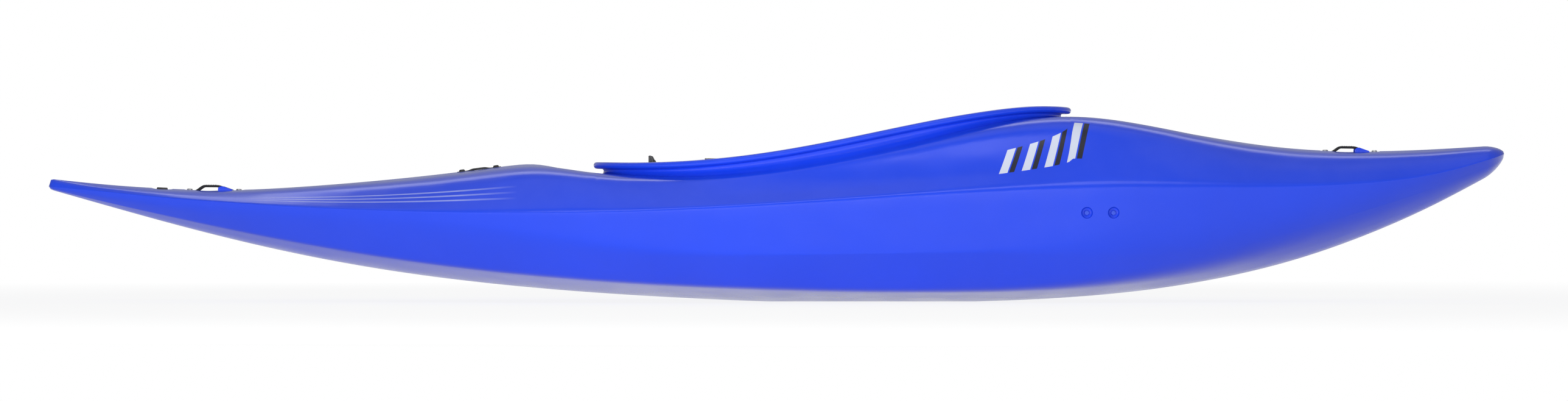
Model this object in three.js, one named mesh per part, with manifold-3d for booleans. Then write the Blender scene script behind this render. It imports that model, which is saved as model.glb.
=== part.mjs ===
// A whitewater river kayak: a one-piece moulded hull and deck with a moulded coaming, and the outfitting
// that is bolted, glued and strapped inside it. Millimetres. +X is the bow, +Y is port, +Z is up.
// The origin is the middle of the length, on the centreline, at the height of the flat of the keel.

import * as THREE from "three";
import { mergeVertices } from "three/addons/utils/BufferGeometryUtils.js";
import Module from "manifold-3d";

const wasm = await Module();
wasm.setup();

// Driving dimensions of the hull.
const LENGTH = 2930;
const BEAM = 630;
const DECK_HEIGHT = 372.5;
const WALL = 6;
const PARTING_MARGIN = 7;
const BOW_ROUNDING = 42;
const STERN_ROUNDING = 8;
const CLEARANCE = 0.3;
const OVERRUN = 6;

// Driving dimensions of the cockpit and its coaming.
const COAMING_LENGTH = 961;
const SIDE_DECK_WIDTH = 65;
const COAMING_LIP = 20;
const COAMING_LIP_THICKNESS = 13;
const COAMING_RISER = 7;
const LIP_ROUNDING = 4;
const COCKPIT_CENTRE_SHARE = 0.5384;
const COCKPIT_TAPER_SHARE = 0.15;

// Lines of the hull. Each row is a share of the length from the stern, and a share of the deck height.
const KEEL_SHARES = [
  [0, 0.604], [0.04, 0.515], [0.08, 0.428], [0.13, 0.328], [0.18, 0.242], [0.24, 0.16], [0.3, 0.1],
  [0.35, 0.063], [0.4, 0.035], [0.45, 0.014], [0.5, -0.001], [0.55, -0.004], [0.6, -0.004], [0.65, 0.003],
  [0.7, 0.022], [0.75, 0.058], [0.8, 0.119], [0.85, 0.211], [0.9, 0.343], [0.95, 0.514], [1, 0.722],
];
const CHINE_HEIGHT_SHARES = [
  [0, 0.608], [0.04, 0.535], [0.08, 0.466], [0.13, 0.385], [0.18, 0.312], [0.24, 0.236], [0.3, 0.176],
  [0.35, 0.138], [0.4, 0.109], [0.45, 0.088], [0.5, 0.074], [0.55, 0.065], [0.6, 0.062], [0.65, 0.067],
  [0.7, 0.086], [0.75, 0.131], [0.8, 0.206], [0.85, 0.312], [0.9, 0.438], [0.95, 0.58], [1, 0.745],
];
const KNUCKLE_HEIGHT_SHARES = [
  [0, 0.612], [0.06, 0.54], [0.12, 0.486], [0.18, 0.452], [0.24, 0.42], [0.3, 0.378], [0.35, 0.332],
  [0.4, 0.287], [0.45, 0.262], [0.5, 0.258], [0.55, 0.262], [0.6, 0.268], [0.65, 0.274], [0.7, 0.282],
  [0.75, 0.303], [0.8, 0.357], [0.85, 0.442], [0.9, 0.54], [0.95, 0.645], [1, 0.775],
];
const GUNWALE_HEIGHT_SHARES = [
  [0, 0.618], [0.04, 0.59], [0.08, 0.56], [0.13, 0.531], [0.18, 0.508], [0.24, 0.49], [0.3, 0.482],
  [0.35, 0.483], [0.4, 0.491], [0.45, 0.507], [0.5, 0.529], [0.55, 0.555], [0.6, 0.581], [0.65, 0.604],
  [0.7, 0.62], [0.75, 0.626], [0.8, 0.624], [0.85, 0.624], [0.9, 0.639], [0.95, 0.688], [1, 0.795],
];
const SCOOP_HEIGHT_SHARES = [
  [0, 0.64], [0.08, 0.583], [0.15, 0.553], [0.22, 0.548], [0.3, 0.566], [0.36, 0.585], [0.41, 0.582],
  [0.46, 0.59], [0.5, 0.608], [0.55, 0.642], [0.6, 0.69], [0.65, 0.742], [0.7, 0.782], [0.75, 0.786],
  [0.8, 0.758], [0.85, 0.728], [0.9, 0.722], [0.95, 0.752], [1, 0.82],
];
const SHOULDER_HEIGHT_SHARES = [
  [0, 0.654], [0.04, 0.62], [0.08, 0.598], [0.13, 0.59], [0.18, 0.608], [0.24, 0.644], [0.3, 0.695],
  [0.32, 0.714], [0.335, 0.722], [0.355, 0.716], [0.38, 0.696], [0.41, 0.682], [0.44, 0.684], [0.48, 0.716],
  [0.52, 0.77], [0.56, 0.833], [0.6, 0.898], [0.64, 0.963], [0.67, 0.996], [0.7, 1.006], [0.72, 0.993],
  [0.75, 0.951], [0.8, 0.868], [0.85, 0.81], [0.9, 0.791], [0.95, 0.8], [1, 0.832],
];
const DECK_CENTRE_SHARES = [
  [0, 0.66], [0.04, 0.628], [0.08, 0.607], [0.13, 0.6], [0.18, 0.62], [0.24, 0.66], [0.3, 0.714],
  [0.32, 0.733], [0.332, 0.738], [0.345, 0.726], [0.37, 0.684], [0.4, 0.66], [0.44, 0.67], [0.5, 0.735],
  [0.55, 0.79], [0.6, 0.85], [0.65, 0.918], [0.69, 0.956], [0.72, 0.962], [0.75, 0.944], [0.8, 0.881],
  [0.85, 0.826], [0.9, 0.808], [0.95, 0.818], [1, 0.842],
];
const RIM_HEIGHT_SHARES = [
  [0.36, 0.754], [0.4, 0.744], [0.45, 0.757], [0.5, 0.803], [0.55, 0.876], [0.6, 0.958], [0.65, 1.025],
  [0.68, 1.046], [0.71, 1.04],
];

// Half-widths of the hull. Each row is a share of the length from the stern, and a share of the half-beam.
const FLAT_WIDTH_SHARES = [
  [0, 0.006], [0.1, 0.07], [0.2, 0.15], [0.3, 0.21], [0.4, 0.25], [0.5, 0.27], [0.6, 0.27], [0.7, 0.235],
  [0.8, 0.17], [0.9, 0.1], [1, 0.04],
];
const CHINE_WIDTH_SHARES = [
  [0, 0.02], [0.04, 0.092], [0.08, 0.166], [0.13, 0.262], [0.18, 0.36], [0.24, 0.478], [0.3, 0.591],
  [0.35, 0.675], [0.4, 0.741], [0.45, 0.784], [0.5, 0.803], [0.55, 0.8], [0.6, 0.776], [0.65, 0.733],
  [0.7, 0.67], [0.75, 0.592], [0.8, 0.502], [0.85, 0.404], [0.9, 0.304], [0.95, 0.204], [1, 0.11],
];
const KNUCKLE_WIDTH_SHARES = [
  [0, 0.027], [0.04, 0.127], [0.08, 0.226], [0.13, 0.349], [0.18, 0.471], [0.24, 0.613], [0.3, 0.744],
  [0.35, 0.836], [0.4, 0.906], [0.45, 0.95], [0.5, 0.967], [0.55, 0.962], [0.6, 0.936], [0.65, 0.891],
  [0.7, 0.825], [0.75, 0.74], [0.8, 0.638], [0.85, 0.523], [0.9, 0.4], [0.95, 0.272], [1, 0.145],
];
const GUNWALE_WIDTH_SHARES = [
  [0, 0.03], [0.04, 0.135], [0.08, 0.238], [0.13, 0.364], [0.18, 0.488], [0.24, 0.633], [0.3, 0.766],
  [0.35, 0.862], [0.4, 0.935], [0.45, 0.983], [0.5, 1], [0.55, 0.994], [0.6, 0.969], [0.65, 0.925],
  [0.7, 0.86], [0.75, 0.775], [0.8, 0.674], [0.85, 0.56], [0.9, 0.436], [0.95, 0.305], [1, 0.17],
];
const SCOOP_WIDTH_SHARES = [
  [0, 0.024], [0.08, 0.19], [0.15, 0.335], [0.22, 0.485], [0.3, 0.655], [0.36, 0.76], [0.41, 0.83],
  [0.46, 0.868], [0.5, 0.878], [0.55, 0.868], [0.6, 0.838], [0.65, 0.785], [0.7, 0.715], [0.75, 0.632],
  [0.8, 0.54], [0.85, 0.445], [0.9, 0.345], [0.95, 0.24], [1, 0.135],
];
const SHOULDER_WIDTH_SHARES = [
  [0, 0.013], [0.08, 0.11], [0.15, 0.205], [0.22, 0.315], [0.3, 0.455], [0.35, 0.555], [0.4, 0.65],
  [0.45, 0.722], [0.5, 0.75], [0.55, 0.742], [0.6, 0.706], [0.65, 0.645], [0.7, 0.56], [0.75, 0.466],
  [0.8, 0.378], [0.85, 0.302], [0.9, 0.232], [0.95, 0.162], [1, 0.09],
];

// How far each corner of a section is rounded, as a share of the sides next to it.
const CHINE_ROUND_SHARES = [[0, 0.1], [0.3, 0.1], [0.55, 0.12], [0.7, 0.2], [0.8, 0.4], [1, 0.48]];
const KNUCKLE_ROUND_SHARES = [[0, 0.45], [0.25, 0.4], [0.4, 0.16], [0.7, 0.16], [0.8, 0.42], [1, 0.48]];
const FLAT_ROUND_SHARE = 0.45;
const GUNWALE_ROUND_SHARE = 0.07;
const SCOOP_ROUND_SHARE = 0.48;
const SHOULDER_ROUND_SHARE = 0.44;

// Number of straight steps that round each corner: flat edge, chine, knuckle, gunwale, scoop, shoulder.
const SKIN_STEPS = [1, 2, 1, 2, 2, 3];
const CAVITY_STEPS = [1, 1, 1, 1, 1, 2];
const SKIN_STATIONS = 32;
const CAVITY_STATIONS = 20;
const NOSE_STATIONS = 3;
const COAMING_STEPS = 40;
const CAVITY_END_SHARE = 0.03;
const OPENING_FLOOR_SHARE = 0.4;

// Recesses for the footrest bolts, one pair on each side.
const FOOT_BOLT_SPACING = 53;
const FOOT_BOLT_HEIGHT_SHARE = 0.4775;
const FOOT_BOLT_GAP = 36.5;
const FOOT_RECESS_RADIUS = 11;
const FOOT_RECESS_DEPTH = 9;
const BOLT_RADIUS = 3;
const BOLT_HEAD_RADIUS = 5.2;
const BOLT_HEAD_HEIGHT = 4;
const LOW_HEAD_HEIGHT = 2.4;
const WIDE_HEAD_RADIUS = 6.5;
const SOCKET_RADIUS = 2.2;
const SOCKET_DEPTH = 2;
const BOLT_TIP = 2;

// Footrest: two slotted rails on spacers, and a padded plate that slides along them.
const FOOT_RAIL_THICKNESS = 4;
const FOOT_RAIL_HEIGHT = 28;
const FOOT_RAIL_LENGTH = 234;
const FOOT_RAIL_TAIL = 27;
const FOOT_RAIL_GAP = 9;
const FOOT_SPACER_RADIUS = 8;
const FOOT_RAIL_SLOT_LENGTH = 114;
const FOOT_RAIL_SLOT_END = 8;
const FOOT_RAIL_BOSS_RADIUS = 7;
const FOOT_RAIL_BOSS_DEPTH = 5;
const FOOT_PLATE_THICKNESS = 5;
const FOOT_PLATE_HEIGHT = 184;
const FOOT_PLATE_DROP = 99;
const FOOT_PLATE_CORNER_IN = 60;
const FOOT_PLATE_CORNER_UP = 84;
const FOOT_PLATE_CORNER_DOWN = 30;
const FOOT_FLANGE_LENGTH = 42;
const FOOT_FLANGE_REAR = 11;
const FOOT_FLANGE_THICKNESS = 4;
const FOOT_FLANGE_HEIGHT = 26;
const FOOT_FOAM_THICKNESS = 18;
const FOOT_FOAM_INSET = 8;

// Seat: a moulded bucket on two rails, with padded hip walls.
const SEAT_LENGTH = 355;
const SEAT_REAR_GAP = 135.5;
const SEAT_SIDE_GAP = 42;
const SEAT_THICKNESS = 5;
const SEAT_CORNER_RADIUS = 46;
const SEAT_RAIL_WIDTH = 26;
const SEAT_RAIL_HEIGHT = 16;
const SEAT_RAIL_SPREAD = 120;
const SEAT_RAIL_EXTRA = 34;
const SEAT_SLOT_LENGTH = 62;
const SEAT_BOLT_INSET = 80;
const SEAT_TOWER_HEIGHT = 240;
const SEAT_TOWER_REAR = 46;
const SEAT_TOWER_LENGTH = 92;
const SEAT_SIDE_HEIGHT = 96;
const SEAT_FRONT_HEIGHT = 34;
const SEAT_REAR_HEIGHT = 112;
const SEAT_PAD_THICKNESS = 13;
const SEAT_PAD_INSET = 12;
const SEAT_PAD_RISE = 9;
const SEAT_PAD_EDGE_SHARE = 0.55;
const HIP_PAD_LENGTH = 165;
const HIP_PAD_HEIGHT = 96;
const HIP_PAD_THICKNESS = 20;
const HIP_PAD_RISE = 64;
const HIP_PAD_FORWARD = 98;
const HIP_PAD_EDGE_SHARE = 0.5;

// Backband: a thin moulded core with a padded face, hung on two pivot bolts and held by two ladder straps.
const BAND_HEIGHT = 140;
const BAND_TOP_SHARE = 0.784;
const BAND_DEPTH = 70;
const BAND_BEHIND_SEAT = 50;
const BAND_CORE_THICKNESS = 4;
const BAND_PAD_THICKNESS = 15;
const BAND_PAD_EDGE_SHARE = 0.45;
const BAND_SWEEP_DEGREES = 90;
const BAND_PAD_SWEEP_DEGREES = 56.25;
const BAND_STEPS = 16;
const BAND_PAD_STEPS = 10;
const BAND_DROP_START_DEGREES = 16;
const BAND_DROP_END_DEGREES = 56;
const BAND_ARM_WIDTH = 26;
const BAND_END_DROP_SHARE = 0.38;
const BAND_END_RISE_SHARE = 0.2;
const BAND_ARM_LAP = 4;
const BAND_PIVOT_FORWARD = 30;
const BAND_PIVOT_HEIGHT = 84;
const STRAP_WIDTH = 18;
const STRAP_THICKNESS = 2.4;

// Ratchet buckles, one on the inside of each hip tower.
const RATCHET_LENGTH = 58;
const RATCHET_HEIGHT = 26;
const RATCHET_BASE_THICKNESS = 3;
const RATCHET_CHEEK_DEPTH = 15;
const RATCHET_CHEEK_THICKNESS = 2.5;
const RATCHET_RISE = 13;
const LEVER_LENGTH = 46;
const LEVER_THICKNESS = 6;
const LEVER_PIN_RADIUS = 2;
const LEVER_PIN_INSET = 9;

// Thigh braces: one hooked plate under the deck on each side, with a foam pad below it.
const BRACE_LENGTH = 210;
const BRACE_WIDTH = 96;
const BRACE_TAB_WIDTH = 30;
const BRACE_THICKNESS = 5;
const BRACE_HOOK_DEPTH = 24;
const BRACE_FORWARD = 200;
const BRACE_DECK_GAP = 25;
const BRACE_BOSS_REACH = 86;
const BRACE_BOLT_SPACING = 84;
const BRACE_SLOT_LENGTH = 50;
const BRACE_BOSS_RADIUS = 9;
const BRACE_PAD_THICKNESS = 10;
const BRACE_PAD_INSET = 7;

// Foam pillars that hold up the decks at the centreline.
const PILLAR_THICKNESS = 62;
const REAR_PILLAR_GAP = 26;
const REAR_PILLAR_DRAIN_GAP = 165.5;
const FRONT_PILLAR_GAP = 36;
const FRONT_PILLAR_BOW_GAP = 379;

// Grab handles at bow and stern, each in a pocket with a finger scoop and two raised cheeks.
const STERN_HANDLE_SHARE = 0.1138;
const BOW_HANDLE_SHARE = 0.894;
const HANDLE_LENGTH = 120;
const HANDLE_WIDTH = 22;
const HANDLE_THICKNESS = 5.5;
const HANDLE_RISE = 10;
const HANDLE_POCKET_DEPTH = 6;
const HANDLE_FOOT_LENGTH = 21;
const HANDLE_PLATEAU_START = 18;
const HANDLE_PLATEAU_END = 5;
const SCOOP_LENGTH = 54;
const SCOOP_WIDTH = 54;
const SCOOP_DEPTH = 26;
const SCOOP_BACK = 14;
const CHEEK_START = 9;
const CHEEK_END = 38;
const CHEEK_HEIGHT = 8;
const CHEEK_THICKNESS = 5;
const DECK_BOLT_HEAD_HEIGHT = 3;
const DECK_BOLT_LENGTH = 15;

// Security bar on the rear deck.
const BAR_SHARE = 0.2957;
const BAR_BOLT_SPACING = 69;
const BAR_WIDTH = 18;
const BAR_THICKNESS = 4;
const BAR_RISE = 3.5;
const BAR_FOOT_RADIUS = 10;
const BAR_SCOOP_LENGTH = 46;
const BAR_SCOOP_WIDTH = 46;
const BAR_SCOOP_DEPTH = 22;
const BAR_POCKET_DEPTH = 3.5;

// Drain plug near the stern, in a round recess.
const DRAIN_SHARE = 0.078;
const DRAIN_RECESS_RADIUS = 21;
const DRAIN_RECESS_DEPTH = 12;
const DRAIN_FLANGE_RADIUS = 19;
const DRAIN_FLANGE_THICKNESS = 3;
const DRAIN_SLEEVE_RADIUS = 13;
const DRAIN_SLEEVE_LENGTH = 14;
const DRAIN_BORE_RADIUS = 10;
const DRAIN_CAP_RADIUS = 15;
const DRAIN_CAP_THICKNESS = 3;
const DRAIN_SEAL_THICKNESS = 2;
const DRAIN_GRIP_HEIGHT = 5;
const DRAIN_GRIP_WIDTH = 6;

const PALETTE = {
  hull: { color: 0x1a2fd6, roughness: 0.32, metalness: 0 },
  moulded: { color: 0x16171a, roughness: 0.5, metalness: 0 },
  foam: { color: 0x2a2b2e, roughness: 0.95, metalness: 0 },
  fabric: { color: 0x1b1c20, roughness: 0.9, metalness: 0 },
  rubber: { color: 0x121214, roughness: 0.7, metalness: 0 },
  steel: { color: 0xb9bdc4, roughness: 0.3, metalness: 1 },
  aluminium: { color: 0x9da1a8, roughness: 0.4, metalness: 1 },
  blueScrew: { color: 0x2b46e8, roughness: 0.35, metalness: 0.3 },
};

const kayak = new THREE.Group();

// Basic helpers.

const halfBeam = BEAM / 2;
const xAt = (share) => (share - 0.5) * LENGTH;
const shareAt = (x) => x / LENGTH + 0.5;
const mix = (a, b, t) => a + (b - a) * t;

// A fair curve through the rows: a natural cubic spline.
function fairCurve(rows) {
  const last = rows.length - 1;
  const bend = rows.map(() => 0);
  const upper = rows.map(() => 0);
  for (let i = 1; i < last; i++) {
    const before = rows[i][0] - rows[i - 1][0];
    const after = rows[i + 1][0] - rows[i][0];
    const slopes = (rows[i + 1][1] - rows[i][1]) / after - (rows[i][1] - rows[i - 1][1]) / before;
    const pivot = 2 * (before + after) - before * upper[i - 1];
    upper[i] = after / pivot;
    bend[i] = (6 * slopes - before * bend[i - 1]) / pivot;
  }
  for (let i = last - 1; i > 0; i--) bend[i] -= upper[i] * bend[i + 1];
  return (at) => {
    let i = 0;
    while (i < last - 1 && at > rows[i + 1][0]) i++;
    const span = rows[i + 1][0] - rows[i][0];
    const b = (at - rows[i][0]) / span;
    const a = 1 - b;
    const curved = ((a ** 3 - a) * bend[i] + (b ** 3 - b) * bend[i + 1]) * span * span / 6;
    return a * rows[i][1] + b * rows[i + 1][1] + curved;
  };
}

const lines = {
  keel: fairCurve(KEEL_SHARES),
  chineZ: fairCurve(CHINE_HEIGHT_SHARES),
  knuckleZ: fairCurve(KNUCKLE_HEIGHT_SHARES),
  gunwaleZ: fairCurve(GUNWALE_HEIGHT_SHARES),
  scoopZ: fairCurve(SCOOP_HEIGHT_SHARES),
  shoulderZ: fairCurve(SHOULDER_HEIGHT_SHARES),
  deckZ: fairCurve(DECK_CENTRE_SHARES),
  rimZ: fairCurve(RIM_HEIGHT_SHARES),
  flatY: fairCurve(FLAT_WIDTH_SHARES),
  chineY: fairCurve(CHINE_WIDTH_SHARES),
  knuckleY: fairCurve(KNUCKLE_WIDTH_SHARES),
  gunwaleY: fairCurve(GUNWALE_WIDTH_SHARES),
  scoopY: fairCurve(SCOOP_WIDTH_SHARES),
  shoulderY: fairCurve(SHOULDER_WIDTH_SHARES),
  chineRound: fairCurve(CHINE_ROUND_SHARES),
  knuckleRound: fairCurve(KNUCKLE_ROUND_SHARES),
};

// The corners of half a section, from the keel to the middle of the deck.
// Each is [half-width, height, rounding].
function sectionCorners(x) {
  const s = shareAt(x);
  const keel = Math.max(0, lines.keel(s));
  return [
    [0, keel, 0],
    [lines.flatY(s), keel, FLAT_ROUND_SHARE],
    [lines.chineY(s), lines.chineZ(s), lines.chineRound(s)],
    [lines.knuckleY(s), lines.knuckleZ(s), lines.knuckleRound(s)],
    [lines.gunwaleY(s), lines.gunwaleZ(s), GUNWALE_ROUND_SHARE],
    [lines.scoopY(s), lines.scoopZ(s), SCOOP_ROUND_SHARE],
    [lines.shoulderY(s), lines.shoulderZ(s), SHOULDER_ROUND_SHARE],
    [0, lines.deckZ(s), 0],
  ].map(([y, z, round]) => [y * halfBeam, z * DECK_HEIGHT, round]);
}

// How much a section shrinks towards the tip, so that both ends are rounded.
function endShrink(x) {
  const pastBow = (x - (LENGTH / 2 - BOW_ROUNDING)) / BOW_ROUNDING;
  const pastStern = (-x - (LENGTH / 2 - STERN_ROUNDING)) / STERN_ROUNDING;
  const past = Math.max(0, pastBow, pastStern);
  return Math.sqrt(Math.max(0, 1 - past * past));
}

const tipHeight = (x) => lines.gunwaleZ(shareAt(x)) * DECK_HEIGHT;

// Half a section as points [y, z], drawn in by inset towards its middle. The side part ends at the gunwale.
function halfSection(x, steps, inset) {
  const corners = sectionCorners(x);
  const points = [[0, corners[0][1]]];
  let gunwaleIndex = 0;
  for (let i = 1; i < corners.length - 1; i++) {
    const [y, z, round] = corners[i];
    const start = [mix(y, corners[i - 1][0], round), mix(z, corners[i - 1][1], round)];
    const end = [mix(y, corners[i + 1][0], round), mix(z, corners[i + 1][1], round)];
    const count = steps[i - 1];
    for (let k = 0; k <= count; k++) {
      const t = k / count;
      points.push([
        (1 - t) * (1 - t) * start[0] + 2 * t * (1 - t) * y + t * t * end[0],
        (1 - t) * (1 - t) * start[1] + 2 * t * (1 - t) * z + t * t * end[1],
      ]);
    }
    if (i === 4) gunwaleIndex = points.length - 1 - Math.floor(count / 2);
  }
  points.push([0, corners[corners.length - 1][1]]);
  const shrink = endShrink(x);
  const tip = tipHeight(x);
  const shaped = points.map(([y, z]) => [y * shrink, mix(tip, z, shrink)]);
  const top = Math.max(...shaped.map((p) => p[1]));
  const low = shaped[0][1];
  const middle = (top + low) / 2;
  const wide = Math.max(...shaped.map((p) => p[0]));
  const thinY = 1 - inset / wide;
  const thinZ = 1 - inset / ((top - low) / 2);
  return {
    points: shaped.map(([y, z]) => [y * thinY, middle + (z - middle) * thinZ]),
    gunwaleIndex,
  };
}

// A height or half-width read off a section's outline.
function readOff(points, from, to, known, wanted, value) {
  for (let i = from; i < to; i++) {
    const a = points[i][known];
    const b = points[i + 1][known];
    const between = (a - value) * (b - value) <= 0 && a !== b;
    if (between) return mix(points[i][wanted], points[i + 1][wanted], (value - a) / (b - a));
  }
  const miss = (i) => Math.abs(points[i][known] - value);
  return points[miss(to) < miss(from) ? to : from][wanted];
}

function deckAt(x, y, inset = 0) {
  const { points, gunwaleIndex } = halfSection(x, SKIN_STEPS, inset);
  return readOff(points, gunwaleIndex, points.length - 1, 0, 1, Math.abs(y));
}

function sideAt(x, z, inset = 0) {
  const { points, gunwaleIndex } = halfSection(x, SKIN_STEPS, inset);
  const deckSide = z > points[gunwaleIndex][1];
  return readOff(points, deckSide ? gunwaleIndex : 0, deckSide ? points.length - 1 : gunwaleIndex, 1, 0, z);
}

function floorAt(x, y, inset = 0) {
  const { points, gunwaleIndex } = halfSection(x, SKIN_STEPS, inset);
  return readOff(points, 0, gunwaleIndex, 0, 1, Math.abs(y));
}

const rimAt = (x) => lines.rimZ(shareAt(x)) * DECK_HEIGHT;

function deckPitch(x) {
  const run = OVERRUN;
  return Math.atan2(deckAt(x + run, 0) - deckAt(x - run, 0), 2 * run);
}

// Solids.

function toSolid(geometry) {
  const bare = (geometry.index ? geometry.toNonIndexed() : geometry.clone());
  const merged = mergeVertices(
    new THREE.BufferGeometry().setAttribute("position", bare.getAttribute("position")),
    1e-3,
  );
  const index = Array.from(merged.index.array);
  const kept = [];
  for (let i = 0; i < index.length; i += 3) {
    const [a, b, c] = index.slice(i, i + 3);
    if (a !== b && b !== c && a !== c) kept.push(a, b, c);
  }
  const build = (triangles) => new wasm.Manifold(new wasm.Mesh({
    numProp: 3,
    vertProperties: new Float32Array(merged.attributes.position.array),
    triVerts: new Uint32Array(triangles),
  }));
  const made = build(kept);
  if (made.volume() > 0) return made;
  const turned = [];
  for (let i = 0; i < kept.length; i += 3) turned.push(kept[i], kept[i + 2], kept[i + 1]);
  return build(turned);
}

function toGeometry(solid) {
  const mesh = solid.getMesh();
  const positions = new Float32Array(mesh.numVert * 3);
  for (let i = 0; i < mesh.numVert; i++) {
    positions.set(mesh.vertProperties.subarray(i * mesh.numProp, i * mesh.numProp + 3), i * 3);
  }
  const geometry = new THREE.BufferGeometry();
  geometry.setAttribute("position", new THREE.BufferAttribute(positions, 3));
  geometry.setIndex(new THREE.BufferAttribute(new Uint32Array(mesh.triVerts), 1));
  return geometry;
}

const join = (...solids) => solids.reduce((a, b) => a.add(b));
const cut = (solid, ...tools) => tools.reduce((a, b) => a.subtract(b), solid);

// A closed body through rings of points, with each end closed onto one point.
function loftSolid(rings, startPoint, endPoint) {
  const positions = [];
  const put = (a, b, c) => positions.push(...a, ...b, ...c);
  const around = rings[0].length;
  for (let i = 0; i < around; i++) {
    const j = (i + 1) % around;
    put(startPoint, rings[0][j], rings[0][i]);
    for (let k = 0; k + 1 < rings.length; k++) {
      put(rings[k][i], rings[k][j], rings[k + 1][j]);
      put(rings[k][i], rings[k + 1][j], rings[k + 1][i]);
    }
    put(endPoint, rings[rings.length - 1][i], rings[rings.length - 1][j]);
  }
  const geometry = new THREE.BufferGeometry();
  geometry.setAttribute("position", new THREE.BufferAttribute(new Float32Array(positions), 3));
  return toSolid(geometry);
}

function ringMiddle(ring) {
  return [0, 1, 2].map((axis) => ring.reduce((sum, p) => sum + p[axis], 0) / ring.length);
}

// A ring-shaped body: a closed outline of sections, each a closed list of points.
function loopSolid(sections) {
  const positions = [];
  const count = sections.length;
  const around = sections[0].length;
  for (let k = 0; k < count; k++) {
    const next = sections[(k + 1) % count];
    for (let i = 0; i < around; i++) {
      const j = (i + 1) % around;
      positions.push(...sections[k][i], ...sections[k][j], ...next[j]);
      positions.push(...sections[k][i], ...next[j], ...next[i]);
    }
  }
  const geometry = new THREE.BufferGeometry();
  geometry.setAttribute("position", new THREE.BufferAttribute(new Float32Array(positions), 3));
  return toSolid(geometry);
}

// A closed body between a face and its back, each given over u and v from 0 to 1.
function panelSolid(face, back, acrossSteps, alongSteps) {
  const positions = [];
  const quad = (a, b, c, d) => positions.push(...a, ...b, ...c, ...a, ...c, ...d);
  const front = (i, j) => face(i / acrossSteps, j / alongSteps);
  const rear = (i, j) => back(i / acrossSteps, j / alongSteps);
  for (let i = 0; i < acrossSteps; i++) {
    const n = alongSteps;
    for (let j = 0; j < n; j++) {
      quad(front(i, j), front(i + 1, j), front(i + 1, j + 1), front(i, j + 1));
      quad(rear(i, j + 1), rear(i + 1, j + 1), rear(i + 1, j), rear(i, j));
    }
    quad(front(i, 0), rear(i, 0), rear(i + 1, 0), front(i + 1, 0));
    quad(front(i + 1, n), rear(i + 1, n), rear(i, n), front(i, n));
  }
  for (let j = 0; j < alongSteps; j++) {
    const n = acrossSteps;
    quad(front(0, j + 1), rear(0, j + 1), rear(0, j), front(0, j));
    quad(front(n, j), rear(n, j), rear(n, j + 1), front(n, j + 1));
  }
  const geometry = new THREE.BufferGeometry();
  geometry.setAttribute("position", new THREE.BufferAttribute(new Float32Array(positions), 3));
  return toSolid(geometry);
}

// How full a pad is over u and v from 0 to 1: 1 at the middle, falling to an edge share all round.
function crowned(u, v, edgeShare) {
  const across = 1 - (2 * u - 1) ** 6;
  const along = 1 - (2 * v - 1) ** 6;
  return mix(edgeShare, 1, across * along);
}

function boxSolid(lowX, highX, lowY, highY, lowZ, highZ) {
  const box = new THREE.BoxGeometry(highX - lowX, highY - lowY, highZ - lowZ);
  box.translate((lowX + highX) / 2, (lowY + highY) / 2, (lowZ + highZ) / 2);
  return toSolid(box);
}

// A round bar along Y from one side to the other.
function barAlongY(x, z, radius, fromY, toY, sides = 12) {
  const bar = new THREE.CylinderGeometry(radius, radius, Math.abs(toY - fromY), sides);
  bar.translate(x, (fromY + toY) / 2, z);
  return toSolid(bar);
}

// A round bar along Z.
function barAlongZ(x, y, radius, lowZ, highZ, sides = 12) {
  const bar = new THREE.CylinderGeometry(radius, radius, highZ - lowZ, sides);
  bar.rotateX(Math.PI / 2);
  bar.translate(x, y, (lowZ + highZ) / 2);
  return toSolid(bar);
}

function ellipsoidSolid(x, z, lengthX, widthY, depthZ) {
  const ball = new THREE.SphereGeometry(1, 12, 8);
  ball.scale(lengthX / 2, widthY / 2, depthZ);
  ball.translate(x, 0, z);
  return toSolid(ball);
}

// A plane outline, extruded along Z from 0.
function extruded(outline, depth) {
  const shape = new THREE.Shape(outline.map(([a, b]) => new THREE.Vector2(a, b)));
  return new THREE.ExtrudeGeometry(shape, { depth, bevelEnabled: false });
}

// An outline in X and Z, extruded along Y between two places.
function sideProfile(outline, fromY, toY) {
  const body = extruded(outline, toY - fromY);
  body.rotateX(Math.PI / 2);
  body.translate(0, toY, 0);
  return toSolid(body);
}

// An outline in X and Y, extruded upwards.
function planProfile(outline, lowZ, highZ) {
  const body = extruded(outline, highZ - lowZ);
  body.translate(0, 0, lowZ);
  return toSolid(body);
}

// An outline in Y and Z, extruded along X.
function crossProfile(outline, lowX, highX) {
  const body = extruded(outline, highX - lowX);
  body.rotateX(Math.PI / 2);
  body.rotateZ(Math.PI / 2);
  body.translate(lowX, 0, 0);
  return toSolid(body);
}

// Moves a solid made about a place on the deck to that place, tilted with the deck.
function ontoDeck(solid, x) {
  const degrees = THREE.MathUtils.radToDeg(-deckPitch(x));
  return solid.rotate([0, degrees, 0]).translate([x, 0, deckAt(x, 0)]);
}

// A socket-head screw along Z: the head's underside is at 0 and the shank goes down.
function screwSolid(headRadius, headHeight, shankRadius, shankLength, sides = 9) {
  const profile = [
    [0, -shankLength], [shankRadius, -shankLength], [shankRadius, 0], [headRadius, 0],
    [headRadius, headHeight * 0.7], [headRadius * 0.8, headHeight], [SOCKET_RADIUS, headHeight],
    [SOCKET_RADIUS, headHeight - SOCKET_DEPTH], [0, headHeight - SOCKET_DEPTH],
  ].map(([r, z]) => new THREE.Vector2(r, z));
  const body = new THREE.LatheGeometry(profile, sides);
  body.rotateX(Math.PI / 2);
  return toSolid(body);
}

function addPiece(name, solid, finish) {
  const mesh = new THREE.Mesh(toGeometry(solid), new THREE.MeshStandardMaterial(PALETTE[finish]));
  mesh.name = name;
  kayak.add(mesh);
}

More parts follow.
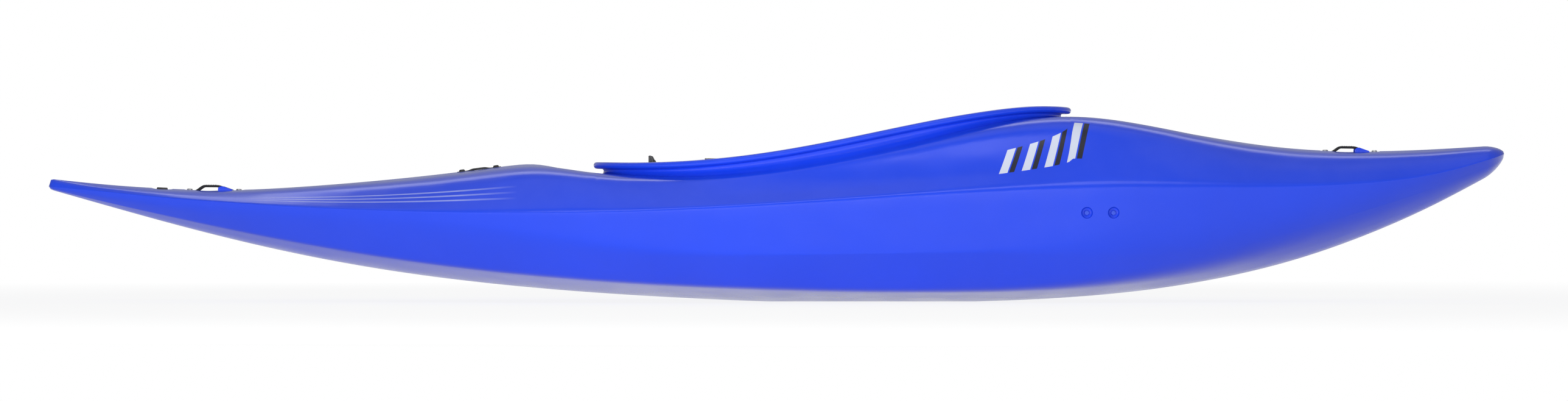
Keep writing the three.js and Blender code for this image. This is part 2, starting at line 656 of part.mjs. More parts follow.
const SIDES = [["left", 1], ["right", -1]];
const mirrored = (solid, side) => (side > 0 ? solid : solid.mirror([0, 1, 0]));

// The hull: outer skin, cavity, and the coaming.

function wholeRing(x, steps, inset) {
  const { points } = halfSection(x, steps, inset);
  const near = points.map(([y, z]) => [x, -y, z]);
  const far = points.slice(1, -1).reverse().map(([y, z]) => [x, y, z]);
  return [...near, ...far];
}

function skinStations() {
  const stern = -LENGTH / 2 + STERN_ROUNDING;
  const bow = LENGTH / 2 - BOW_ROUNDING;
  const stations = [];
  for (let k = NOSE_STATIONS - 1; k >= 1; k--) {
    stations.push(stern - STERN_ROUNDING * Math.sin((k / NOSE_STATIONS) * (Math.PI / 2)));
  }
  for (let k = 0; k <= SKIN_STATIONS; k++) stations.push(mix(stern, bow, k / SKIN_STATIONS));
  for (let k = 1; k <= NOSE_STATIONS; k++) {
    stations.push(bow + BOW_ROUNDING * Math.sin((k / (NOSE_STATIONS + 1)) * (Math.PI / 2)));
  }
  return stations;
}

function skinSolid() {
  const stern = -LENGTH / 2;
  const bow = LENGTH / 2;
  const rings = skinStations().map((x) => wholeRing(x, SKIN_STEPS, 0));
  return loftSolid(rings, [stern, 0, tipHeight(stern)], [bow, 0, tipHeight(bow)]);
}

function cavitySolid(inset) {
  const stern = xAt(CAVITY_END_SHARE) + inset - WALL;
  const bow = LENGTH / 2 - BOW_ROUNDING - (inset - WALL);
  const rings = [];
  for (let k = 0; k <= CAVITY_STATIONS; k++) {
    rings.push(wholeRing(mix(stern, bow, k / CAVITY_STATIONS), CAVITY_STEPS, inset));
  }
  return loftSolid(rings, ringMiddle(rings[0]), ringMiddle(rings[rings.length - 1]));
}

// The cockpit opening in plan: an egg, fuller behind the middle, offset outwards by a distance.
const cockpitX = xAt(COCKPIT_CENTRE_SHARE);
const openingHalfLength = COAMING_LENGTH / 2 - COAMING_LIP - COAMING_RISER;
const openingHalfWidth = BEAM / 2 - SIDE_DECK_WIDTH - COAMING_LIP - COAMING_RISER;

function openingPoint(turn, outwards) {
  const cos = Math.cos(turn);
  const sin = Math.sin(turn);
  const taper = 1 - COCKPIT_TAPER_SHARE * cos;
  const x = openingHalfLength * cos;
  const y = openingHalfWidth * sin * taper;
  const dx = -openingHalfLength * sin;
  const dy = openingHalfWidth * (cos * taper + COCKPIT_TAPER_SHARE * sin * sin);
  const size = Math.hypot(dx, dy);
  return [cockpitX + x + (outwards * dy) / size, y - (outwards * dx) / size];
}

function openingHalfWidthAt(x) {
  const cos = Math.max(-1, Math.min(1, (x - cockpitX) / openingHalfLength));
  return openingHalfWidth * Math.sqrt(1 - cos * cos) * (1 - COCKPIT_TAPER_SHARE * cos);
}

function coamingSolid() {
  const outer = COAMING_RISER + COAMING_LIP;
  const sections = [];
  for (let k = 0; k < COAMING_STEPS; k++) {
    const turn = (k / COAMING_STEPS) * Math.PI * 2;
    const point = (outwards, drop) => {
      const [x, y] = openingPoint(turn, outwards);
      return [x, y, rimAt(x) - drop];
    };
    const [footX, footY] = openingPoint(turn, COAMING_RISER);
    const footZ = deckAt(footX, footY) - WALL;
    const foot = (outwards) => [...openingPoint(turn, outwards), footZ];
    sections.push([
      foot(-WALL),
      foot(COAMING_RISER),
      point(COAMING_RISER, COAMING_LIP_THICKNESS),
      point(outer - LIP_ROUNDING, COAMING_LIP_THICKNESS),
      point(outer, COAMING_LIP_THICKNESS - LIP_ROUNDING),
      point(outer, LIP_ROUNDING),
      point(outer - LIP_ROUNDING, 0),
      point(-WALL, 0),
    ]);
  }
  return loopSolid(sections);
}

function openingCutter() {
  const outline = [];
  for (let k = 0; k < COAMING_STEPS; k++) outline.push(openingPoint((k / COAMING_STEPS) * Math.PI * 2, 0));
  const top = Math.max(...RIM_HEIGHT_SHARES.map((row) => row[1])) * DECK_HEIGHT + OVERRUN * 2;
  return planProfile(outline, OPENING_FLOOR_SHARE * DECK_HEIGHT, top);
}

// Places of the footrest's bolts and rails, which the hull's recesses share.

const footBoltStart = cockpitX + openingHalfLength + COAMING_RISER + FOOT_BOLT_GAP;
const footBoltXs = [0, 1].map((i) => footBoltStart + i * FOOT_BOLT_SPACING);
const footBoltZ = FOOT_BOLT_HEIGHT_SHARE * DECK_HEIGHT;
const footRecessFloors = footBoltXs.map((x) => sideAt(x, footBoltZ) - FOOT_RECESS_DEPTH);
const footRailStart = footBoltXs[0] - FOOT_RAIL_TAIL;
const footRailEnd = footRailStart + FOOT_RAIL_LENGTH;
const footRailOuter = sideAt(footRailEnd, footBoltZ, WALL) - FOOT_RAIL_GAP;
const footRailInner = footRailOuter - FOOT_RAIL_THICKNESS;

// Places of the thigh braces' bolts, which the bosses under the deck share.

const braceX = cockpitX + BRACE_FORWARD;
const braceRear = braceX - BRACE_LENGTH / 2;
const bracePitch = Math.atan2(rimAt(braceRear + BRACE_LENGTH) - rimAt(braceRear), BRACE_LENGTH);
const braceTabY = openingHalfWidthAt(braceRear) + COAMING_RISER;
const braceZ = deckAt(braceX, braceTabY + BRACE_TAB_WIDTH / 2, WALL) - BRACE_DECK_GAP;
const braceBoltOffsets = [-BRACE_BOLT_SPACING / 2, BRACE_BOLT_SPACING / 2];

// Moves a solid made flat about the brace's middle to its place, tilted with the rim.
function ontoBrace(solid) {
  return solid.rotate([0, THREE.MathUtils.radToDeg(-bracePitch), 0]).translate([braceX, 0, braceZ]);
}

// Deck fittings: what is added to the skin, cut out of it, and kept clear of the cavity.

const handlePocketFloor = -HANDLE_POCKET_DEPTH;
const handleEnd = HANDLE_LENGTH / 2;
const handleBoltOffsets = [-handleEnd + HANDLE_FOOT_LENGTH / 2, handleEnd - HANDLE_FOOT_LENGTH / 2];
const handlePlaces = [
  ["stern_handle", xAt(STERN_HANDLE_SHARE)],
  ["bow_handle", xAt(BOW_HANDLE_SHARE)],
];
const barX = xAt(BAR_SHARE);
const barBoltOffsets = [-BAR_BOLT_SPACING / 2, BAR_BOLT_SPACING / 2];
const drainX = xAt(DRAIN_SHARE);
const drainFloor = -DRAIN_RECESS_DEPTH;

function handleRecess(grow) {
  const halfLength = handleEnd + CLEARANCE + grow;
  const halfWidth = HANDLE_WIDTH / 2 + CLEARANCE + grow;
  const floor = handlePocketFloor - grow;
  const pocket = boxSolid(-halfLength, halfLength, -halfWidth, halfWidth, floor, OVERRUN * 3);
  const scoop = ellipsoidSolid(
    -SCOOP_BACK, 0, SCOOP_LENGTH + 2 * grow, SCOOP_WIDTH + 2 * grow, SCOOP_DEPTH + grow,
  );
  return join(pocket, scoop);
}

// Two ramps beside the handle's forward leg.
function handleCheeks() {
  const inner = HANDLE_WIDTH / 2 + CLEARANCE;
  const outline = [
    [CHEEK_START, -HANDLE_POCKET_DEPTH * 2], [CHEEK_END, -HANDLE_POCKET_DEPTH * 2], [CHEEK_END, 0],
    [CHEEK_START + CHEEK_THICKNESS, CHEEK_HEIGHT], [CHEEK_START, CHEEK_HEIGHT / 2],
  ];
  const ramp = sideProfile(outline, inner, inner + CHEEK_THICKNESS);
  return [ramp, mirrored(ramp, -1)];
}

function barRecess(grow) {
  const halfLength = BAR_BOLT_SPACING / 2 + BAR_FOOT_RADIUS + CLEARANCE + grow;
  const halfWidth = BAR_WIDTH / 2 + CLEARANCE + grow;
  const floor = -BAR_POCKET_DEPTH - grow;
  const pocket = boxSolid(-halfLength, halfLength, -halfWidth, halfWidth, floor, OVERRUN * 2);
  const scoopSize = [BAR_SCOOP_LENGTH + 2 * grow, BAR_SCOOP_WIDTH + 2 * grow, BAR_SCOOP_DEPTH + grow];
  return join(pocket, ellipsoidSolid(0, 0, ...scoopSize));
}

function drainRecess(grow) {
  return barAlongZ(0, 0, DRAIN_RECESS_RADIUS + grow, drainFloor - grow, OVERRUN * 2, 20);
}

function footRecess(i, side, grow) {
  const floor = footRecessFloors[i] - grow;
  return barAlongY(footBoltXs[i], footBoltZ, FOOT_RECESS_RADIUS + grow, side * floor, side * halfBeam, 16);
}

// Everything that the cavity gives way to, so that the wall keeps its thickness behind each recess.
function cavityBlocks(grow) {
  const blocks = handlePlaces.map(([, x]) => ontoDeck(handleRecess(grow), x));
  blocks.push(ontoDeck(barRecess(grow), barX), ontoDeck(drainRecess(grow), drainX));
  for (const side of [1, -1]) {
    for (const i of [0, 1]) blocks.push(footRecess(i, side, grow));
  }
  return blocks;
}

function braceBosses() {
  const bosses = [];
  const low = BRACE_THICKNESS + CLEARANCE;
  for (const [, side] of SIDES) {
    for (const offset of braceBoltOffsets) {
      bosses.push(ontoBrace(barAlongZ(offset, side * braceTabY, BRACE_BOSS_RADIUS, low, BRACE_BOSS_REACH)));
    }
  }
  return bosses;
}

function hullSolid() {
  let skin = skinSolid();
  for (const [, x] of handlePlaces) {
    skin = cut(skin, ontoDeck(handleRecess(0), x));
    skin = join(skin, ...handleCheeks().map((ramp) => ontoDeck(ramp, x)));
  }
  skin = cut(skin, ontoDeck(barRecess(0), barX), ontoDeck(drainRecess(0), drainX));
  const cavity = cut(cavitySolid(WALL), ...cavityBlocks(WALL));
  let hull = cut(skin, cavity, openingCutter());
  const bosses = braceBosses().map((boss) => boss.intersect(skinSolid()));
  hull = join(hull, ...bosses.map((boss) => cut(boss, openingCutter())));
  const hole = BOLT_RADIUS + CLEARANCE;
  for (const side of [1, -1]) {
    for (const i of [0, 1]) {
      hull = cut(hull, footRecess(i, side, 0));
      const inside = side * (footRecessFloors[i] - WALL - OVERRUN);
      const outside = side * (footRecessFloors[i] + OVERRUN);
      hull = cut(hull, barAlongY(footBoltXs[i], footBoltZ, hole, inside, outside));
    }
    for (const offset of braceBoltOffsets) {
      const depth = BRACE_THICKNESS + braceThread + CLEARANCE;
      hull = cut(hull, ontoBrace(barAlongZ(offset, side * braceTabY, hole, 0, depth)));
    }
  }
  for (const [, x] of handlePlaces) {
    for (const offset of handleBoltOffsets) {
      const low = handlePocketFloor - WALL - OVERRUN;
      hull = cut(hull, ontoDeck(barAlongZ(offset, 0, hole, low, handlePocketFloor + OVERRUN), x));
    }
  }
  for (const offset of barBoltOffsets) {
    const low = -BAR_POCKET_DEPTH - WALL - OVERRUN;
    hull = cut(hull, ontoDeck(barAlongZ(offset, 0, hole, low, OVERRUN - BAR_POCKET_DEPTH), barX));
  }
  const drainHole = barAlongZ(
    0, 0, DRAIN_SLEEVE_RADIUS + CLEARANCE, drainFloor - WALL - OVERRUN, drainFloor + OVERRUN, 16,
  );
  return cut(hull, ontoDeck(drainHole, drainX));
}

// The hull and its coaming are one moulding on the boat. They are held as four pieces, parted across the
// boat behind and before the cockpit and under the coaming, with a hairline gap at each parting.
function addHull() {
  const whole = hullSolid();
  const reach = openingHalfLength + COAMING_RISER + PARTING_MARGIN;
  const ends = [-LENGTH, cockpitX - reach, cockpitX + reach, LENGTH];
  ["hull_stern", "hull_middle", "hull_bow"].forEach((name, i) => {
    const slab = boxSolid(ends[i] + CLEARANCE, ends[i + 1], -BEAM, BEAM, -DECK_HEIGHT, DECK_HEIGHT * 2);
    addPiece(name, whole.intersect(slab), "hull");
  });
  const deck = skinSolid().translate([0, 0, CLEARANCE]);
  addPiece("coaming", cut(coamingSolid(), deck, openingCutter()), "hull");
}

// How far the braces' screws go into their bosses.
const braceThread = 9;

// Foam pillars.

function pillarSolid(fromX, toX) {
  const blank = boxSolid(fromX, toX, -PILLAR_THICKNESS / 2, PILLAR_THICKNESS / 2, 0, DECK_HEIGHT);
  const room = cut(cavitySolid(WALL + CLEARANCE), ...cavityBlocks(WALL + CLEARANCE));
  const screws = [...handlePlaces.map(([, x]) => [x, handleBoltOffsets]), [barX, barBoltOffsets]];
  const screwRoom = screws.flatMap(([x, offsets]) => offsets.map((offset) => ontoDeck(
    barAlongZ(offset, 0, BOLT_RADIUS + BOLT_TIP, -DECK_BOLT_LENGTH - OVERRUN, 0, 8), x,
  )));
  return cut(blank.intersect(room), ...screwRoom);
}

// Deck fittings as pieces, each made about its own place on the deck.

function uprightHoles(offsets, low, high) {
  const radius = BOLT_RADIUS + CLEARANCE;
  return offsets.map((offset) => barAlongZ(offset, 0, radius, low - OVERRUN, high + OVERRUN));
}

const deckScrew = () => screwSolid(WIDE_HEAD_RADIUS, DECK_BOLT_HEAD_HEIGHT, BOLT_RADIUS, DECK_BOLT_LENGTH);

function handleSolid() {
  const low = handlePocketFloor + CLEARANCE;
  const foot = low + HANDLE_THICKNESS * 0.75;
  const under = HANDLE_RISE - HANDLE_THICKNESS;
  const rear = -handleEnd + HANDLE_FOOT_LENGTH;
  const fore = handleEnd - HANDLE_FOOT_LENGTH;
  const outline = [
    [-handleEnd, low], [rear, low],
    [-HANDLE_PLATEAU_START, under], [HANDLE_PLATEAU_END, under],
    [fore, low], [handleEnd, low], [handleEnd, foot], [fore + HANDLE_THICKNESS / 2, foot],
    [HANDLE_PLATEAU_END + HANDLE_THICKNESS, HANDLE_RISE - HANDLE_THICKNESS * 0.3],
    [HANDLE_PLATEAU_END, HANDLE_RISE], [-HANDLE_PLATEAU_START, HANDLE_RISE],
    [rear - HANDLE_THICKNESS / 2, foot], [-handleEnd, foot],
  ];
  const body = sideProfile(outline, -HANDLE_WIDTH / 2, HANDLE_WIDTH / 2);
  return cut(body, ...uprightHoles(handleBoltOffsets, low, foot));
}

function addDeckFittings() {
  const foot = handlePocketFloor + CLEARANCE + HANDLE_THICKNESS * 0.75;
  for (const [name, x] of handlePlaces) {
    addPiece(name, ontoDeck(handleSolid(), x), "rubber");
    handleBoltOffsets.forEach((offset, i) => {
      const placed = deckScrew().translate([offset, 0, foot + CLEARANCE]);
      addPiece(name + "_bolt_" + (i + 1), ontoDeck(placed, x), "steel");
    });
  }
  const low = -BAR_POCKET_DEPTH + CLEARANCE;
  const top = low + BAR_THICKNESS;
  const under = BAR_RISE - BAR_THICKNESS;
  const far = BAR_BOLT_SPACING / 2 + BAR_FOOT_RADIUS;
  const near = BAR_BOLT_SPACING / 2 - BAR_FOOT_RADIUS;
  const outline = [
    [-far, low], [-near, low], [-BAR_FOOT_RADIUS, under],
    [BAR_FOOT_RADIUS, under], [near, low], [far, low],
    [far, top], [near, top], [BAR_FOOT_RADIUS, BAR_RISE],
    [-BAR_FOOT_RADIUS, BAR_RISE], [-near, top], [-far, top],
  ];
  const bar = sideProfile(outline, -BAR_WIDTH / 2, BAR_WIDTH / 2);
  addPiece("security_bar", ontoDeck(cut(bar, ...uprightHoles(barBoltOffsets, low, top)), barX), "moulded");
  barBoltOffsets.forEach((offset, i) => {
    const placed = deckScrew().translate([offset, 0, top + CLEARANCE]);
    addPiece("security_bar_bolt_" + (i + 1), ontoDeck(placed, barX), "moulded");
  });
}

// A body of revolution about Z from a profile of [radius, height], and its placing at the drain.
function turnedSolid(profile, sides) {
  const body = new THREE.LatheGeometry(profile.map(([r, z]) => new THREE.Vector2(r, z)), sides);
  body.rotateX(Math.PI / 2);
  return toSolid(body);
}

function addDrain() {
  const low = drainFloor + CLEARANCE;
  const flangeTop = low + DRAIN_FLANGE_THICKNESS;
  const sleeveEnd = low - DRAIN_SLEEVE_LENGTH;
  const sides = 20;
  const bushing = turnedSolid([
    [DRAIN_BORE_RADIUS, sleeveEnd], [DRAIN_SLEEVE_RADIUS, sleeveEnd], [DRAIN_SLEEVE_RADIUS, low],
    [DRAIN_FLANGE_RADIUS, low], [DRAIN_FLANGE_RADIUS, flangeTop], [DRAIN_BORE_RADIUS, flangeTop],
    [DRAIN_BORE_RADIUS, sleeveEnd],
  ], sides);
  addPiece("drain_bushing", ontoDeck(bushing, drainX), "moulded");
  const sealLow = flangeTop + CLEARANCE;
  const sealHigh = sealLow + DRAIN_SEAL_THICKNESS;
  const sealInner = DRAIN_BORE_RADIUS + CLEARANCE;
  const seal = turnedSolid([
    [sealInner, sealLow], [DRAIN_CAP_RADIUS, sealLow], [DRAIN_CAP_RADIUS, sealHigh], [sealInner, sealHigh],
    [sealInner, sealLow],
  ], sides);
  addPiece("drain_seal", ontoDeck(seal, drainX), "rubber");
  const capLow = sealHigh + CLEARANCE;
  const capHigh = capLow + DRAIN_CAP_THICKNESS;
  const thread = DRAIN_BORE_RADIUS - CLEARANCE;
  const plug = turnedSolid([
    [0, sleeveEnd], [thread, sleeveEnd], [thread, capLow],
    [DRAIN_CAP_RADIUS, capLow], [DRAIN_CAP_RADIUS, capHigh], [0, capHigh],
  ], sides);
  const gripHalf = DRAIN_CAP_RADIUS * 0.8;
  const gripWidth = DRAIN_GRIP_WIDTH / 2;
  const grip = boxSolid(-gripHalf, gripHalf, -gripWidth, gripWidth, capLow, capHigh + DRAIN_GRIP_HEIGHT);
  addPiece("drain_plug", ontoDeck(join(plug, grip), drainX), "moulded");
}

// Footrest.

function addFootrest() {
  const slotEnd = footRailEnd - FOOT_RAIL_SLOT_END;
  const slotStart = slotEnd - FOOT_RAIL_SLOT_LENGTH;
  const slotHalf = BOLT_RADIUS + CLEARANCE;
  const plateX = (slotStart + slotEnd) / 2;
  const halfHeight = FOOT_RAIL_HEIGHT / 2;
  const bossTip = footRailInner - FOOT_RAIL_BOSS_DEPTH;
  for (const [label, side] of SIDES) {
    const low = footBoltZ - halfHeight;
    const high = footBoltZ + halfHeight;
    const bar = boxSolid(footRailStart, footRailEnd, footRailInner, footRailOuter, low, high);
    const boss = (x) => barAlongY(x, footBoltZ, FOOT_RAIL_BOSS_RADIUS, bossTip, footRailOuter);
    const spacer = (x, i) => barAlongY(
      x, footBoltZ, FOOT_SPACER_RADIUS, footRailInner, footRecessFloors[i] - WALL - CLEARANCE,
    );
    const bosses = [...footBoltXs.map(boss), ...footBoltXs.map(spacer)];
    const holes = footBoltXs.map((x) => barAlongY(
      x, footBoltZ, BOLT_RADIUS + CLEARANCE, bossTip - OVERRUN, halfBeam,
    ));
    const slot = boxSolid(
      slotStart, slotEnd, bossTip, footRailOuter + OVERRUN, footBoltZ - slotHalf, footBoltZ + slotHalf,
    );
    addPiece("foot_rail_" + label, mirrored(cut(join(bar, ...bosses), ...holes, slot), side), "aluminium");
    footBoltXs.forEach((x, i) => {
      const floor = footRecessFloors[i];
      const shank = floor + CLEARANCE - bossTip + BOLT_TIP;
      const screw = screwSolid(BOLT_HEAD_RADIUS, BOLT_HEAD_HEIGHT, BOLT_RADIUS, shank).rotate([-90, 0, 0]);
      const placed = screw.translate([x, floor + CLEARANCE, footBoltZ]);
      addPiece("foot_bolt_" + label + "_" + (i + 1), mirrored(placed, side), "blueScrew");
    });
  }
  const flangeOuter = footRailInner - CLEARANCE;
  const flangeInner = flangeOuter - FOOT_FLANGE_THICKNESS;
  const low = footBoltZ - FOOT_PLATE_DROP;
  const high = low + FOOT_PLATE_HEIGHT;
  const inner = flangeOuter - FOOT_PLATE_CORNER_IN;
  const plateOutline = (inset) => [
    [-inner + inset / 2, low + inset], [inner - inset / 2, low + inset],
    [flangeOuter - inset, low + FOOT_PLATE_CORNER_UP + inset / 2],
    [flangeOuter - inset, high - FOOT_PLATE_CORNER_DOWN - inset / 2],
    [inner - inset / 2, high - inset], [-inner + inset / 2, high - inset],
    [-flangeOuter + inset, high - FOOT_PLATE_CORNER_DOWN - inset / 2],
    [-flangeOuter + inset, low + FOOT_PLATE_CORNER_UP + inset / 2],
  ];
  const flangeRear = plateX - FOOT_FLANGE_REAR;
  const plateFace = flangeRear + FOOT_FLANGE_LENGTH - FOOT_PLATE_THICKNESS;
  let plate = crossProfile(plateOutline(0), plateFace, plateFace + FOOT_PLATE_THICKNESS);
  for (const side of [1, -1]) {
    const flange = boxSolid(
      flangeRear, plateFace + FOOT_PLATE_THICKNESS, flangeInner, flangeOuter,
      footBoltZ - FOOT_FLANGE_HEIGHT / 2, footBoltZ + FOOT_FLANGE_HEIGHT / 2,
    );
    const radius = BOLT_RADIUS + CLEARANCE;
    const hole = barAlongY(plateX, footBoltZ, radius, flangeInner - OVERRUN, flangeOuter + OVERRUN);
    plate = join(plate, mirrored(cut(flange, hole), side));
  }
  addPiece("footrest_plate", plate, "aluminium");
  const foam = crossProfile(
    plateOutline(FOOT_FOAM_INSET), plateFace - CLEARANCE - FOOT_FOAM_THICKNESS, plateFace - CLEARANCE,
  );
  addPiece("footrest_foam", foam, "foam");
  for (const [label, side] of SIDES) {
    const length = FOOT_FLANGE_THICKNESS + FOOT_RAIL_THICKNESS + BOLT_TIP + CLEARANCE;
    const screw = screwSolid(WIDE_HEAD_RADIUS, BOLT_HEAD_HEIGHT, BOLT_RADIUS, length).rotate([90, 0, 0]);
    const placed = screw.translate([plateX, flangeInner - CLEARANCE, footBoltZ]);
    addPiece("footrest_bolt_" + label, mirrored(placed, side), "steel");
  }
  return plateFace + FOOT_PLATE_THICKNESS;
}

// Seat, its rails and its pads.

const seatRear = cockpitX - openingHalfLength + SEAT_REAR_GAP;
const seatFront = seatRear + SEAT_LENGTH;
const seatOuter = openingHalfWidth - SEAT_SIDE_GAP;
const seatInner = seatOuter - SEAT_THICKNESS;
const seatRailTop = floorAt(seatRear, SEAT_RAIL_SPREAD / 2, WALL) + SEAT_RAIL_HEIGHT;
const seatLow = seatRailTop + CLEARANCE;
const seatFloor = seatLow + SEAT_THICKNESS;
const seatBoltXs = [seatRear + SEAT_BOLT_INSET, seatFront - SEAT_BOLT_INSET];

function roundedTray(outer, low, radius, high) {
  const steps = 5;
  const points = [];
  for (let k = 0; k <= steps; k++) {
    const turn = (k / steps) * (Math.PI / 2);
    points.push([outer - radius + radius * Math.sin(turn), low + radius - radius * Math.cos(turn)]);
  }
  return [...points.map(([y, z]) => [-y, z]).reverse(), ...points, [outer, high], [-outer, high]];
}

function addSeat() {
  const rail = boxSolid(
    seatRear - SEAT_RAIL_EXTRA, seatFront + SEAT_RAIL_EXTRA, (SEAT_RAIL_SPREAD - SEAT_RAIL_WIDTH) / 2,
    (SEAT_RAIL_SPREAD + SEAT_RAIL_WIDTH) / 2, 0, seatRailTop,
  );
  const slotHalf = BOLT_RADIUS + CLEARANCE;
  const insertEnd = seatRailTop - SEAT_RAIL_HEIGHT * 0.7;
  const insert = (x) => barAlongZ(x, SEAT_RAIL_SPREAD / 2, slotHalf, insertEnd, seatRailTop + OVERRUN);
  const fitted = cut(rail.intersect(cavitySolid(WALL + CLEARANCE)), ...seatBoltXs.map(insert));
  for (const [label, side] of SIDES) addPiece("seat_rail_" + label, mirrored(fitted, side), "foam");

  const top = seatLow + SEAT_TOWER_HEIGHT;
  const tray = crossProfile(roundedTray(seatOuter, seatLow, SEAT_CORNER_RADIUS, top), seatRear, seatFront);
  const hollow = crossProfile(
    roundedTray(seatInner, seatFloor, SEAT_CORNER_RADIUS - SEAT_THICKNESS, top + OVERRUN),
    seatRear - OVERRUN, seatFront + OVERRUN,
  );
  const towerRear = seatRear + SEAT_TOWER_REAR;
  const towerFront = towerRear + SEAT_TOWER_LENGTH;
  const corner = SEAT_TOWER_REAR / 4;
  const silhouette = [
    [seatRear - OVERRUN, seatLow - OVERRUN], [seatFront + OVERRUN, seatLow - OVERRUN],
    [seatFront + OVERRUN, seatLow + SEAT_FRONT_HEIGHT],
    [seatFront - SEAT_FRONT_HEIGHT, seatLow + SEAT_FRONT_HEIGHT * 1.2],
    [mix(towerFront, seatFront, 0.45), seatLow + SEAT_SIDE_HEIGHT],
    [mix(towerFront, seatFront, 0.2), seatLow + SEAT_SIDE_HEIGHT * 1.35],
    [towerFront, top - corner], [towerFront - corner, top],
    [towerRear + corner, top], [towerRear, top - corner],
    [towerRear - SEAT_TOWER_REAR / 3, seatLow + SEAT_REAR_HEIGHT],
    [seatRear - OVERRUN, seatLow + SEAT_REAR_HEIGHT],
  ];
  const wide = seatOuter + OVERRUN;
  let seat = cut(tray, hollow).intersect(sideProfile(silhouette, -wide, wide));
  for (const [, side] of SIDES) {
    for (const x of seatBoltXs) {
      const y = side * SEAT_RAIL_SPREAD / 2;
      seat = cut(seat, boxSolid(
        x - SEAT_SLOT_LENGTH / 2, x + SEAT_SLOT_LENGTH / 2, y - slotHalf, y + slotHalf,
        seatLow - OVERRUN, seatFloor + OVERRUN,
      ));
    }
    seat = cut(seat, barAlongY(bandPivotX, bandPivotZ, slotHalf, side * (seatInner - OVERRUN), side * wide));
  }
  addPiece("seat_shell", seat, "moulded");
  for (const [label, side] of SIDES) {
    seatBoltXs.forEach((x, i) => {
      const shank = SEAT_THICKNESS + SEAT_RAIL_HEIGHT * 0.6;
      const screw = screwSolid(BOLT_HEAD_RADIUS, LOW_HEAD_HEIGHT, BOLT_RADIUS, shank);
      const placed = screw.translate([x, side * SEAT_RAIL_SPREAD / 2, seatFloor + CLEARANCE]);
      addPiece("seat_bolt_" + label + "_" + (i + 1), placed, "steel");
    });
  }

  const padLow = seatFloor + CLEARANCE + LOW_HEAD_HEIGHT + CLEARANCE;
  const padHalf = seatInner - SEAT_CORNER_RADIUS;
  const padAt = (u, v, z) => [
    mix(seatRear + SEAT_PAD_INSET, seatFront - SEAT_PAD_INSET, v), mix(-padHalf, padHalf, u), z,
  ];
  // Two thigh channels run forward, with the front edge raised between and beside them.
  const padTop = (u, v) => {
    const channel = Math.sin(Math.PI * 2 * Math.abs(2 * u - 1) - Math.PI / 2) * -0.5 + 0.5;
    const forward = THREE.MathUtils.smoothstep(v, 0.35, 1);
    return SEAT_PAD_THICKNESS * crowned(u, v, SEAT_PAD_EDGE_SHARE) + SEAT_PAD_RISE * forward * channel
      * crowned(u, v, 0);
  };
  const pad = panelSolid(
    (u, v) => padAt(u, v, padLow + padTop(u, v)), (u, v) => padAt(u, v, padLow), 16, 14,
  );
  addPiece("seat_pad", pad, "fabric");

  const hipX = seatRear + HIP_PAD_FORWARD;
  const hipZ = seatFloor + HIP_PAD_RISE;
  const hipPoint = (u, v, swell) => [
    mix(hipX, hipX + HIP_PAD_LENGTH, u), seatInner - CLEARANCE - swell, mix(hipZ, hipZ + HIP_PAD_HEIGHT, v),
  ];
  const hipSwell = (u, v) => HIP_PAD_THICKNESS * crowned(u, v, HIP_PAD_EDGE_SHARE);
  const hip = panelSolid((u, v) => hipPoint(u, v, hipSwell(u, v)), (u, v) => hipPoint(u, v, 0), 10, 8);
  for (const [label, side] of SIDES) addPiece("hip_pad_" + label, mirrored(hip, side), "fabric");
}

// Backband, its pivots and its straps.

const bandPivotX = seatRear + BAND_PIVOT_FORWARD;
const bandPivotZ = seatLow + BAND_PIVOT_HEIGHT;
const bandTop = BAND_TOP_SHARE * DECK_HEIGHT;
const bandRearX = seatRear - BAND_BEHIND_SEAT;
const bandHalfWidth = seatInner - CLEARANCE - BAND_CORE_THICKNESS / 2;

// A point of the band's middle surface, pushed back by a distance square to it.
function bandPoint(degrees, height, back) {
  const turn = THREE.MathUtils.degToRad(degrees);
  const x = bandRearX + BAND_DEPTH * (1 - Math.cos(turn));
  const y = bandHalfWidth * Math.sin(turn);
  const nx = Math.cos(turn) * bandHalfWidth;
  const ny = -Math.sin(turn) * BAND_DEPTH;
  const size = Math.hypot(nx, ny);
  return [x - (back * nx) / size, y - (back * ny) / size, height];
}

const ratchetZ = seatLow + SEAT_TOWER_HEIGHT - RATCHET_HEIGHT + RATCHET_RISE;
const ratchetStart = seatRear + SEAT_TOWER_REAR + (SEAT_TOWER_LENGTH - RATCHET_LENGTH) / 2;

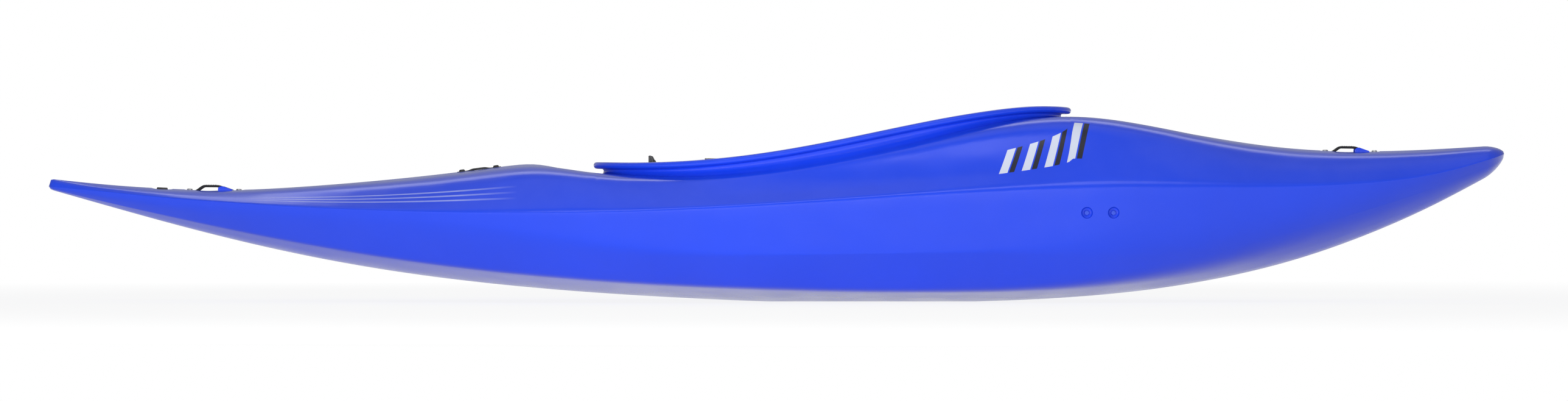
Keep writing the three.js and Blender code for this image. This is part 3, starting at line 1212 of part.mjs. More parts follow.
function addBackband() {
  const low = bandTop - BAND_HEIGHT;
  const sweep = BAND_SWEEP_DEGREES;
  const bandLow = (turn) => low + BAND_HEIGHT * BAND_END_RISE_SHARE * Math.abs(turn / sweep) ** 3;
  const bandHigh = (turn) => {
    const drop = THREE.MathUtils.smoothstep(Math.abs(turn), BAND_DROP_START_DEGREES, BAND_DROP_END_DEGREES);
    return bandTop - BAND_HEIGHT * BAND_END_DROP_SHARE * drop;
  };
  const corePoint = (back) => (u, v) => {
    const turn = mix(-sweep, sweep, u);
    return bandPoint(turn, mix(bandLow(turn), bandHigh(turn), v), back);
  };
  const coreHalf = BAND_CORE_THICKNESS / 2;
  const core = panelSolid(corePoint(-coreHalf), corePoint(coreHalf), BAND_STEPS, 2);
  const sweepTurn = THREE.MathUtils.degToRad(sweep);
  const endX = bandRearX + BAND_DEPTH * (1 - Math.cos(sweepTurn));
  const armOuter = seatInner - CLEARANCE;
  const armInner = armOuter - BAND_CORE_THICKNESS;
  const half = BAND_ARM_WIDTH / 2;
  const armTop = bandHigh(sweep);
  const armRear = endX - BAND_ARM_LAP;
  const armOutline = [
    [bandPivotX - half, bandPivotZ - half], [bandPivotX + half, bandPivotZ - half],
    [bandPivotX + half, bandPivotZ + half], [armRear + BAND_ARM_WIDTH, armTop - half],
    [armRear + half, armTop], [armRear, armTop], [armRear, bandLow(sweep)],
  ];
  const arm = cut(
    sideProfile(armOutline, armInner, armOuter),
    barAlongY(bandPivotX, bandPivotZ, BOLT_RADIUS + CLEARANCE, armInner - OVERRUN, armOuter + OVERRUN),
  );
  addPiece("backband_core", join(core, arm, mirrored(arm, -1)), "moulded");

  const padSweep = BAND_PAD_SWEEP_DEGREES;
  const padRim = BAND_PAD_THICKNESS / 3;
  const face = coreHalf + CLEARANCE;
  const padFace = (u, v) => -face - BAND_PAD_THICKNESS * crowned(u, v, BAND_PAD_EDGE_SHARE);
  const padPoint = (back) => (u, v) => {
    const turn = mix(-padSweep, padSweep, u);
    return bandPoint(turn, mix(bandLow(turn) + padRim, bandHigh(turn) - padRim, v), back(u, v));
  };
  const pad = panelSolid(padPoint(padFace), padPoint(() => -face), BAND_PAD_STEPS, 8);
  addPiece("backband_pad", pad, "fabric");

  for (const [label, side] of SIDES) {
    const length = SEAT_THICKNESS + BAND_CORE_THICKNESS + CLEARANCE * 2 + BOLT_TIP;
    const screw = screwSolid(BOLT_HEAD_RADIUS, BOLT_HEAD_HEIGHT, BOLT_RADIUS, length).rotate([90, 0, 0]);
    const placed = screw.translate([bandPivotX, armInner - CLEARANCE, bandPivotZ]);
    addPiece("backband_pivot_" + label, mirrored(placed, side), "steel");
    const strapOuter = armInner - CLEARANCE;
    const strapInner = strapOuter - STRAP_THICKNESS;
    const strapEnd = ratchetStart + RATCHET_LENGTH * 0.6;
    const strapZ = ratchetZ + RATCHET_HEIGHT / 2;
    const width = STRAP_WIDTH / 2;
    const rootX = endX + CLEARANCE;
    const rootZ = armTop - STRAP_WIDTH;
    const outline = [
      [rootX, rootZ - width], [rootX + width, rootZ - width],
      [ratchetStart, strapZ - width], [strapEnd, strapZ - width],
      [strapEnd, strapZ + width], [ratchetStart, strapZ + width], [rootX, rootZ + width],
    ];
    const strap = sideProfile(outline, strapInner, strapOuter);
    addPiece("backband_strap_" + label, mirrored(strap, side), "moulded");
  }
}

// Ratchet buckles on the hip towers.

function addRatchets() {
  const baseOuter = seatInner - CLEARANCE;
  const baseInner = baseOuter - RATCHET_BASE_THICKNESS;
  const cheekInner = baseOuter - RATCHET_CHEEK_DEPTH;
  const top = ratchetZ + RATCHET_HEIGHT;
  const pinX = ratchetStart + RATCHET_LENGTH - LEVER_PIN_INSET;
  const pinY = cheekInner + RATCHET_CHEEK_THICKNESS + LEVER_PIN_RADIUS;
  const ratchetEnd = ratchetStart + RATCHET_LENGTH;
  const cheekStart = ratchetStart + RATCHET_LENGTH / 2;
  const cheek = (low) => boxSolid(
    cheekStart, ratchetEnd, cheekInner, baseOuter, low, low + RATCHET_CHEEK_THICKNESS,
  );
  for (const [label, side] of SIDES) {
    const base = boxSolid(ratchetStart, ratchetEnd, baseInner, baseOuter, ratchetZ, top);
    const pinHole = barAlongZ(pinX, pinY, LEVER_PIN_RADIUS + CLEARANCE, ratchetZ - OVERRUN, top + OVERRUN);
    const body = cut(join(base, cheek(ratchetZ), cheek(top - RATCHET_CHEEK_THICKNESS)), pinHole);
    addPiece("ratchet_body_" + label, mirrored(body, side), "moulded");
    const pin = barAlongZ(pinX, pinY, LEVER_PIN_RADIUS, ratchetZ, top);
    addPiece("ratchet_pin_" + label, mirrored(pin, side), "steel");
    const gap = RATCHET_CHEEK_THICKNESS + CLEARANCE;
    const leverEnd = pinX + LEVER_PIN_RADIUS * 2;
    const half = LEVER_THICKNESS / 2;
    const blade = boxSolid(
      leverEnd - LEVER_LENGTH, leverEnd, pinY - half, pinY + half, ratchetZ + gap, top - gap,
    );
    const lever = cut(blade, pinHole);
    addPiece("ratchet_lever_" + label, mirrored(lever, side), "moulded");
  }
}

// Thigh braces.

function addThighBraces() {
  const half = BRACE_LENGTH / 2;
  const tab = braceTabY + BRACE_TAB_WIDTH / 2;
  const root = braceTabY - BRACE_TAB_WIDTH / 2;
  const reach = tab - BRACE_WIDTH - BRACE_TAB_WIDTH;
  const innerEdge = [];
  const steps = 8;
  for (let k = 0; k <= steps; k++) {
    const t = k / steps;
    innerEdge.push([mix(-half * 0.7, half, t), mix(root, reach, Math.sin(t * Math.PI / 2) ** 1.2)]);
  }
  const front = [
    [half * 1.02, reach + BRACE_TAB_WIDTH * 0.6],
    [half * 0.86, tab - BRACE_TAB_WIDTH * 0.9], [half * 0.6, tab],
  ];
  const outline = [[-half * 0.7, tab], ...innerEdge, ...front];
  const plate = planProfile(outline, 0, BRACE_THICKNESS);
  const hookOutline = [
    ...innerEdge, ...innerEdge.map(([x, y]) => [x - BRACE_THICKNESS * 0.2, y + BRACE_THICKNESS]).reverse(),
  ];
  const hook = planProfile(hookOutline, -BRACE_HOOK_DEPTH, BRACE_THICKNESS);
  const slotHalf = BOLT_RADIUS + CLEARANCE;
  const slotReach = BRACE_SLOT_LENGTH / 2;
  const slots = braceBoltOffsets.map((offset) => boxSolid(
    offset - slotReach, offset + slotReach, braceTabY - slotHalf, braceTabY + slotHalf,
    -OVERRUN, BRACE_THICKNESS + OVERRUN,
  ));
  const brace = cut(join(plate, hook), ...slots);
  const padEdge = innerEdge.map(([x, y]) => [x, y + BRACE_THICKNESS + CLEARANCE + BRACE_PAD_INSET * 0.3]);
  const padOutline = [
    ...padEdge.slice(2), [half * 0.86, tab - BRACE_TAB_WIDTH * 1.2], [half * 0.4, root - BRACE_PAD_INSET],
  ];
  const pad = planProfile(padOutline, -CLEARANCE - BRACE_PAD_THICKNESS, -CLEARANCE);
  for (const [label, side] of SIDES) {
    addPiece("thigh_brace_" + label, mirrored(ontoBrace(brace), side), "moulded");
    addPiece("thigh_pad_" + label, mirrored(ontoBrace(pad), side), "foam");
    braceBoltOffsets.forEach((offset, i) => {
      const shank = BRACE_THICKNESS + braceThread;
      const screw = screwSolid(WIDE_HEAD_RADIUS, BOLT_HEAD_HEIGHT, BOLT_RADIUS, shank);
      const placed = screw.rotate([180, 0, 0]).translate([offset, braceTabY, -CLEARANCE]);
      addPiece("thigh_bolt_" + label + "_" + (i + 1), mirrored(ontoBrace(placed), side), "steel");
    });
  }
}

addHull();
const footrestFront = addFootrest();
addSeat();
addBackband();
addRatchets();
addThighBraces();
addDeckFittings();
addDrain();
const rearPillarEnd = cockpitX - openingHalfLength - REAR_PILLAR_GAP + COAMING_RISER;
const rearPillarStart = drainX + DRAIN_RECESS_RADIUS + REAR_PILLAR_DRAIN_GAP;
addPiece("rear_pillar", pillarSolid(rearPillarStart, rearPillarEnd), "foam");
const slideRoom = FOOT_RAIL_SLOT_LENGTH / 2;
const frontPillarStart = footrestFront + slideRoom + FRONT_PILLAR_GAP;
const frontPillarEnd = LENGTH / 2 - FRONT_PILLAR_BOW_GAP;
addPiece("front_pillar", pillarSolid(frontPillarStart, frontPillarEnd), "foam");

export default kayak;
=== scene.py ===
"""A whitewater kayak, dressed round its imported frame.

The hull skin is a flat plate that the boat's lines bend into shape. Every fitting is built from its own named
sizes, and its place is read from the frame. All lengths are metres.
"""
import logging
import math
from collections.abc import Callable, Sequence
from dataclasses import dataclass
from enum import Enum
from functools import cached_property
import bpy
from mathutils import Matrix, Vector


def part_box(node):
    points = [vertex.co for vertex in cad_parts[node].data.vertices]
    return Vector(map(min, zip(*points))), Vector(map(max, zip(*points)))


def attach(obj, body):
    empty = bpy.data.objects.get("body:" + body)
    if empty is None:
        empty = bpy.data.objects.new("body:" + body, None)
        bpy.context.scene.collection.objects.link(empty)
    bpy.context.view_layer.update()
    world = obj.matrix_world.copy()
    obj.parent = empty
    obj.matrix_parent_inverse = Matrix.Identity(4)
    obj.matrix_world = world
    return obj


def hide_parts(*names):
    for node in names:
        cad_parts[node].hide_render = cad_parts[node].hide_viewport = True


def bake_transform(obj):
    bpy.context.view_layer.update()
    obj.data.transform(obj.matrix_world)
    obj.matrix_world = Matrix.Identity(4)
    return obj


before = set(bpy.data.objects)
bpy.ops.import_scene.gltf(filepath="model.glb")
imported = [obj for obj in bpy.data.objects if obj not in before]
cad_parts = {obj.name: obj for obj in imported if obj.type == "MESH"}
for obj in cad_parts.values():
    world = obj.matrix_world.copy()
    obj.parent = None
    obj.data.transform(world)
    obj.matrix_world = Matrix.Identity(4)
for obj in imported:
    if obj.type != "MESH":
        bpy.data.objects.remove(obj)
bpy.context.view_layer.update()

from types import SimpleNamespace

import bmesh
import bpy
import numpy as np
from mathutils import Matrix, Vector
from mathutils.bvhtree import BVHTree
from mathutils.kdtree import KDTree

log = logging.getLogger("kayak")

BMesh = bmesh.types.BMesh
Object = bpy.types.Object
Colour = tuple[float, float, float]
Flat = tuple[float, float]
Outline = Sequence[Flat]
Path = Sequence[Vector]
Recess = tuple[list[tuple[BMesh, BMesh]], list[BMesh]]

MERGE_DISTANCE = 1e-5
SHARP_DEGREES = 32.0
SMALL_SHARP_DEGREES = 40.0
CLEARANCE = 0.0003
BOLT_RADIUS = 0.003


class Side(Enum):
    """The paddler's left and right, with the sign of Y on each."""

    LEFT = 1
    RIGHT = -1

    @property
    def label(self) -> str:
        """The word used in the names of pieces."""
        return self.name.lower()


class End(Enum):
    """The two ends of the boat."""

    STERN = "stern"
    BOW = "bow"


def mix(a: float, b: float, share: float) -> float:
    """A value between two others, which may also be arrays."""
    return a + (b - a) * share


def ease(value: float, start: float, end: float) -> float:
    """A smooth step from 0 at start to 1 at end."""
    t = np.clip((value - start) / (end - start), 0.0, 1.0)
    return t * t * (3 - 2 * t)


# Shader graphs.


@dataclass(frozen=True)
class Wire:
    """One output of a shader node, which adds and multiplies as a number does."""

    graph: "Graph"
    socket: bpy.types.NodeSocket

    def math(self, operation: str, other: object = 0.0) -> "Wire":
        """One step of arithmetic, with a wire or a number as its second value."""
        return self.graph.wire("Math", {0: self, 1: other}, operation=operation)

    def __add__(self, other: object) -> "Wire":
        """The sum."""
        return self.math("ADD", other)

    def __sub__(self, other: object) -> "Wire":
        """The difference."""
        return self.math("SUBTRACT", other)

    def __mul__(self, other: object) -> "Wire":
        """The product."""
        return self.math("MULTIPLY", other)

    def most(self, other: object) -> "Wire":
        """The larger of the two."""
        return self.math("MAXIMUM", other)

    def clamped(self) -> "Wire":
        """The same sum or product, kept from 0 to 1."""
        self.socket.node.use_clamp = True
        return self

    def blend(self, first: object, second: object) -> "Wire":
        """A mix of two colours, with this wire as the share of the second."""
        return self.graph.wire("Mix", {0: self, 6: first, 7: second}, 2, data_type="RGBA")

    def spread(self, low: float, high: float, to_low: float = 0.0, to_high: float = 1.0) -> "Wire":
        """The range from low to high, stretched over another one."""
        return self.graph.wire("MapRange", {0: self, 1: low, 2: high, 3: to_low, 4: to_high}, clamp=True)

    def band(self, low: float, high: float, soft: float) -> "Wire":
        """A mask that is 1 from low to high, and 0 past its soft edges."""
        return self.spread(low - soft, low) * self.spread(high, high + soft, 1.0, 0.0)

    def noise(self, scale: object, detail: float = 2.0, roughness: float = 0.5) -> "Wire":
        """A cloud of soft noise at this place, with its scale in clouds to a metre."""
        inputs = {"Vector": self, "Scale": scale, "Detail": detail, "Roughness": roughness}
        return self.graph.wire("TexNoise", inputs)

    def mapped(self, rotation: Sequence[float], scale: Sequence[float]) -> "Wire":
        """This place, turned and stretched."""
        return self.graph.wire("Mapping", {"Vector": self, "Rotation": rotation, "Scale": scale})

    def axes(self) -> list["Wire"]:
        """The x, y and z of this place or direction."""
        return self.graph.wires("SeparateXYZ", {0: self})

    def bump(self, distance: float, strength: float = 1.0, normal: "Wire | None" = None) -> "Wire":
        """A normal tilted by this height, from another normal where one is given.

        Args:
            distance: Metres that a height of 1 stands for.
            strength: Share of the tilt that is used.
            normal: Normal to start from.

        Returns:
            The tilted normal.
        """
        start = {"Normal": normal} if normal else {}
        return self.graph.wire("Bump", {"Height": self, "Distance": distance, "Strength": strength, **start})


@dataclass(frozen=True)
class Graph:
    """A node tree that adds its nodes and feeds their inputs."""

    tree: bpy.types.NodeTree

    def feed(self, socket: bpy.types.NodeSocket, value: object) -> None:
        """Links one input to a wire, or sets it to a plain value.

        Args:
            socket: The input socket.
            value: A wire, a number, or a colour without its alpha.
        """
        if isinstance(value, Wire):
            self.tree.links.new(value.socket, socket)
        else:
            socket.default_value = (*value, 1.0) if socket.type == "RGBA" else value

    def add(self, kind: str, inputs: dict | None = None, **settings: object) -> bpy.types.Node:
        """Adds one node.

        Args:
            kind: Its type, without the ShaderNode prefix where it has that.
            inputs: Wires or values by input name or index.
            **settings: The node's properties.

        Returns:
            The new node.
        """
        node = self.tree.nodes.new(kind if kind.startswith("Node") else "ShaderNode" + kind)
        for key, value in settings.items():
            setattr(node, key, value)
        for key, value in (inputs or {}).items():
            self.feed(node.inputs[key], value)
        return node

    def wires(self, kind: str, inputs: dict | None = None, **settings: object) -> list[Wire]:
        """All outputs of a new node."""
        return [Wire(self, socket) for socket in self.add(kind, inputs, **settings).outputs]

    def wire(self, kind: str, inputs: dict | None = None, output: int | str = 0, **settings: object) -> Wire:
        """One output of a new node."""
        return Wire(self, self.add(kind, inputs, **settings).outputs[output])


@dataclass(frozen=True)
class Effect:
    """A shader node group that several finishes share, built by the function that it decorates."""

    build: Callable[..., dict[str, Wire]]

    @cached_property
    def tree(self) -> bpy.types.NodeTree:
        """The group's node tree, with an input for each of the function's arguments.

        Returns:
            The tree.
        """
        tree = bpy.data.node_groups.new(self.build.__name__, "ShaderNodeTree")
        for label in [name for name in self.build.__annotations__ if name != "return"]:
            kind = "NodeSocketVector" if label == "place" else "NodeSocketFloat"
            tree.interface.new_socket(label, in_out="INPUT", socket_type=kind)
        graph = Graph(tree)
        entry = graph.add("NodeGroupInput").outputs
        made = self.build(*(Wire(graph, socket) for socket in entry if socket.name))
        for label in made:
            tree.interface.new_socket(label, in_out="OUTPUT", socket_type="NodeSocketFloat")
        graph.add("NodeGroupOutput", made)
        return tree

    def __call__(self, place: Wire, **amounts: float) -> SimpleNamespace:
        """Puts the group into a material.

        Args:
            place: The point being shaded.
            **amounts: The group's other inputs by name.

        Returns:
            The group's outputs by name.
        """
        outputs = place.graph.add("Group", {"place": place, **amounts}, node_tree=self.tree).outputs
        return SimpleNamespace(**{socket.name: Wire(place.graph, socket) for socket in outputs})


@Effect
def mould_skin(place: Wire, wave_scale: Wire, pebble_scale: Wire, pebble_share: Wire) -> dict[str, Wire]:
    """The slow waves and fine pebble that a plastic skin takes from its mould.

    Args:
        place: The point being shaded.
        wave_scale: Waves to a metre.
        pebble_scale: Pebbles to a metre.
        pebble_share: Height of a pebble against a wave.

    Returns:
        The height, and a mask of the waves.
    """
    waves = place.noise(wave_scale, 1.0)
    pebble = place.noise(pebble_scale)
    return {"height": waves + pebble * pebble_share, "mask": waves.spread(0.35, 0.65)}


@Effect
def scuffs(place: Wire, amount: Wire) -> dict[str, Wire]:
    """Fine scratches in two directions, gathered in patches.

    Args:
        place: The point being shaded.
        amount: Strength of the scratches.

    Returns:
        Their mask.
    """
    lines = []
    for turn, stretch in ((0.25, 60.0), (-0.4, 48.0)):
        stretched = place.mapped((0.2, turn, turn), (1.0, stretch / 4, stretch))
        lines.append(stretched.noise(6.0, 3.0, 0.6).spread(0.66, 0.74))
    patches = place.noise(5.0).spread(0.5, 0.68)
    return {"mask": (lines[0].most(lines[1]) * patches * amount).clamped()}


@Effect
def edge_wear(place: Wire, amount: Wire) -> dict[str, Wire]:
    """Rubbed edges, broken up by noise.

    Args:
        place: The point being shaded.
        amount: Strength of the wear.

    Returns:
        Its mask.
    """
    edge = place.graph.wire("NewGeometry", output="Pointiness").spread(0.52, 0.6)
    broken = place.noise(90.0, 4.0, 0.65).spread(0.42, 0.6)
    return {"mask": (edge * broken * amount).clamped()}


@Effect
def dust(place: Wire, amount: Wire) -> dict[str, Wire]:
    """A thin settling of dust on faces that look up.

    Args:
        place: The point being shaded.
        amount: Strength of the dust.

    Returns:
        Its mask.
    """
    up = place.graph.wire("NewGeometry", output="Normal").axes()[2].spread(0.2, 1.0)
    cloud = place.noise(22.0, 5.0, 0.6).spread(0.35, 0.75)
    return {"mask": (up * cloud * amount).clamped()}


@Effect
def weave(place: Wire, yarns: Wire) -> dict[str, Wire]:
    """A plain weave of round yarns.

    Args:
        place: The point being shaded.
        yarns: Yarns to a metre.

    Returns:
        The height, and a mask of the yarns that lie on top.
    """
    x, y, z = place.graph.wire("VectorMath", {0: place, "Scale": yarns}, operation="SCALE").axes()
    across, along = x + z * 0.71, y + z * 0.71
    warp, weft = ((way * math.pi).math("SINE").math("ABSOLUTE") for way in (across, along))
    over = (across.math("FLOOR") + along.math("FLOOR")).math("MODULO", 2.0).math("ABSOLUTE")
    height = place.graph.wire("Mix", {0: over, 2: warp, 3: weft}, data_type="FLOAT")
    return {"height": height, "mask": over}


@Effect
def foam_cells(place: Wire, scale: Wire) -> dict[str, Wire]:
    """The closed cells of a cut foam block.

    Args:
        place: The point being shaded.
        scale: Cells to a metre.

    Returns:
        The height, and each cell's own tone.
    """
    distance, colour, *_ = place.graph.wires("TexVoronoi", {"Vector": place, "Scale": scale})
    return {"height": distance.spread(0.1, 0.7), "mask": place.graph.wire("SeparateColor", {0: colour})}


@Effect
def brushing(place: Wire) -> dict[str, Wire]:
    """Fine lines left by brushing along one direction.

    Args:
        place: The point being shaded.

    Returns:
        The height, and a mask of lines and blotches.
    """
    lines = place.mapped((0.0, 0.0, 0.0), (40.0, 900.0, 900.0)).noise(1.0, 3.0, 0.7)
    return {"height": lines, "mask": lines * 0.6 + place.noise(45.0, 3.0) * 0.4}


@dataclass(frozen=True)
class Finish:
    """One surface finish: its name, its slot in the record and its plain values."""

    name: str
    slot: str
    colour: Colour
    roughness: float = 0.5

    @cached_property
    def material(self) -> bpy.types.Material:
        """The finish as a material: the one that is loaded under its name, or else a new one.

        Returns:
            The material.
        """
        known = bpy.data.materials.get(self.name)
        if known:
            return known
        made = bpy.data.materials.new(self.name)
        made.use_nodes = True
        made.diffuse_color = (*self.colour, 1.0)
        graph = Graph(made.node_tree)
        shader = made.node_tree.nodes["Principled BSDF"]
        for label, value in self.dress(graph.wire("TexCoord", output="Object")).items():
            graph.feed(shader.inputs[label], value)
        return made

    def dress(self, place: Wire) -> dict[str, object]:
        """Wires the finish.

        Args:
            place: The point being shaded.

        Returns:
            The shader's inputs by name.
        """
        raise NotImplementedError

    def shade(self, factor: float, lift: float = 0.0) -> Colour:
        """The colour made darker or lighter, up to 1."""
        return tuple(min(1.0, part * factor + lift) for part in self.colour)

    def rough(self, mask: Wire, less: float, more: float, low: float = 0.0, high: float = 1.0) -> Wire:
        """The roughness, a little less where a mask is low and more where it is high."""
        return mask.spread(low, high, self.roughness - less, self.roughness + more)


@dataclass(frozen=True)
class HullPlastic(Finish):
    """Glossy rotomoulded polyethylene, with plain slanted bars and pinstripes as its only pattern."""

    deep_colour: Colour = (0.008, 0.044, 0.6)
    worn_colour: Colour = (0.3, 0.36, 0.85)
    bar_colour: Colour = (0.62, 0.66, 0.78)
    dark_bar_colour: Colour = (0.012, 0.012, 0.02)
    line_colour: Colour = (0.32, 0.38, 0.82)
    bars_start: float = 0.42
    bars_end: float = 0.6
    bars_spacing: float = 0.045
    bars_slant: float = 0.07
    stripes_start: float = -0.95
    stripes_end: float = -0.63

    def pattern(self, graph: Graph) -> tuple[Wire, Wire, Wire]:
        """Draws the bars on the foredeck's side and the pinstripes on the rear deck.

        Args:
            graph: The material's graph.

        Returns:
            The masks of the pale bars, the dark bars and the pinstripes.
        """
        along, up, _ = graph.wire("UVMap", uv_map="skin").axes()
        slanted = along - up * self.bars_slant
        bars = up.band(0.2, 0.46, 0.004) * slanted.band(self.bars_start, self.bars_end, 0.0006)
        phase = (slanted - self.bars_start).math("DIVIDE", self.bars_spacing).math("FRACT")
        pale, dark = bars * phase.band(0.06, 0.42, 0.012), bars * phase.band(0.5, 0.72, 0.012)
        stripes = along.band(self.stripes_start, self.stripes_end, 0.12)
        lines = [up.band(at, at + 0.012, 0.006) for at in (0.13, 0.19, 0.25)]
        return pale, dark, lines[0].most(lines[1]).most(lines[2]) * stripes

    def dress(self, place: Wire) -> dict[str, object]:
        """Wires the hull's plastic.

        Args:
            place: The point being shaded.

        Returns:
            The shader's inputs by name.
        """
        skin = mould_skin(place, wave_scale=11.0, pebble_scale=520.0, pebble_share=0.012)
        scratches, settled = scuffs(place, amount=0.08).mask, dust(place, amount=0.05).mask
        colour = place.noise(3.5, 3.0).spread(0.3, 0.7, 0.0, 0.35).blend(self.colour, self.deep_colour)
        pale, dark, lines = self.pattern(place.graph)
        colour = dark.blend(pale.blend(colour, self.bar_colour), self.dark_bar_colour)
        colour = (lines * 0.8).blend(colour, self.line_colour)
        return {
            "Base Color": (scratches * 0.2 + settled * 0.5).clamped().blend(colour, self.worn_colour),
            "Roughness": (skin.mask * 0.05 + self.roughness + scratches * 0.3).clamped(),
            "Normal": scratches.bump(-0.00004, 0.5, skin.height.bump(0.0016)),
            "Specular IOR Level": 0.4,
            "Coat Weight": 0.12,
            "Coat Roughness": 0.1,
        }


@dataclass(frozen=True)
class MouldedNylon(Finish):
    """Filled nylon with a fine spark texture and paler rubbed edges."""

    worn_colour: Colour = (0.09, 0.09, 0.095)

    def dress(self, place: Wire) -> dict[str, object]:
        """Wires the nylon.

        Args:
            place: The point being shaded.

        Returns:
            The shader's inputs by name.
        """
        skin = mould_skin(place, wave_scale=60.0, pebble_scale=1900.0, pebble_share=0.35)
        worn = edge_wear(place, amount=0.7).mask.most(dust(place, amount=0.12).mask)
        spark = (skin.mask * 0.3).blend(self.colour, self.worn_colour)
        return {
            "Base Color": worn.blend(spark, self.worn_colour),
            "Roughness": self.rough(skin.mask, 0.05, 0.08),
            "Normal": skin.height.bump(0.00016),
            "Specular IOR Level": 0.45,
        }


@dataclass(frozen=True)
class CellFoam(Finish):
    """Closed-cell foam, cut to shape, with open cells at its faces."""

    cells_per_metre: float = 800.0

    def dress(self, place: Wire) -> dict[str, object]:
        """Wires the foam.

        Args:
            place: The point being shaded.

        Returns:
            The shader's inputs by name.
        """
        cells = foam_cells(place, scale=self.cells_per_metre)
        soft = place.noise(30.0, 3.0)
        tone = cells.mask * 0.5 + soft * 0.5
        light = self.shade(2.1, 0.012)
        return {
            "Base Color": edge_wear(place, amount=0.5).mask.blend(tone.blend(self.colour, light), light),
            "Roughness": self.rough(tone, 0.07, 0.0),
            "Normal": (cells.height + soft * 2.0).bump(0.00028),
            "Specular IOR Level": 0.2,
        }


@dataclass(frozen=True)
class WovenFabric(Finish):
    """Coarse pack cloth: round yarns, lint, slightly faded high spots, painted shade between yarns."""

    yarns_per_metre: float = 1250.0
    faded_colour: Colour = (0.075, 0.078, 0.088)

    def dress(self, place: Wire) -> dict[str, object]:
        """Wires the cloth.

        Args:
            place: The point being shaded.

        Returns:
            The shader's inputs by name.
        """
        yarns = weave(place, yarns=self.yarns_per_metre)
        slub = place.noise(260.0, 4.0, 0.6)
        faded = place.noise(14.0, 3.0).spread(0.4, 0.75) * 0.35
        faded = faded.most(edge_wear(place, amount=0.6).mask) * slub.spread(0.3, 0.7)
        # Painted shade: where the weave's height is low, between the yarns, the colour is darkened to 0.35 of
        # the cloth's colour.
        return {
            "Base Color": faded.blend(yarns.height.blend(self.shade(0.35), self.colour), self.faded_colour),
            "Roughness": self.rough(slub, 0.1, 0.08),
            "Normal": (yarns.height + slub * 0.5).bump(0.00035),
            "Sheen Weight": 0.25,
            "Sheen Roughness": 0.45,
        }


@dataclass(frozen=True)
class SoftRubber(Finish):
    """Moulded rubber with a dry bloom."""

    bloom_colour: Colour = (0.06, 0.06, 0.062)

    def dress(self, place: Wire) -> dict[str, object]:
        """Wires the rubber.

        Args:
            place: The point being shaded.

        Returns:
            The shader's inputs by name.
        """
        skin = mould_skin(place, wave_scale=45.0, pebble_scale=1500.0, pebble_share=0.5)
        bloom = dust(place, amount=0.35).mask.most(edge_wear(place, amount=0.4).mask)
        return {
            "Base Color": bloom.blend(self.colour, self.bloom_colour),
            "Roughness": self.rough(skin.mask, 0.08, 0.06),
            "Normal": skin.height.bump(0.0001),
            "Specular IOR Level": 0.4,
        }


@dataclass(frozen=True)
class BareMetal(Finish):
    """Brushed or turned metal, duller where it has been handled."""

    tarnish_colour: Colour = (0.3, 0.29, 0.28)

    def dress(self, place: Wire) -> dict[str, object]:
        """Wires the metal.

        Args:
            place: The point being shaded.

        Returns:
            The shader's inputs by name.
        """
        brushed = brushing(place)
        tarnish = place.noise(120.0, 4.0).spread(0.45, 0.7) * 0.4
        colour = tarnish.blend(self.colour, self.tarnish_colour)
        return {
            "Base Color": edge_wear(place, amount=0.5).mask.blend(colour, self.shade(1.2)),
            "Roughness": self.rough(brushed.mask, 0.1, 0.15, 0.2, 0.8),
            "Normal": brushed.height.bump(0.00002),
            "Metallic": 1.0,
        }


@dataclass(frozen=True)
class CoatedScrew(Finish):
    """A screw with a coloured coat, rubbed bright at its edges."""

    bare_colour: Colour = (0.55, 0.57, 0.6)

    def dress(self, place: Wire) -> dict[str, object]:
        """Wires the coat.

        Args:
            place: The point being shaded.

        Returns:
            The shader's inputs by name.
        """
        wear = edge_wear(place, amount=0.8).mask
        mottle = place.noise(300.0, 3.0).spread(0.3, 0.7)
        return {
            "Base Color": wear.blend((mottle * 0.3).blend(self.colour, self.shade(0.6)), self.bare_colour),
            "Metallic": (wear * 0.6 + 0.3).clamped(),
            "Roughness": self.rough(mottle, 0.0, 0.12),
            "Normal": mottle.bump(0.00001),
        }


HULL = HullPlastic("hull_plastic", "hull", (0.01, 0.058, 0.74), 0.2)
MOULDED = MouldedNylon("black_nylon", "moulded", (0.018, 0.0185, 0.02), 0.46)
STRAP = MouldedNylon("strap_nylon", "moulded", (0.02, 0.021, 0.024), 0.38)
FOAM = CellFoam("grey_foam", "foam", (0.05, 0.051, 0.056), 0.95)
PILLAR_FOAM = CellFoam("pillar_foam", "foam", (0.05, 0.051, 0.056), 0.96, 520.0)
FABRIC = WovenFabric("pad_cloth", "fabric", (0.045, 0.046, 0.052), 0.86)
PIPING = WovenFabric("piping_cloth", "fabric", (0.012, 0.012, 0.014), 0.8, 1500.0, (0.05, 0.05, 0.055))
THREAD = WovenFabric("thread", "fabric", (0.09, 0.09, 0.1), 0.8, 2400.0, (0.14, 0.14, 0.15))
RUBBER = SoftRubber("black_rubber", "rubber", (0.011, 0.011, 0.012), 0.62)
STEEL = BareMetal("stainless_steel", "steel", (0.62, 0.62, 0.62), 0.3)
ALUMINIUM = BareMetal("brushed_aluminium", "aluminium", (0.55, 0.56, 0.58), 0.4)
BLUE_SCREW = CoatedScrew("blue_screw", "blue_screw", (0.04, 0.1, 0.8), 0.34)


# Making pieces.


def linked(name: str, mesh: bpy.types.Mesh) -> Object:
    """A new object in the scene, holding a mesh.

    Args:
        name: Its name.
        mesh: The mesh.

    Returns:
        The object.
    """
    made = bpy.data.objects.new(name, mesh)
    bpy.context.scene.collection.objects.link(made)
    return made


def solid(name: str, bm: BMesh) -> Object:
    """A new object in the scene, made of a bmesh, which is freed.

    Args:
        name: Its name.
        bm: The bmesh.

    Returns:
        The object.
    """
    mesh = bpy.data.meshes.new(name)
    bm.to_mesh(mesh)
    bm.free()
    return linked(name, mesh)


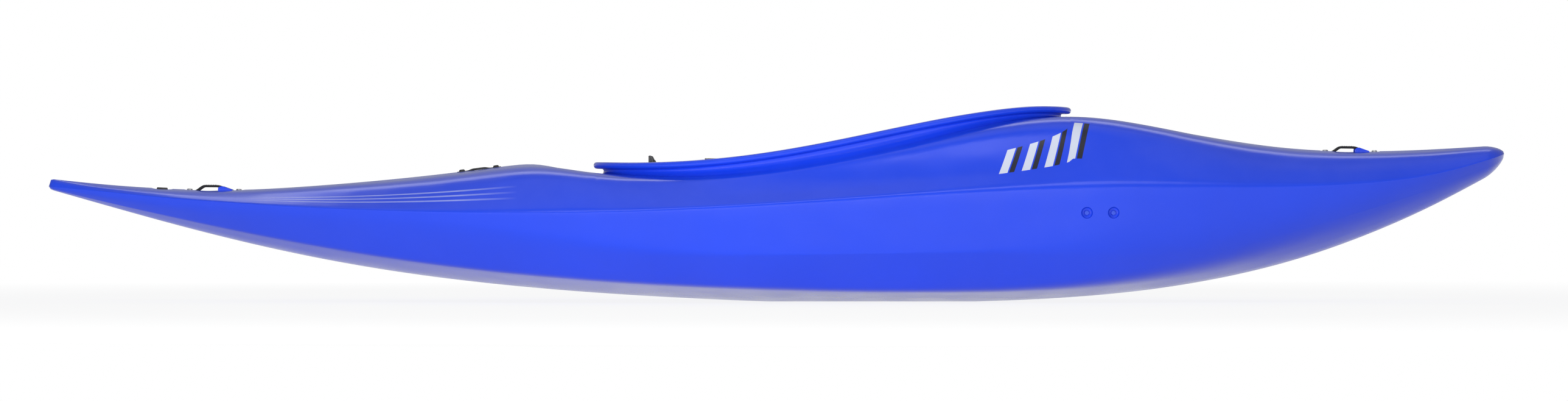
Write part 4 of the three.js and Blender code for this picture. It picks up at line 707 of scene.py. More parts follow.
def publish(bm: BMesh, name: str, finish: Finish, body: str | None, *replaces: str,
            sharp: float = SHARP_DEGREES) -> Object:
    """Turns a finished bmesh into a piece that rides on a body.

    Args:
        bm: The mesh, in the row frame. It is freed.
        name: The piece's name.
        finish: Its finish.
        body: The CAD body that it rides on, or None if it is left unattached.
        *replaces: CAD nodes that it stands for.
        sharp: Angle in degrees above which an edge stays sharp.

    Returns:
        The new object.
    """
    bmesh.ops.remove_doubles(bm, verts=bm.verts, dist=MERGE_DISTANCE)
    bmesh.ops.dissolve_degenerate(bm, dist=MERGE_DISTANCE, edges=bm.edges)
    piece = solid(name, bm)
    piece.data.shade_smooth()
    piece.data.set_sharp_from_angle(angle=math.radians(sharp))
    piece.data.materials.append(finish.material)
    if body is not None:
        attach(piece, body)
    if replaces:
        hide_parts(*replaces)
    log.info("%s: %d faces on %s", piece.name, len(piece.data.polygons), body)
    return piece


def recalculate(bm: BMesh) -> BMesh:
    """Merges doubles and points every face outwards.

    Args:
        bm: The mesh.

    Returns:
        The same mesh.
    """
    bmesh.ops.remove_doubles(bm, verts=bm.verts, dist=MERGE_DISTANCE)
    bmesh.ops.recalc_face_normals(bm, faces=bm.faces)
    return bm


def bevelled(bm: BMesh, edges: list, width: float, segments: int) -> BMesh:
    """Rounds some of a mesh's edges.

    Args:
        bm: The mesh.
        edges: The edges.
        width: The bevel's width.
        segments: Its number of steps.

    Returns:
        The same mesh.
    """
    bmesh.ops.bevel(bm, geom=edges, offset=width, offset_type="OFFSET", affect="EDGES", segments=segments,
                    profile=0.5, material=-1, clamp_overlap=True)
    return bm


def soften(bm: BMesh, width: float, segments: int = 2, least_degrees: float = 25.0) -> BMesh:
    """Rounds every edge that turns by more than an angle.

    Args:
        bm: The mesh.
        width: The bevel's width.
        segments: Its number of steps.
        least_degrees: Edges that turn less stay as they are.

    Returns:
        The same mesh.
    """
    least = math.radians(least_degrees)
    edges = [e for e in bm.edges if e.is_manifold and e.calc_face_angle(0.0) > least]
    return bevelled(bm, edges, width, segments)


def turned(profile: Outline, steps: int = 48) -> BMesh:
    """Spins a profile about Z.

    Args:
        profile: Points of (radius, height), from one end of the body to the other.
        steps: Number of steps round.

    Returns:
        The closed body of revolution.
    """
    bm = bmesh.new()
    points = [bm.verts.new((r, 0.0, z)) for r, z in profile]
    edges = [bm.edges.new(pair) for pair in zip(points, points[1:])]
    bmesh.ops.spin(bm, geom=points + edges, axis=(0, 0, 1), cent=(0, 0, 0), angle=math.tau, steps=steps,
                   use_merge=True)
    return recalculate(bm)


def new_verts(made: dict) -> list[bmesh.types.BMVert]:
    """The vertices among what an operator made."""
    return [g for g in made["geom"] if isinstance(g, bmesh.types.BMVert)]


def grown(bm: BMesh, edges: list) -> tuple[list, dict]:
    """Extrudes a closed loop of edges in place.

    Args:
        bm: The mesh.
        edges: The loop.

    Returns:
        The new loop's edges, and for each of its vertices the one that it came from.
    """
    made = bmesh.ops.extrude_edge_only(bm, edges=edges)
    old, new = {v for e in edges for v in e.verts}, new_verts(made)
    loop = [g for g in made["geom"] if isinstance(g, bmesh.types.BMEdge) and not set(g.verts) & old]
    return loop, {v: next(e.other_vert(v) for e in v.link_edges if e.other_vert(v) in old) for v in new}


def plate(outline: Outline, thickness: float, holes: Sequence[Outline] = ()) -> BMesh:
    """A flat plate in X and Y from 0 up to its thickness.

    Args:
        outline: Its outline.
        thickness: Its thickness.
        holes: Outlines of the holes through it.

    Returns:
        The closed plate.
    """
    bm = bmesh.new()
    edges = []
    for loop in (outline, *holes):
        ring = [bm.verts.new((x, y, 0.0)) for x, y in loop]
        edges += [bm.edges.new((a, b)) for a, b in zip(ring, ring[1:] + ring[:1])]
    filled = bmesh.ops.triangle_fill(bm, use_beauty=True, use_dissolve=False, edges=edges)
    faces = [g for g in filled["geom"] if isinstance(g, bmesh.types.BMFace)]
    raised = bmesh.ops.extrude_face_region(bm, geom=faces, use_keep_orig=True)
    bmesh.ops.translate(bm, verts=new_verts(raised), vec=(0, 0, thickness))
    return recalculate(bm)


def slot_outline(x: float, y: float, half_length: float, radius: float, steps: int = 8) -> list[Flat]:
    """The outline of a slot along X with round ends.

    Args:
        x: Middle of the slot along X.
        y: Middle of the slot along Y.
        half_length: Half of its whole length.
        radius: Half of its width.
        steps: Steps round each end.

    Returns:
        The outline's points.
    """
    points = []
    for end, first in ((1, -0.5), (-1, 0.5)):
        for k in range(steps + 1):
            turn = math.pi * (k / steps + first)
            points.append((x + end * (half_length - radius) + radius * math.cos(turn),
                           y + radius * math.sin(turn)))
    return points


def rounded_outline(corners: Outline, radius: float, steps: int = 5) -> list[Flat]:
    """A polygon's outline with each corner rounded by a curve.

    Args:
        corners: The polygon's corners in order.
        radius: Distance from each corner at which its curve starts.
        steps: Steps in each curve.

    Returns:
        The outline's points.
    """
    points = []
    for i, corner in enumerate(corners):
        here = Vector(corner)
        away = [Vector(corners[i - 1]) - here, Vector(corners[(i + 1) % len(corners)]) - here]
        start, end = (here + way.normalized() * min(radius, way.length * 0.45) for way in away)
        for k in range(steps + 1):
            t = k / steps
            points.append(tuple(start * (1 - t) ** 2 + here * (2 * t * (1 - t)) + end * t * t))
    return points


def box_outline(x: Flat, y: Flat) -> list[Flat]:
    """The corners of a rectangle between two ends on each axis."""
    return [(x[0], y[0]), (x[1], y[0]), (x[1], y[1]), (x[0], y[1])]


def block(low: Sequence[float], high: Sequence[float]) -> BMesh:
    """A box between two corners.

    Args:
        low: Lowest corner.
        high: Highest corner.

    Returns:
        The box.
    """
    bm = bmesh.new()
    bmesh.ops.create_cube(bm, size=1.0)
    bmesh.ops.scale(bm, verts=bm.verts, vec=[h - l for l, h in zip(low, high)])
    bmesh.ops.translate(bm, verts=bm.verts, vec=[(l + h) / 2 for l, h in zip(low, high)])
    return bm


def grid(across: int, along: int) -> BMesh:
    """A flat grid of faces, a metre wide and long, with its middle at 0.

    Args:
        across: Faces along X.
        along: Faces along Y.

    Returns:
        The grid.
    """
    bm = bmesh.new()
    bmesh.ops.create_grid(bm, x_segments=across, y_segments=along, size=0.5)
    return bm


def strip(shape: Callable[[float, float], Sequence[float]], across: int, along: int,
          thickness: float) -> BMesh:
    """A sheet bent from a flat grid and given a wall, half of it on each side.

    Args:
        shape: Gives the point for each pair of shares from 0 to 1.
        across: Number of faces in the first direction.
        along: Number of faces in the second direction.
        thickness: The wall's thickness.

    Returns:
        The closed shell.
    """
    bm = grid(across, along)
    for v in bm.verts:
        v.co = shape(v.co.x + 0.5, v.co.y + 0.5)
    bm.normal_update()
    for v in bm.verts:
        v.co = v.co + v.normal * (thickness / 2)
    bmesh.ops.solidify(bm, geom=bm.faces[:], thickness=thickness)
    bmesh.ops.recalc_face_normals(bm, faces=bm.faces)
    return bm


def cushion(face: Callable, back: Callable, across: int, along: int) -> BMesh:
    """A closed body between a face and its back, raised from a flat grid.

    Args:
        face: Point of the face for each pair of shares.
        back: Point of the back for each pair of shares.
        across: Faces in the first direction.
        along: Faces in the second direction.

    Returns:
        The body.
    """
    bm = grid(across, along)
    low = bm.verts[:]
    raised = bmesh.ops.extrude_face_region(bm, geom=bm.faces[:], use_keep_orig=True)
    for verts, shape in ((low, back), (new_verts(raised), face)):
        for v in verts:
            v.co = shape(v.co.x + 0.5, v.co.y + 0.5)
    return recalculate(bm)


def at(x: float, y: float = 0.0, z: float = 0.0, quarters: int = 0) -> Matrix:
    """A place, turned about X by a number of quarter turns."""
    return Matrix.Translation((x, y, z)) @ Matrix.Rotation(quarters * math.pi / 2, 4, "X")


def placed(bm: BMesh, matrix: Matrix, side: Side = Side.LEFT) -> BMesh:
    """Moves a whole mesh to its place on the left side, or reflects it to the right.

    Args:
        bm: The mesh.
        matrix: The place that it goes to on the left side.
        side: The side that it ends on.

    Returns:
        The same mesh.
    """
    bmesh.ops.transform(bm, matrix=matrix, verts=bm.verts)
    return on_side(bm, side)


def on_side(bm: BMesh, side: Side) -> BMesh:
    """Keeps a mesh made for the left side, or reflects it to the right.

    Args:
        bm: The mesh.
        side: The side that it is for.

    Returns:
        The same mesh.
    """
    if side is Side.RIGHT:
        bmesh.ops.scale(bm, vec=(1, -1, 1), verts=bm.verts)
        bmesh.ops.reverse_faces(bm, faces=bm.faces)
    return bm


def joined(*meshes: BMesh) -> BMesh:
    """Several meshes as one.

    Args:
        *meshes: The meshes. All but the first are freed.

    Returns:
        The first mesh, holding them all.
    """
    first, *others = meshes
    for other in others:
        carrier = bpy.data.meshes.new("carrier")
        other.to_mesh(carrier)
        other.free()
        first.from_mesh(carrier)
        bpy.data.meshes.remove(carrier)
    return first


def evaluated(held: Object) -> bpy.types.Mesh:
    """A new mesh with the object's modifiers applied.

    Args:
        held: The object.

    Returns:
        The mesh.
    """
    graph = bpy.context.evaluated_depsgraph_get()
    graph.update()
    return bpy.data.meshes.new_from_object(held.evaluated_get(graph))


def united(first: BMesh, *others: BMesh, cut: bool = False) -> BMesh:
    """Welds solids into one, or cuts them out of the first.

    Args:
        first: The solid that stays.
        *others: Solids to weld on or to cut away. They are freed.
        cut: Whether they are cut away.

    Returns:
        The new solid.
    """
    held = [solid("blank", bm) for bm in (first, *others)]
    for other in held[1:]:
        step = held[0].modifiers.new("weld", "BOOLEAN")
        step.operation = "DIFFERENCE" if cut else "UNION"
        step.solver = "EXACT"
        step.object = other
    result = evaluated(held[0])
    made = bmesh.new()
    made.from_mesh(result)
    for mesh in [result, *(other.data for other in held)]:
        bpy.data.meshes.remove(mesh)
    bmesh.ops.remove_doubles(made, verts=made.verts, dist=MERGE_DISTANCE)
    return made


def node_copy(name: str) -> BMesh:
    """A merged copy of a CAD node, with its flat faces whole.

    Args:
        name: The node.

    Returns:
        The copy.
    """
    bm = bmesh.new()
    bm.from_mesh(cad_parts[name].data)
    bmesh.ops.remove_doubles(bm, verts=bm.verts, dist=MERGE_DISTANCE)
    bmesh.ops.dissolve_limit(bm, angle_limit=math.radians(1.0), verts=bm.verts, edges=bm.edges)
    return bm


# The boat's lines.


@dataclass(frozen=True)
class FairCurve:
    """A natural cubic spline through values at shares of the length."""

    at: tuple[float, ...]
    values: tuple[float, ...]

    @cached_property
    def bends(self) -> np.ndarray:
        """How much the curve bends at each row.

        Returns:
            The bends.
        """
        step = np.diff(np.array(self.at, float))
        slope = np.diff(np.array(self.values, float)) / step
        size = len(self.at)
        system, wanted = np.eye(size), np.zeros(size)
        for i in range(1, size - 1):
            system[i, i - 1:i + 2] = step[i - 1], 2 * (step[i - 1] + step[i]), step[i]
            wanted[i] = 6 * (slope[i] - slope[i - 1])
        return np.linalg.solve(system, wanted)

    def __call__(self, share: np.ndarray) -> np.ndarray:
        """Reads the curve.

        Args:
            share: Shares of the length from the stern.

        Returns:
            The value at each of them.
        """
        at, values = np.array(self.at, float), np.array(self.values, float)
        i = np.clip(np.searchsorted(at, share) - 1, 0, len(at) - 2)
        span = at[i + 1] - at[i]
        b = (share - at[i]) / span
        a = 1 - b
        bent = ((a ** 3 - a) * self.bends[i] + (b ** 3 - b) * self.bends[i + 1]) * span ** 2 / 6
        return a * values[i] + b * values[i + 1] + bent


def level(value: float) -> FairCurve:
    """A curve with the same value all along."""
    return FairCurve((0, 1), (value, value))


# Each curve holds shares of the length from the stern, then shares of the deck height for a height or of the
# half-beam for a width.
EVEN_STATIONS = (
    0, 0.04, 0.08, 0.13, 0.18, 0.24, 0.3, 0.35, 0.4, 0.45, 0.5, 0.55, 0.6, 0.65, 0.7, 0.75, 0.8, 0.85,
    0.9, 0.95, 1,
)
SCOOP_STATIONS = (
    0, 0.08, 0.15, 0.22, 0.3, 0.36, 0.41, 0.46, 0.5, 0.55, 0.6, 0.65, 0.7, 0.75, 0.8, 0.85, 0.9, 0.95, 1,
)
KEEL = FairCurve(
    EVEN_STATIONS,
    (0.604, 0.515, 0.428, 0.328, 0.242, 0.16, 0.1, 0.063, 0.035, 0.014, -0.001, -0.004, -0.004,
     0.003, 0.022, 0.058, 0.119, 0.211, 0.343, 0.514, 0.722),
)
CHINE_HEIGHT = FairCurve(
    EVEN_STATIONS,
    (0.608, 0.535, 0.466, 0.385, 0.312, 0.236, 0.176, 0.138, 0.109, 0.088, 0.074, 0.065, 0.062,
     0.067, 0.086, 0.131, 0.206, 0.312, 0.438, 0.58, 0.745),
)
KNUCKLE_HEIGHT = FairCurve(
    (0, 0.06, 0.12, 0.18, 0.24, 0.3, 0.35, 0.4, 0.45, 0.5, 0.55, 0.6, 0.65, 0.7, 0.75, 0.8, 0.85,
     0.9, 0.95, 1),
    (0.612, 0.54, 0.486, 0.452, 0.42, 0.378, 0.332, 0.287, 0.262, 0.258, 0.262, 0.268, 0.274, 0.282,
     0.303, 0.357, 0.442, 0.54, 0.645, 0.775),
)
GUNWALE_HEIGHT = FairCurve(
    EVEN_STATIONS,
    (0.618, 0.59, 0.56, 0.531, 0.508, 0.49, 0.482, 0.483, 0.491, 0.507, 0.529, 0.555, 0.581, 0.604,
     0.62, 0.626, 0.624, 0.624, 0.639, 0.688, 0.795),
)
SCOOP_HEIGHT = FairCurve(
    SCOOP_STATIONS,
    (0.64, 0.583, 0.553, 0.548, 0.566, 0.585, 0.582, 0.59, 0.608, 0.642, 0.69, 0.742, 0.782, 0.786,
     0.758, 0.728, 0.722, 0.752, 0.82),
)
SHOULDER_HEIGHT = FairCurve(
    (0, 0.04, 0.08, 0.13, 0.18, 0.24, 0.3, 0.32, 0.335, 0.355, 0.38, 0.41, 0.44, 0.48, 0.52, 0.56,
     0.6, 0.64, 0.67, 0.7, 0.72, 0.75, 0.8, 0.85, 0.9, 0.95, 1),
    (0.654, 0.62, 0.598, 0.59, 0.608, 0.644, 0.695, 0.714, 0.722, 0.716, 0.696, 0.682, 0.684, 0.716,
     0.77, 0.833, 0.898, 0.963, 0.996, 1.006, 0.993, 0.951, 0.868, 0.81, 0.791, 0.8, 0.832),
)
DECK_CENTRE = FairCurve(
    (0, 0.04, 0.08, 0.13, 0.18, 0.24, 0.3, 0.32, 0.332, 0.345, 0.37, 0.4, 0.44, 0.5, 0.55, 0.6, 0.65,
     0.69, 0.72, 0.75, 0.8, 0.85, 0.9, 0.95, 1),
    (0.66, 0.628, 0.607, 0.6, 0.62, 0.66, 0.714, 0.733, 0.738, 0.726, 0.684, 0.66, 0.67, 0.735, 0.79,
     0.85, 0.918, 0.956, 0.962, 0.944, 0.881, 0.826, 0.808, 0.818, 0.842),
)
RIM_HEIGHT = FairCurve(
    (0.36, 0.4, 0.45, 0.5, 0.55, 0.6, 0.65, 0.68, 0.71),
    (0.754, 0.744, 0.757, 0.803, 0.876, 0.958, 1.025, 1.046, 1.04),
)
FLAT_WIDTH = FairCurve(
    (0, 0.1, 0.2, 0.3, 0.4, 0.5, 0.6, 0.7, 0.8, 0.9, 1),
    (0.006, 0.07, 0.15, 0.21, 0.25, 0.27, 0.27, 0.235, 0.17, 0.1, 0.04),
)
CHINE_WIDTH = FairCurve(
    EVEN_STATIONS,
    (0.02, 0.092, 0.166, 0.262, 0.36, 0.478, 0.591, 0.675, 0.741, 0.784, 0.803, 0.8, 0.776, 0.733,
     0.67, 0.592, 0.502, 0.404, 0.304, 0.204, 0.11),
)
KNUCKLE_WIDTH = FairCurve(
    EVEN_STATIONS,
    (0.027, 0.127, 0.226, 0.349, 0.471, 0.613, 0.744, 0.836, 0.906, 0.95, 0.967, 0.962, 0.936, 0.891,
     0.825, 0.74, 0.638, 0.523, 0.4, 0.272, 0.145),
)
GUNWALE_WIDTH = FairCurve(
    EVEN_STATIONS,
    (0.03, 0.135, 0.238, 0.364, 0.488, 0.633, 0.766, 0.862, 0.935, 0.983, 1, 0.994, 0.969, 0.925,
     0.86, 0.775, 0.674, 0.56, 0.436, 0.305, 0.17),
)
SCOOP_WIDTH = FairCurve(
    SCOOP_STATIONS,
    (0.024, 0.19, 0.335, 0.485, 0.655, 0.76, 0.83, 0.868, 0.878, 0.868, 0.838, 0.785, 0.715, 0.632,
     0.54, 0.445, 0.345, 0.24, 0.135),
)
SHOULDER_WIDTH = FairCurve(
    (0, 0.08, 0.15, 0.22, 0.3, 0.35, 0.4, 0.45, 0.5, 0.55, 0.6, 0.65, 0.7, 0.75, 0.8, 0.85, 0.9,
     0.95, 1),
    (0.013, 0.11, 0.205, 0.315, 0.455, 0.555, 0.65, 0.722, 0.75, 0.742, 0.706, 0.645, 0.56, 0.466,
     0.378, 0.302, 0.232, 0.162, 0.09),
)
CHINE_ROUND = FairCurve((0, 0.3, 0.55, 0.7, 0.8, 1), (0.1, 0.1, 0.12, 0.2, 0.4, 0.48))
KNUCKLE_ROUND = FairCurve((0, 0.25, 0.4, 0.7, 0.8, 1), (0.45, 0.4, 0.16, 0.16, 0.42, 0.48))

# Width, height and rounding of each corner of a section, from the bottom's flat up to the deck's shoulder.
CORNER_CURVES = (
    (FLAT_WIDTH, KEEL, level(0.45)),
    (CHINE_WIDTH, CHINE_HEIGHT, CHINE_ROUND),
    (KNUCKLE_WIDTH, KNUCKLE_HEIGHT, KNUCKLE_ROUND),
    (GUNWALE_WIDTH, GUNWALE_HEIGHT, level(0.07)),
    (SCOOP_WIDTH, SCOOP_HEIGHT, level(0.48)),
    (SHOULDER_WIDTH, SHOULDER_HEIGHT, level(0.44)),
)


@dataclass(frozen=True)
class SkinEnds:
    """Where a skin ends at stern and bow, and over what length it closes."""

    stern: float
    stern_round: float
    bow: float
    bow_round: float

    def shrink(self, x: np.ndarray) -> np.ndarray:
        """How much of its full section the skin has.

        Args:
            x: Places along the boat.

        Returns:
            Shares from 0 at the tips to 1.
        """
        past_bow = (x - (self.bow - self.bow_round)) / self.bow_round
        past_stern = ((self.stern + self.stern_round) - x) / self.stern_round
        past = np.clip(np.maximum(past_bow, past_stern), 0.0, 1.0)
        return np.sqrt(1 - past ** 2)


@dataclass(frozen=True)
class HullLines:
    """The hull's sections, its deck and the outline of its cockpit."""

    length: float = 2.93
    beam: float = 0.63
    deck_height: float = 0.3725
    wall: float = 0.006
    stern_rounding: float = 0.008
    bow_rounding: float = 0.042
    coaming_length: float = 0.961
    side_deck_width: float = 0.065
    coaming_lip: float = 0.02
    coaming_riser: float = 0.007
    cockpit_centre_share: float = 0.5384
    cockpit_taper_share: float = 0.15

    @property
    def half_beam(self) -> float:
        """Half of the beam."""
        return self.beam / 2

    @property
    def cockpit_x(self) -> float:
        """Middle of the cockpit."""
        return (self.cockpit_centre_share - 0.5) * self.length

    @property
    def opening_half_length(self) -> float:
        """Half of the opening's length."""
        return self.coaming_length / 2 - self.coaming_lip - self.coaming_riser

    @property
    def opening_half_width(self) -> float:
        """Half of the opening's width, before its taper."""
        return self.half_beam - self.side_deck_width - self.coaming_lip - self.coaming_riser

    @property
    def outside(self) -> SkinEnds:
        """The ends of the outer skin."""
        return SkinEnds(-self.length / 2, self.stern_rounding, self.length / 2, self.bow_rounding)

    def share(self, x: np.ndarray) -> np.ndarray:
        """The share of the length at a place."""
        return x / self.length + 0.5

    def corners(self, x: np.ndarray) -> list[tuple[np.ndarray, np.ndarray, np.ndarray]]:
        """The corners of half a section, from the keel to the middle of the deck.

        Args:
            x: Places along the boat.

        Returns:
            Half-width, height and rounding of each corner.
        """
        s = self.share(x)
        none = np.zeros_like(s)
        found = [(width(s) * self.half_beam, height(s) * self.deck_height, rounding(s))
                 for width, height, rounding in CORNER_CURVES]
        keel = np.maximum(0.0, KEEL(s)) * self.deck_height
        found[0] = (found[0][0], keel, found[0][2])
        return [(none, keel, none), *found, (none, DECK_CENTRE(s) * self.deck_height, none)]

    @staticmethod
    def curve_point(corners: list, i: int, t: np.ndarray) -> tuple[np.ndarray, np.ndarray]:
        """A point on the curve that rounds a corner.

        Args:
            corners: The section's corners.
            i: Number of the corner.
            t: Shares of the way round it.

        Returns:
            Half-width and height.
        """
        *here, r = corners[i]
        point = []
        for axis, middle in enumerate(here):
            start, end = mix(middle, corners[i - 1][axis], r), mix(middle, corners[i + 1][axis], r)
            point.append((1 - t) ** 2 * start + 2 * t * (1 - t) * middle + t * t * end)
        return point[0], point[1]

    def deck_line(self, x: np.ndarray) -> tuple[np.ndarray, np.ndarray]:
        """Half of the deck's section as a fine line, from the gunwale to the centre.

        Args:
            x: Places along the boat.

        Returns:
            Half-widths and heights, one row for each point of the line.
        """
        corners = self.corners(x)
        steps = [(4, t) for t in (0.5, 0.75, 1.0)]
        steps += [(i, t) for i in (5, 6) for t in np.linspace(0, 1, 12)]
        points = [self.curve_point(corners, i, np.full_like(x, t)) for i, t in steps]
        points.append(corners[-1][:2])
        return np.array([p[0] for p in points]), np.array([p[1] for p in points])

    def deck_height_at(self, x: np.ndarray, y: np.ndarray) -> np.ndarray:
        """The outer skin's height on the deck.

        Args:
            x: Places along the boat.
            y: Places across it.

        Returns:
            The heights.
        """
        wide, high = self.deck_line(np.atleast_1d(x).astype(float))
        before, after, share = crossing(wide, np.abs(np.atleast_1d(y).astype(float)))
        return mix(high[before], high[after], share)

    def side_point(self, x: float, z: float) -> float:
        """The half-width of the side below the gunwale at one height.

        Args:
            x: Place along the boat.
            z: The height.

        Returns:
            The half-width.
        """
        share = np.linspace(0, 1, 200)
        y, height = self.curve_point(self.corners(np.full_like(share, x)), 3, share)
        last_y, last_z = self.curve_point(self.corners(np.array([x])), 4, np.array([0.0]))
        return float(np.interp(z, [height[-1], last_z[0]], [y[-1], last_y[0]]))

    def rim_height(self, x: np.ndarray) -> np.ndarray:
        """The height of the coaming's rim."""
        return RIM_HEIGHT(self.share(x)) * self.deck_height

    def deck_place(self, share: float) -> Matrix:
        """A frame on the deck's centreline, with its Z square to the deck.

        Args:
            share: Share of the length from the stern.

        Returns:
            The frame.
        """
        x, run = (share - 0.5) * self.length, self.wall
        rear, height, fore = self.deck_height_at(np.array([x - run, x, x + run]), np.zeros(3))
        return at(x, 0, float(height)) @ Matrix.Rotation(-math.atan2(fore - rear, 2 * run), 4, "Y")

    def opening(self, turn: np.ndarray, outwards: float) -> tuple[np.ndarray, np.ndarray]:
        """The cockpit's outline in plan: an egg, fuller behind the middle.

        Args:
            turn: Angles round it, 0 at the bow end.
            outwards: Distance outside the opening.

        Returns:
            The places along and across the boat.
        """
        cos, sin = np.cos(turn), np.sin(turn)
        taper = 1 - self.cockpit_taper_share * cos
        dx = -self.opening_half_length * sin
        dy = self.opening_half_width * (cos * taper + self.cockpit_taper_share * sin * sin)
        size = np.hypot(dx, dy)
        x = self.cockpit_x + self.opening_half_length * cos + outwards * dy / size
        return x, self.opening_half_width * sin * taper - outwards * dx / size

    def opening_width_at(self, x: np.ndarray, outwards: float) -> np.ndarray:
        """Half of the offset outline's width, zero before and behind it.

        Args:
            x: Places along the boat.
            outwards: Distance outside the opening.

        Returns:
            The half-widths.
        """
        along, across = self.opening(np.linspace(math.pi, 0, 4001), outwards)
        return np.where((x > along[0]) & (x < along[-1]), np.interp(x, along, across), 0.0)


LINES = HullLines()


def crossing(wide: np.ndarray, reach: np.ndarray) -> tuple[tuple, tuple, np.ndarray]:
    """Where lines that run inwards pass a half-width.

    Args:
        wide: Half-widths, one row for each point of the lines and one column for each line.
        reach: The half-width to find on each line.

    Returns:
        The points before and after the place, as indices, and the share of the way between them.
    """
    column = np.arange(wide.shape[1])
    number = np.clip((wide > reach).sum(axis=0), 1, len(wide) - 1)
    before, after = (number - 1, column), (number, column)
    share = (wide[before] - reach) / np.maximum(wide[before] - wide[after], 1e-9)
    return before, after, np.clip(share, 0, 1)


def fall(place: Matrix, reach: float) -> float:
    """How far the skin falls away from a place, at a distance across it.

    Args:
        place: A frame on the skin.
        reach: The distance.

    Returns:
        The fall.
    """
    middle = place.translation
    if abs(place.to_3x3().col[2].y) > 0.5:
        sides = [LINES.side_point(middle.x, middle.z + shift) for shift in (-reach, reach)]
        return max(middle.y - min(sides), 0.0)
    return max(middle.z - float(LINES.deck_height_at(middle.x, reach)[0]), 0.0)


def hollow(place: Matrix, reach: float, shape: Callable[[float, float], BMesh]) -> tuple[BMesh, BMesh]:
    """A hollow let into the skin, with the wall that keeps the skin whole behind it.

    Args:
        place: A frame on the skin.
        reach: Half of the hollow's width.
        shape: Makes its solid, larger all round by a distance and up to a height.

    Returns:
        What is cut away, and the wall.
    """
    wall, over = LINES.wall, 0.014
    top = -wall * 0.5 - fall(place, reach + wall)
    return placed(shape(0.0, over), place), placed(shape(wall, top), place)


def pocket(place: Matrix, half: Flat, corner: float, depth: float) -> tuple[BMesh, BMesh]:
    """A flat-bottomed pocket with round corners and a soft foot.

    Args:
        place: A frame on the skin.
        half: Half of its length and width.
        corner: Radius of its corners.
        depth: Its depth.

    Returns:
        What is cut away, and the wall behind it.
    """
    def shape(grow: float, top: float) -> BMesh:
        """The pocket's solid, larger all round by a distance and up to a height.

        Args:
            grow: The distance.
            top: The height.

        Returns:
            The solid.
        """
        x, y = half[0] + grow, half[1] + grow
        outline = rounded_outline(box_outline((-x, x), (-y, y)), (corner + grow) * 1.35, 9)
        bm = placed(plate(outline, top + depth + grow), at(0, 0, -depth - grow))
        foot = [e for e in bm.edges if e.is_manifold and e.calc_face_angle(0.0) > 1.0
                and max(v.co.z for v in e.verts) < -depth - grow + 1e-5]
        return bevelled(bm, foot, min(0.0016, corner * 0.3), 3)

    return hollow(place, half[1], shape)


def bowl(place: Matrix, radius: float, depth: float) -> tuple[BMesh, BMesh]:
    """A round finger scoop.

    Args:
        place: A frame on the skin at its middle.
        radius: Its radius.
        depth: Its depth.

    Returns:
        What is cut away, and the wall behind it.
    """
    def shape(grow: float, top: float) -> BMesh:
        """The scoop's solid, larger all round by a distance and up to a height.

        Args:
            grow: The distance.
            top: The height.

        Returns:
            The solid.
        """
        size, deep = radius + grow, depth + grow
        turns = [math.pi / 2 * k / 12 for k in range(13)]
        low = [(size * math.sin(turn), -deep * math.cos(turn)) for turn in turns]
        low = [point for point in low if point[1] < min(top, 0.0) - 1e-4]
        side = [(size, 0.0), (size, top)] if top > 0 else [(size * math.sqrt(1 - (top / deep) ** 2), top)]
        return turned([*low, *side, (0.0, top)], 40)

    return hollow(place, radius, shape)


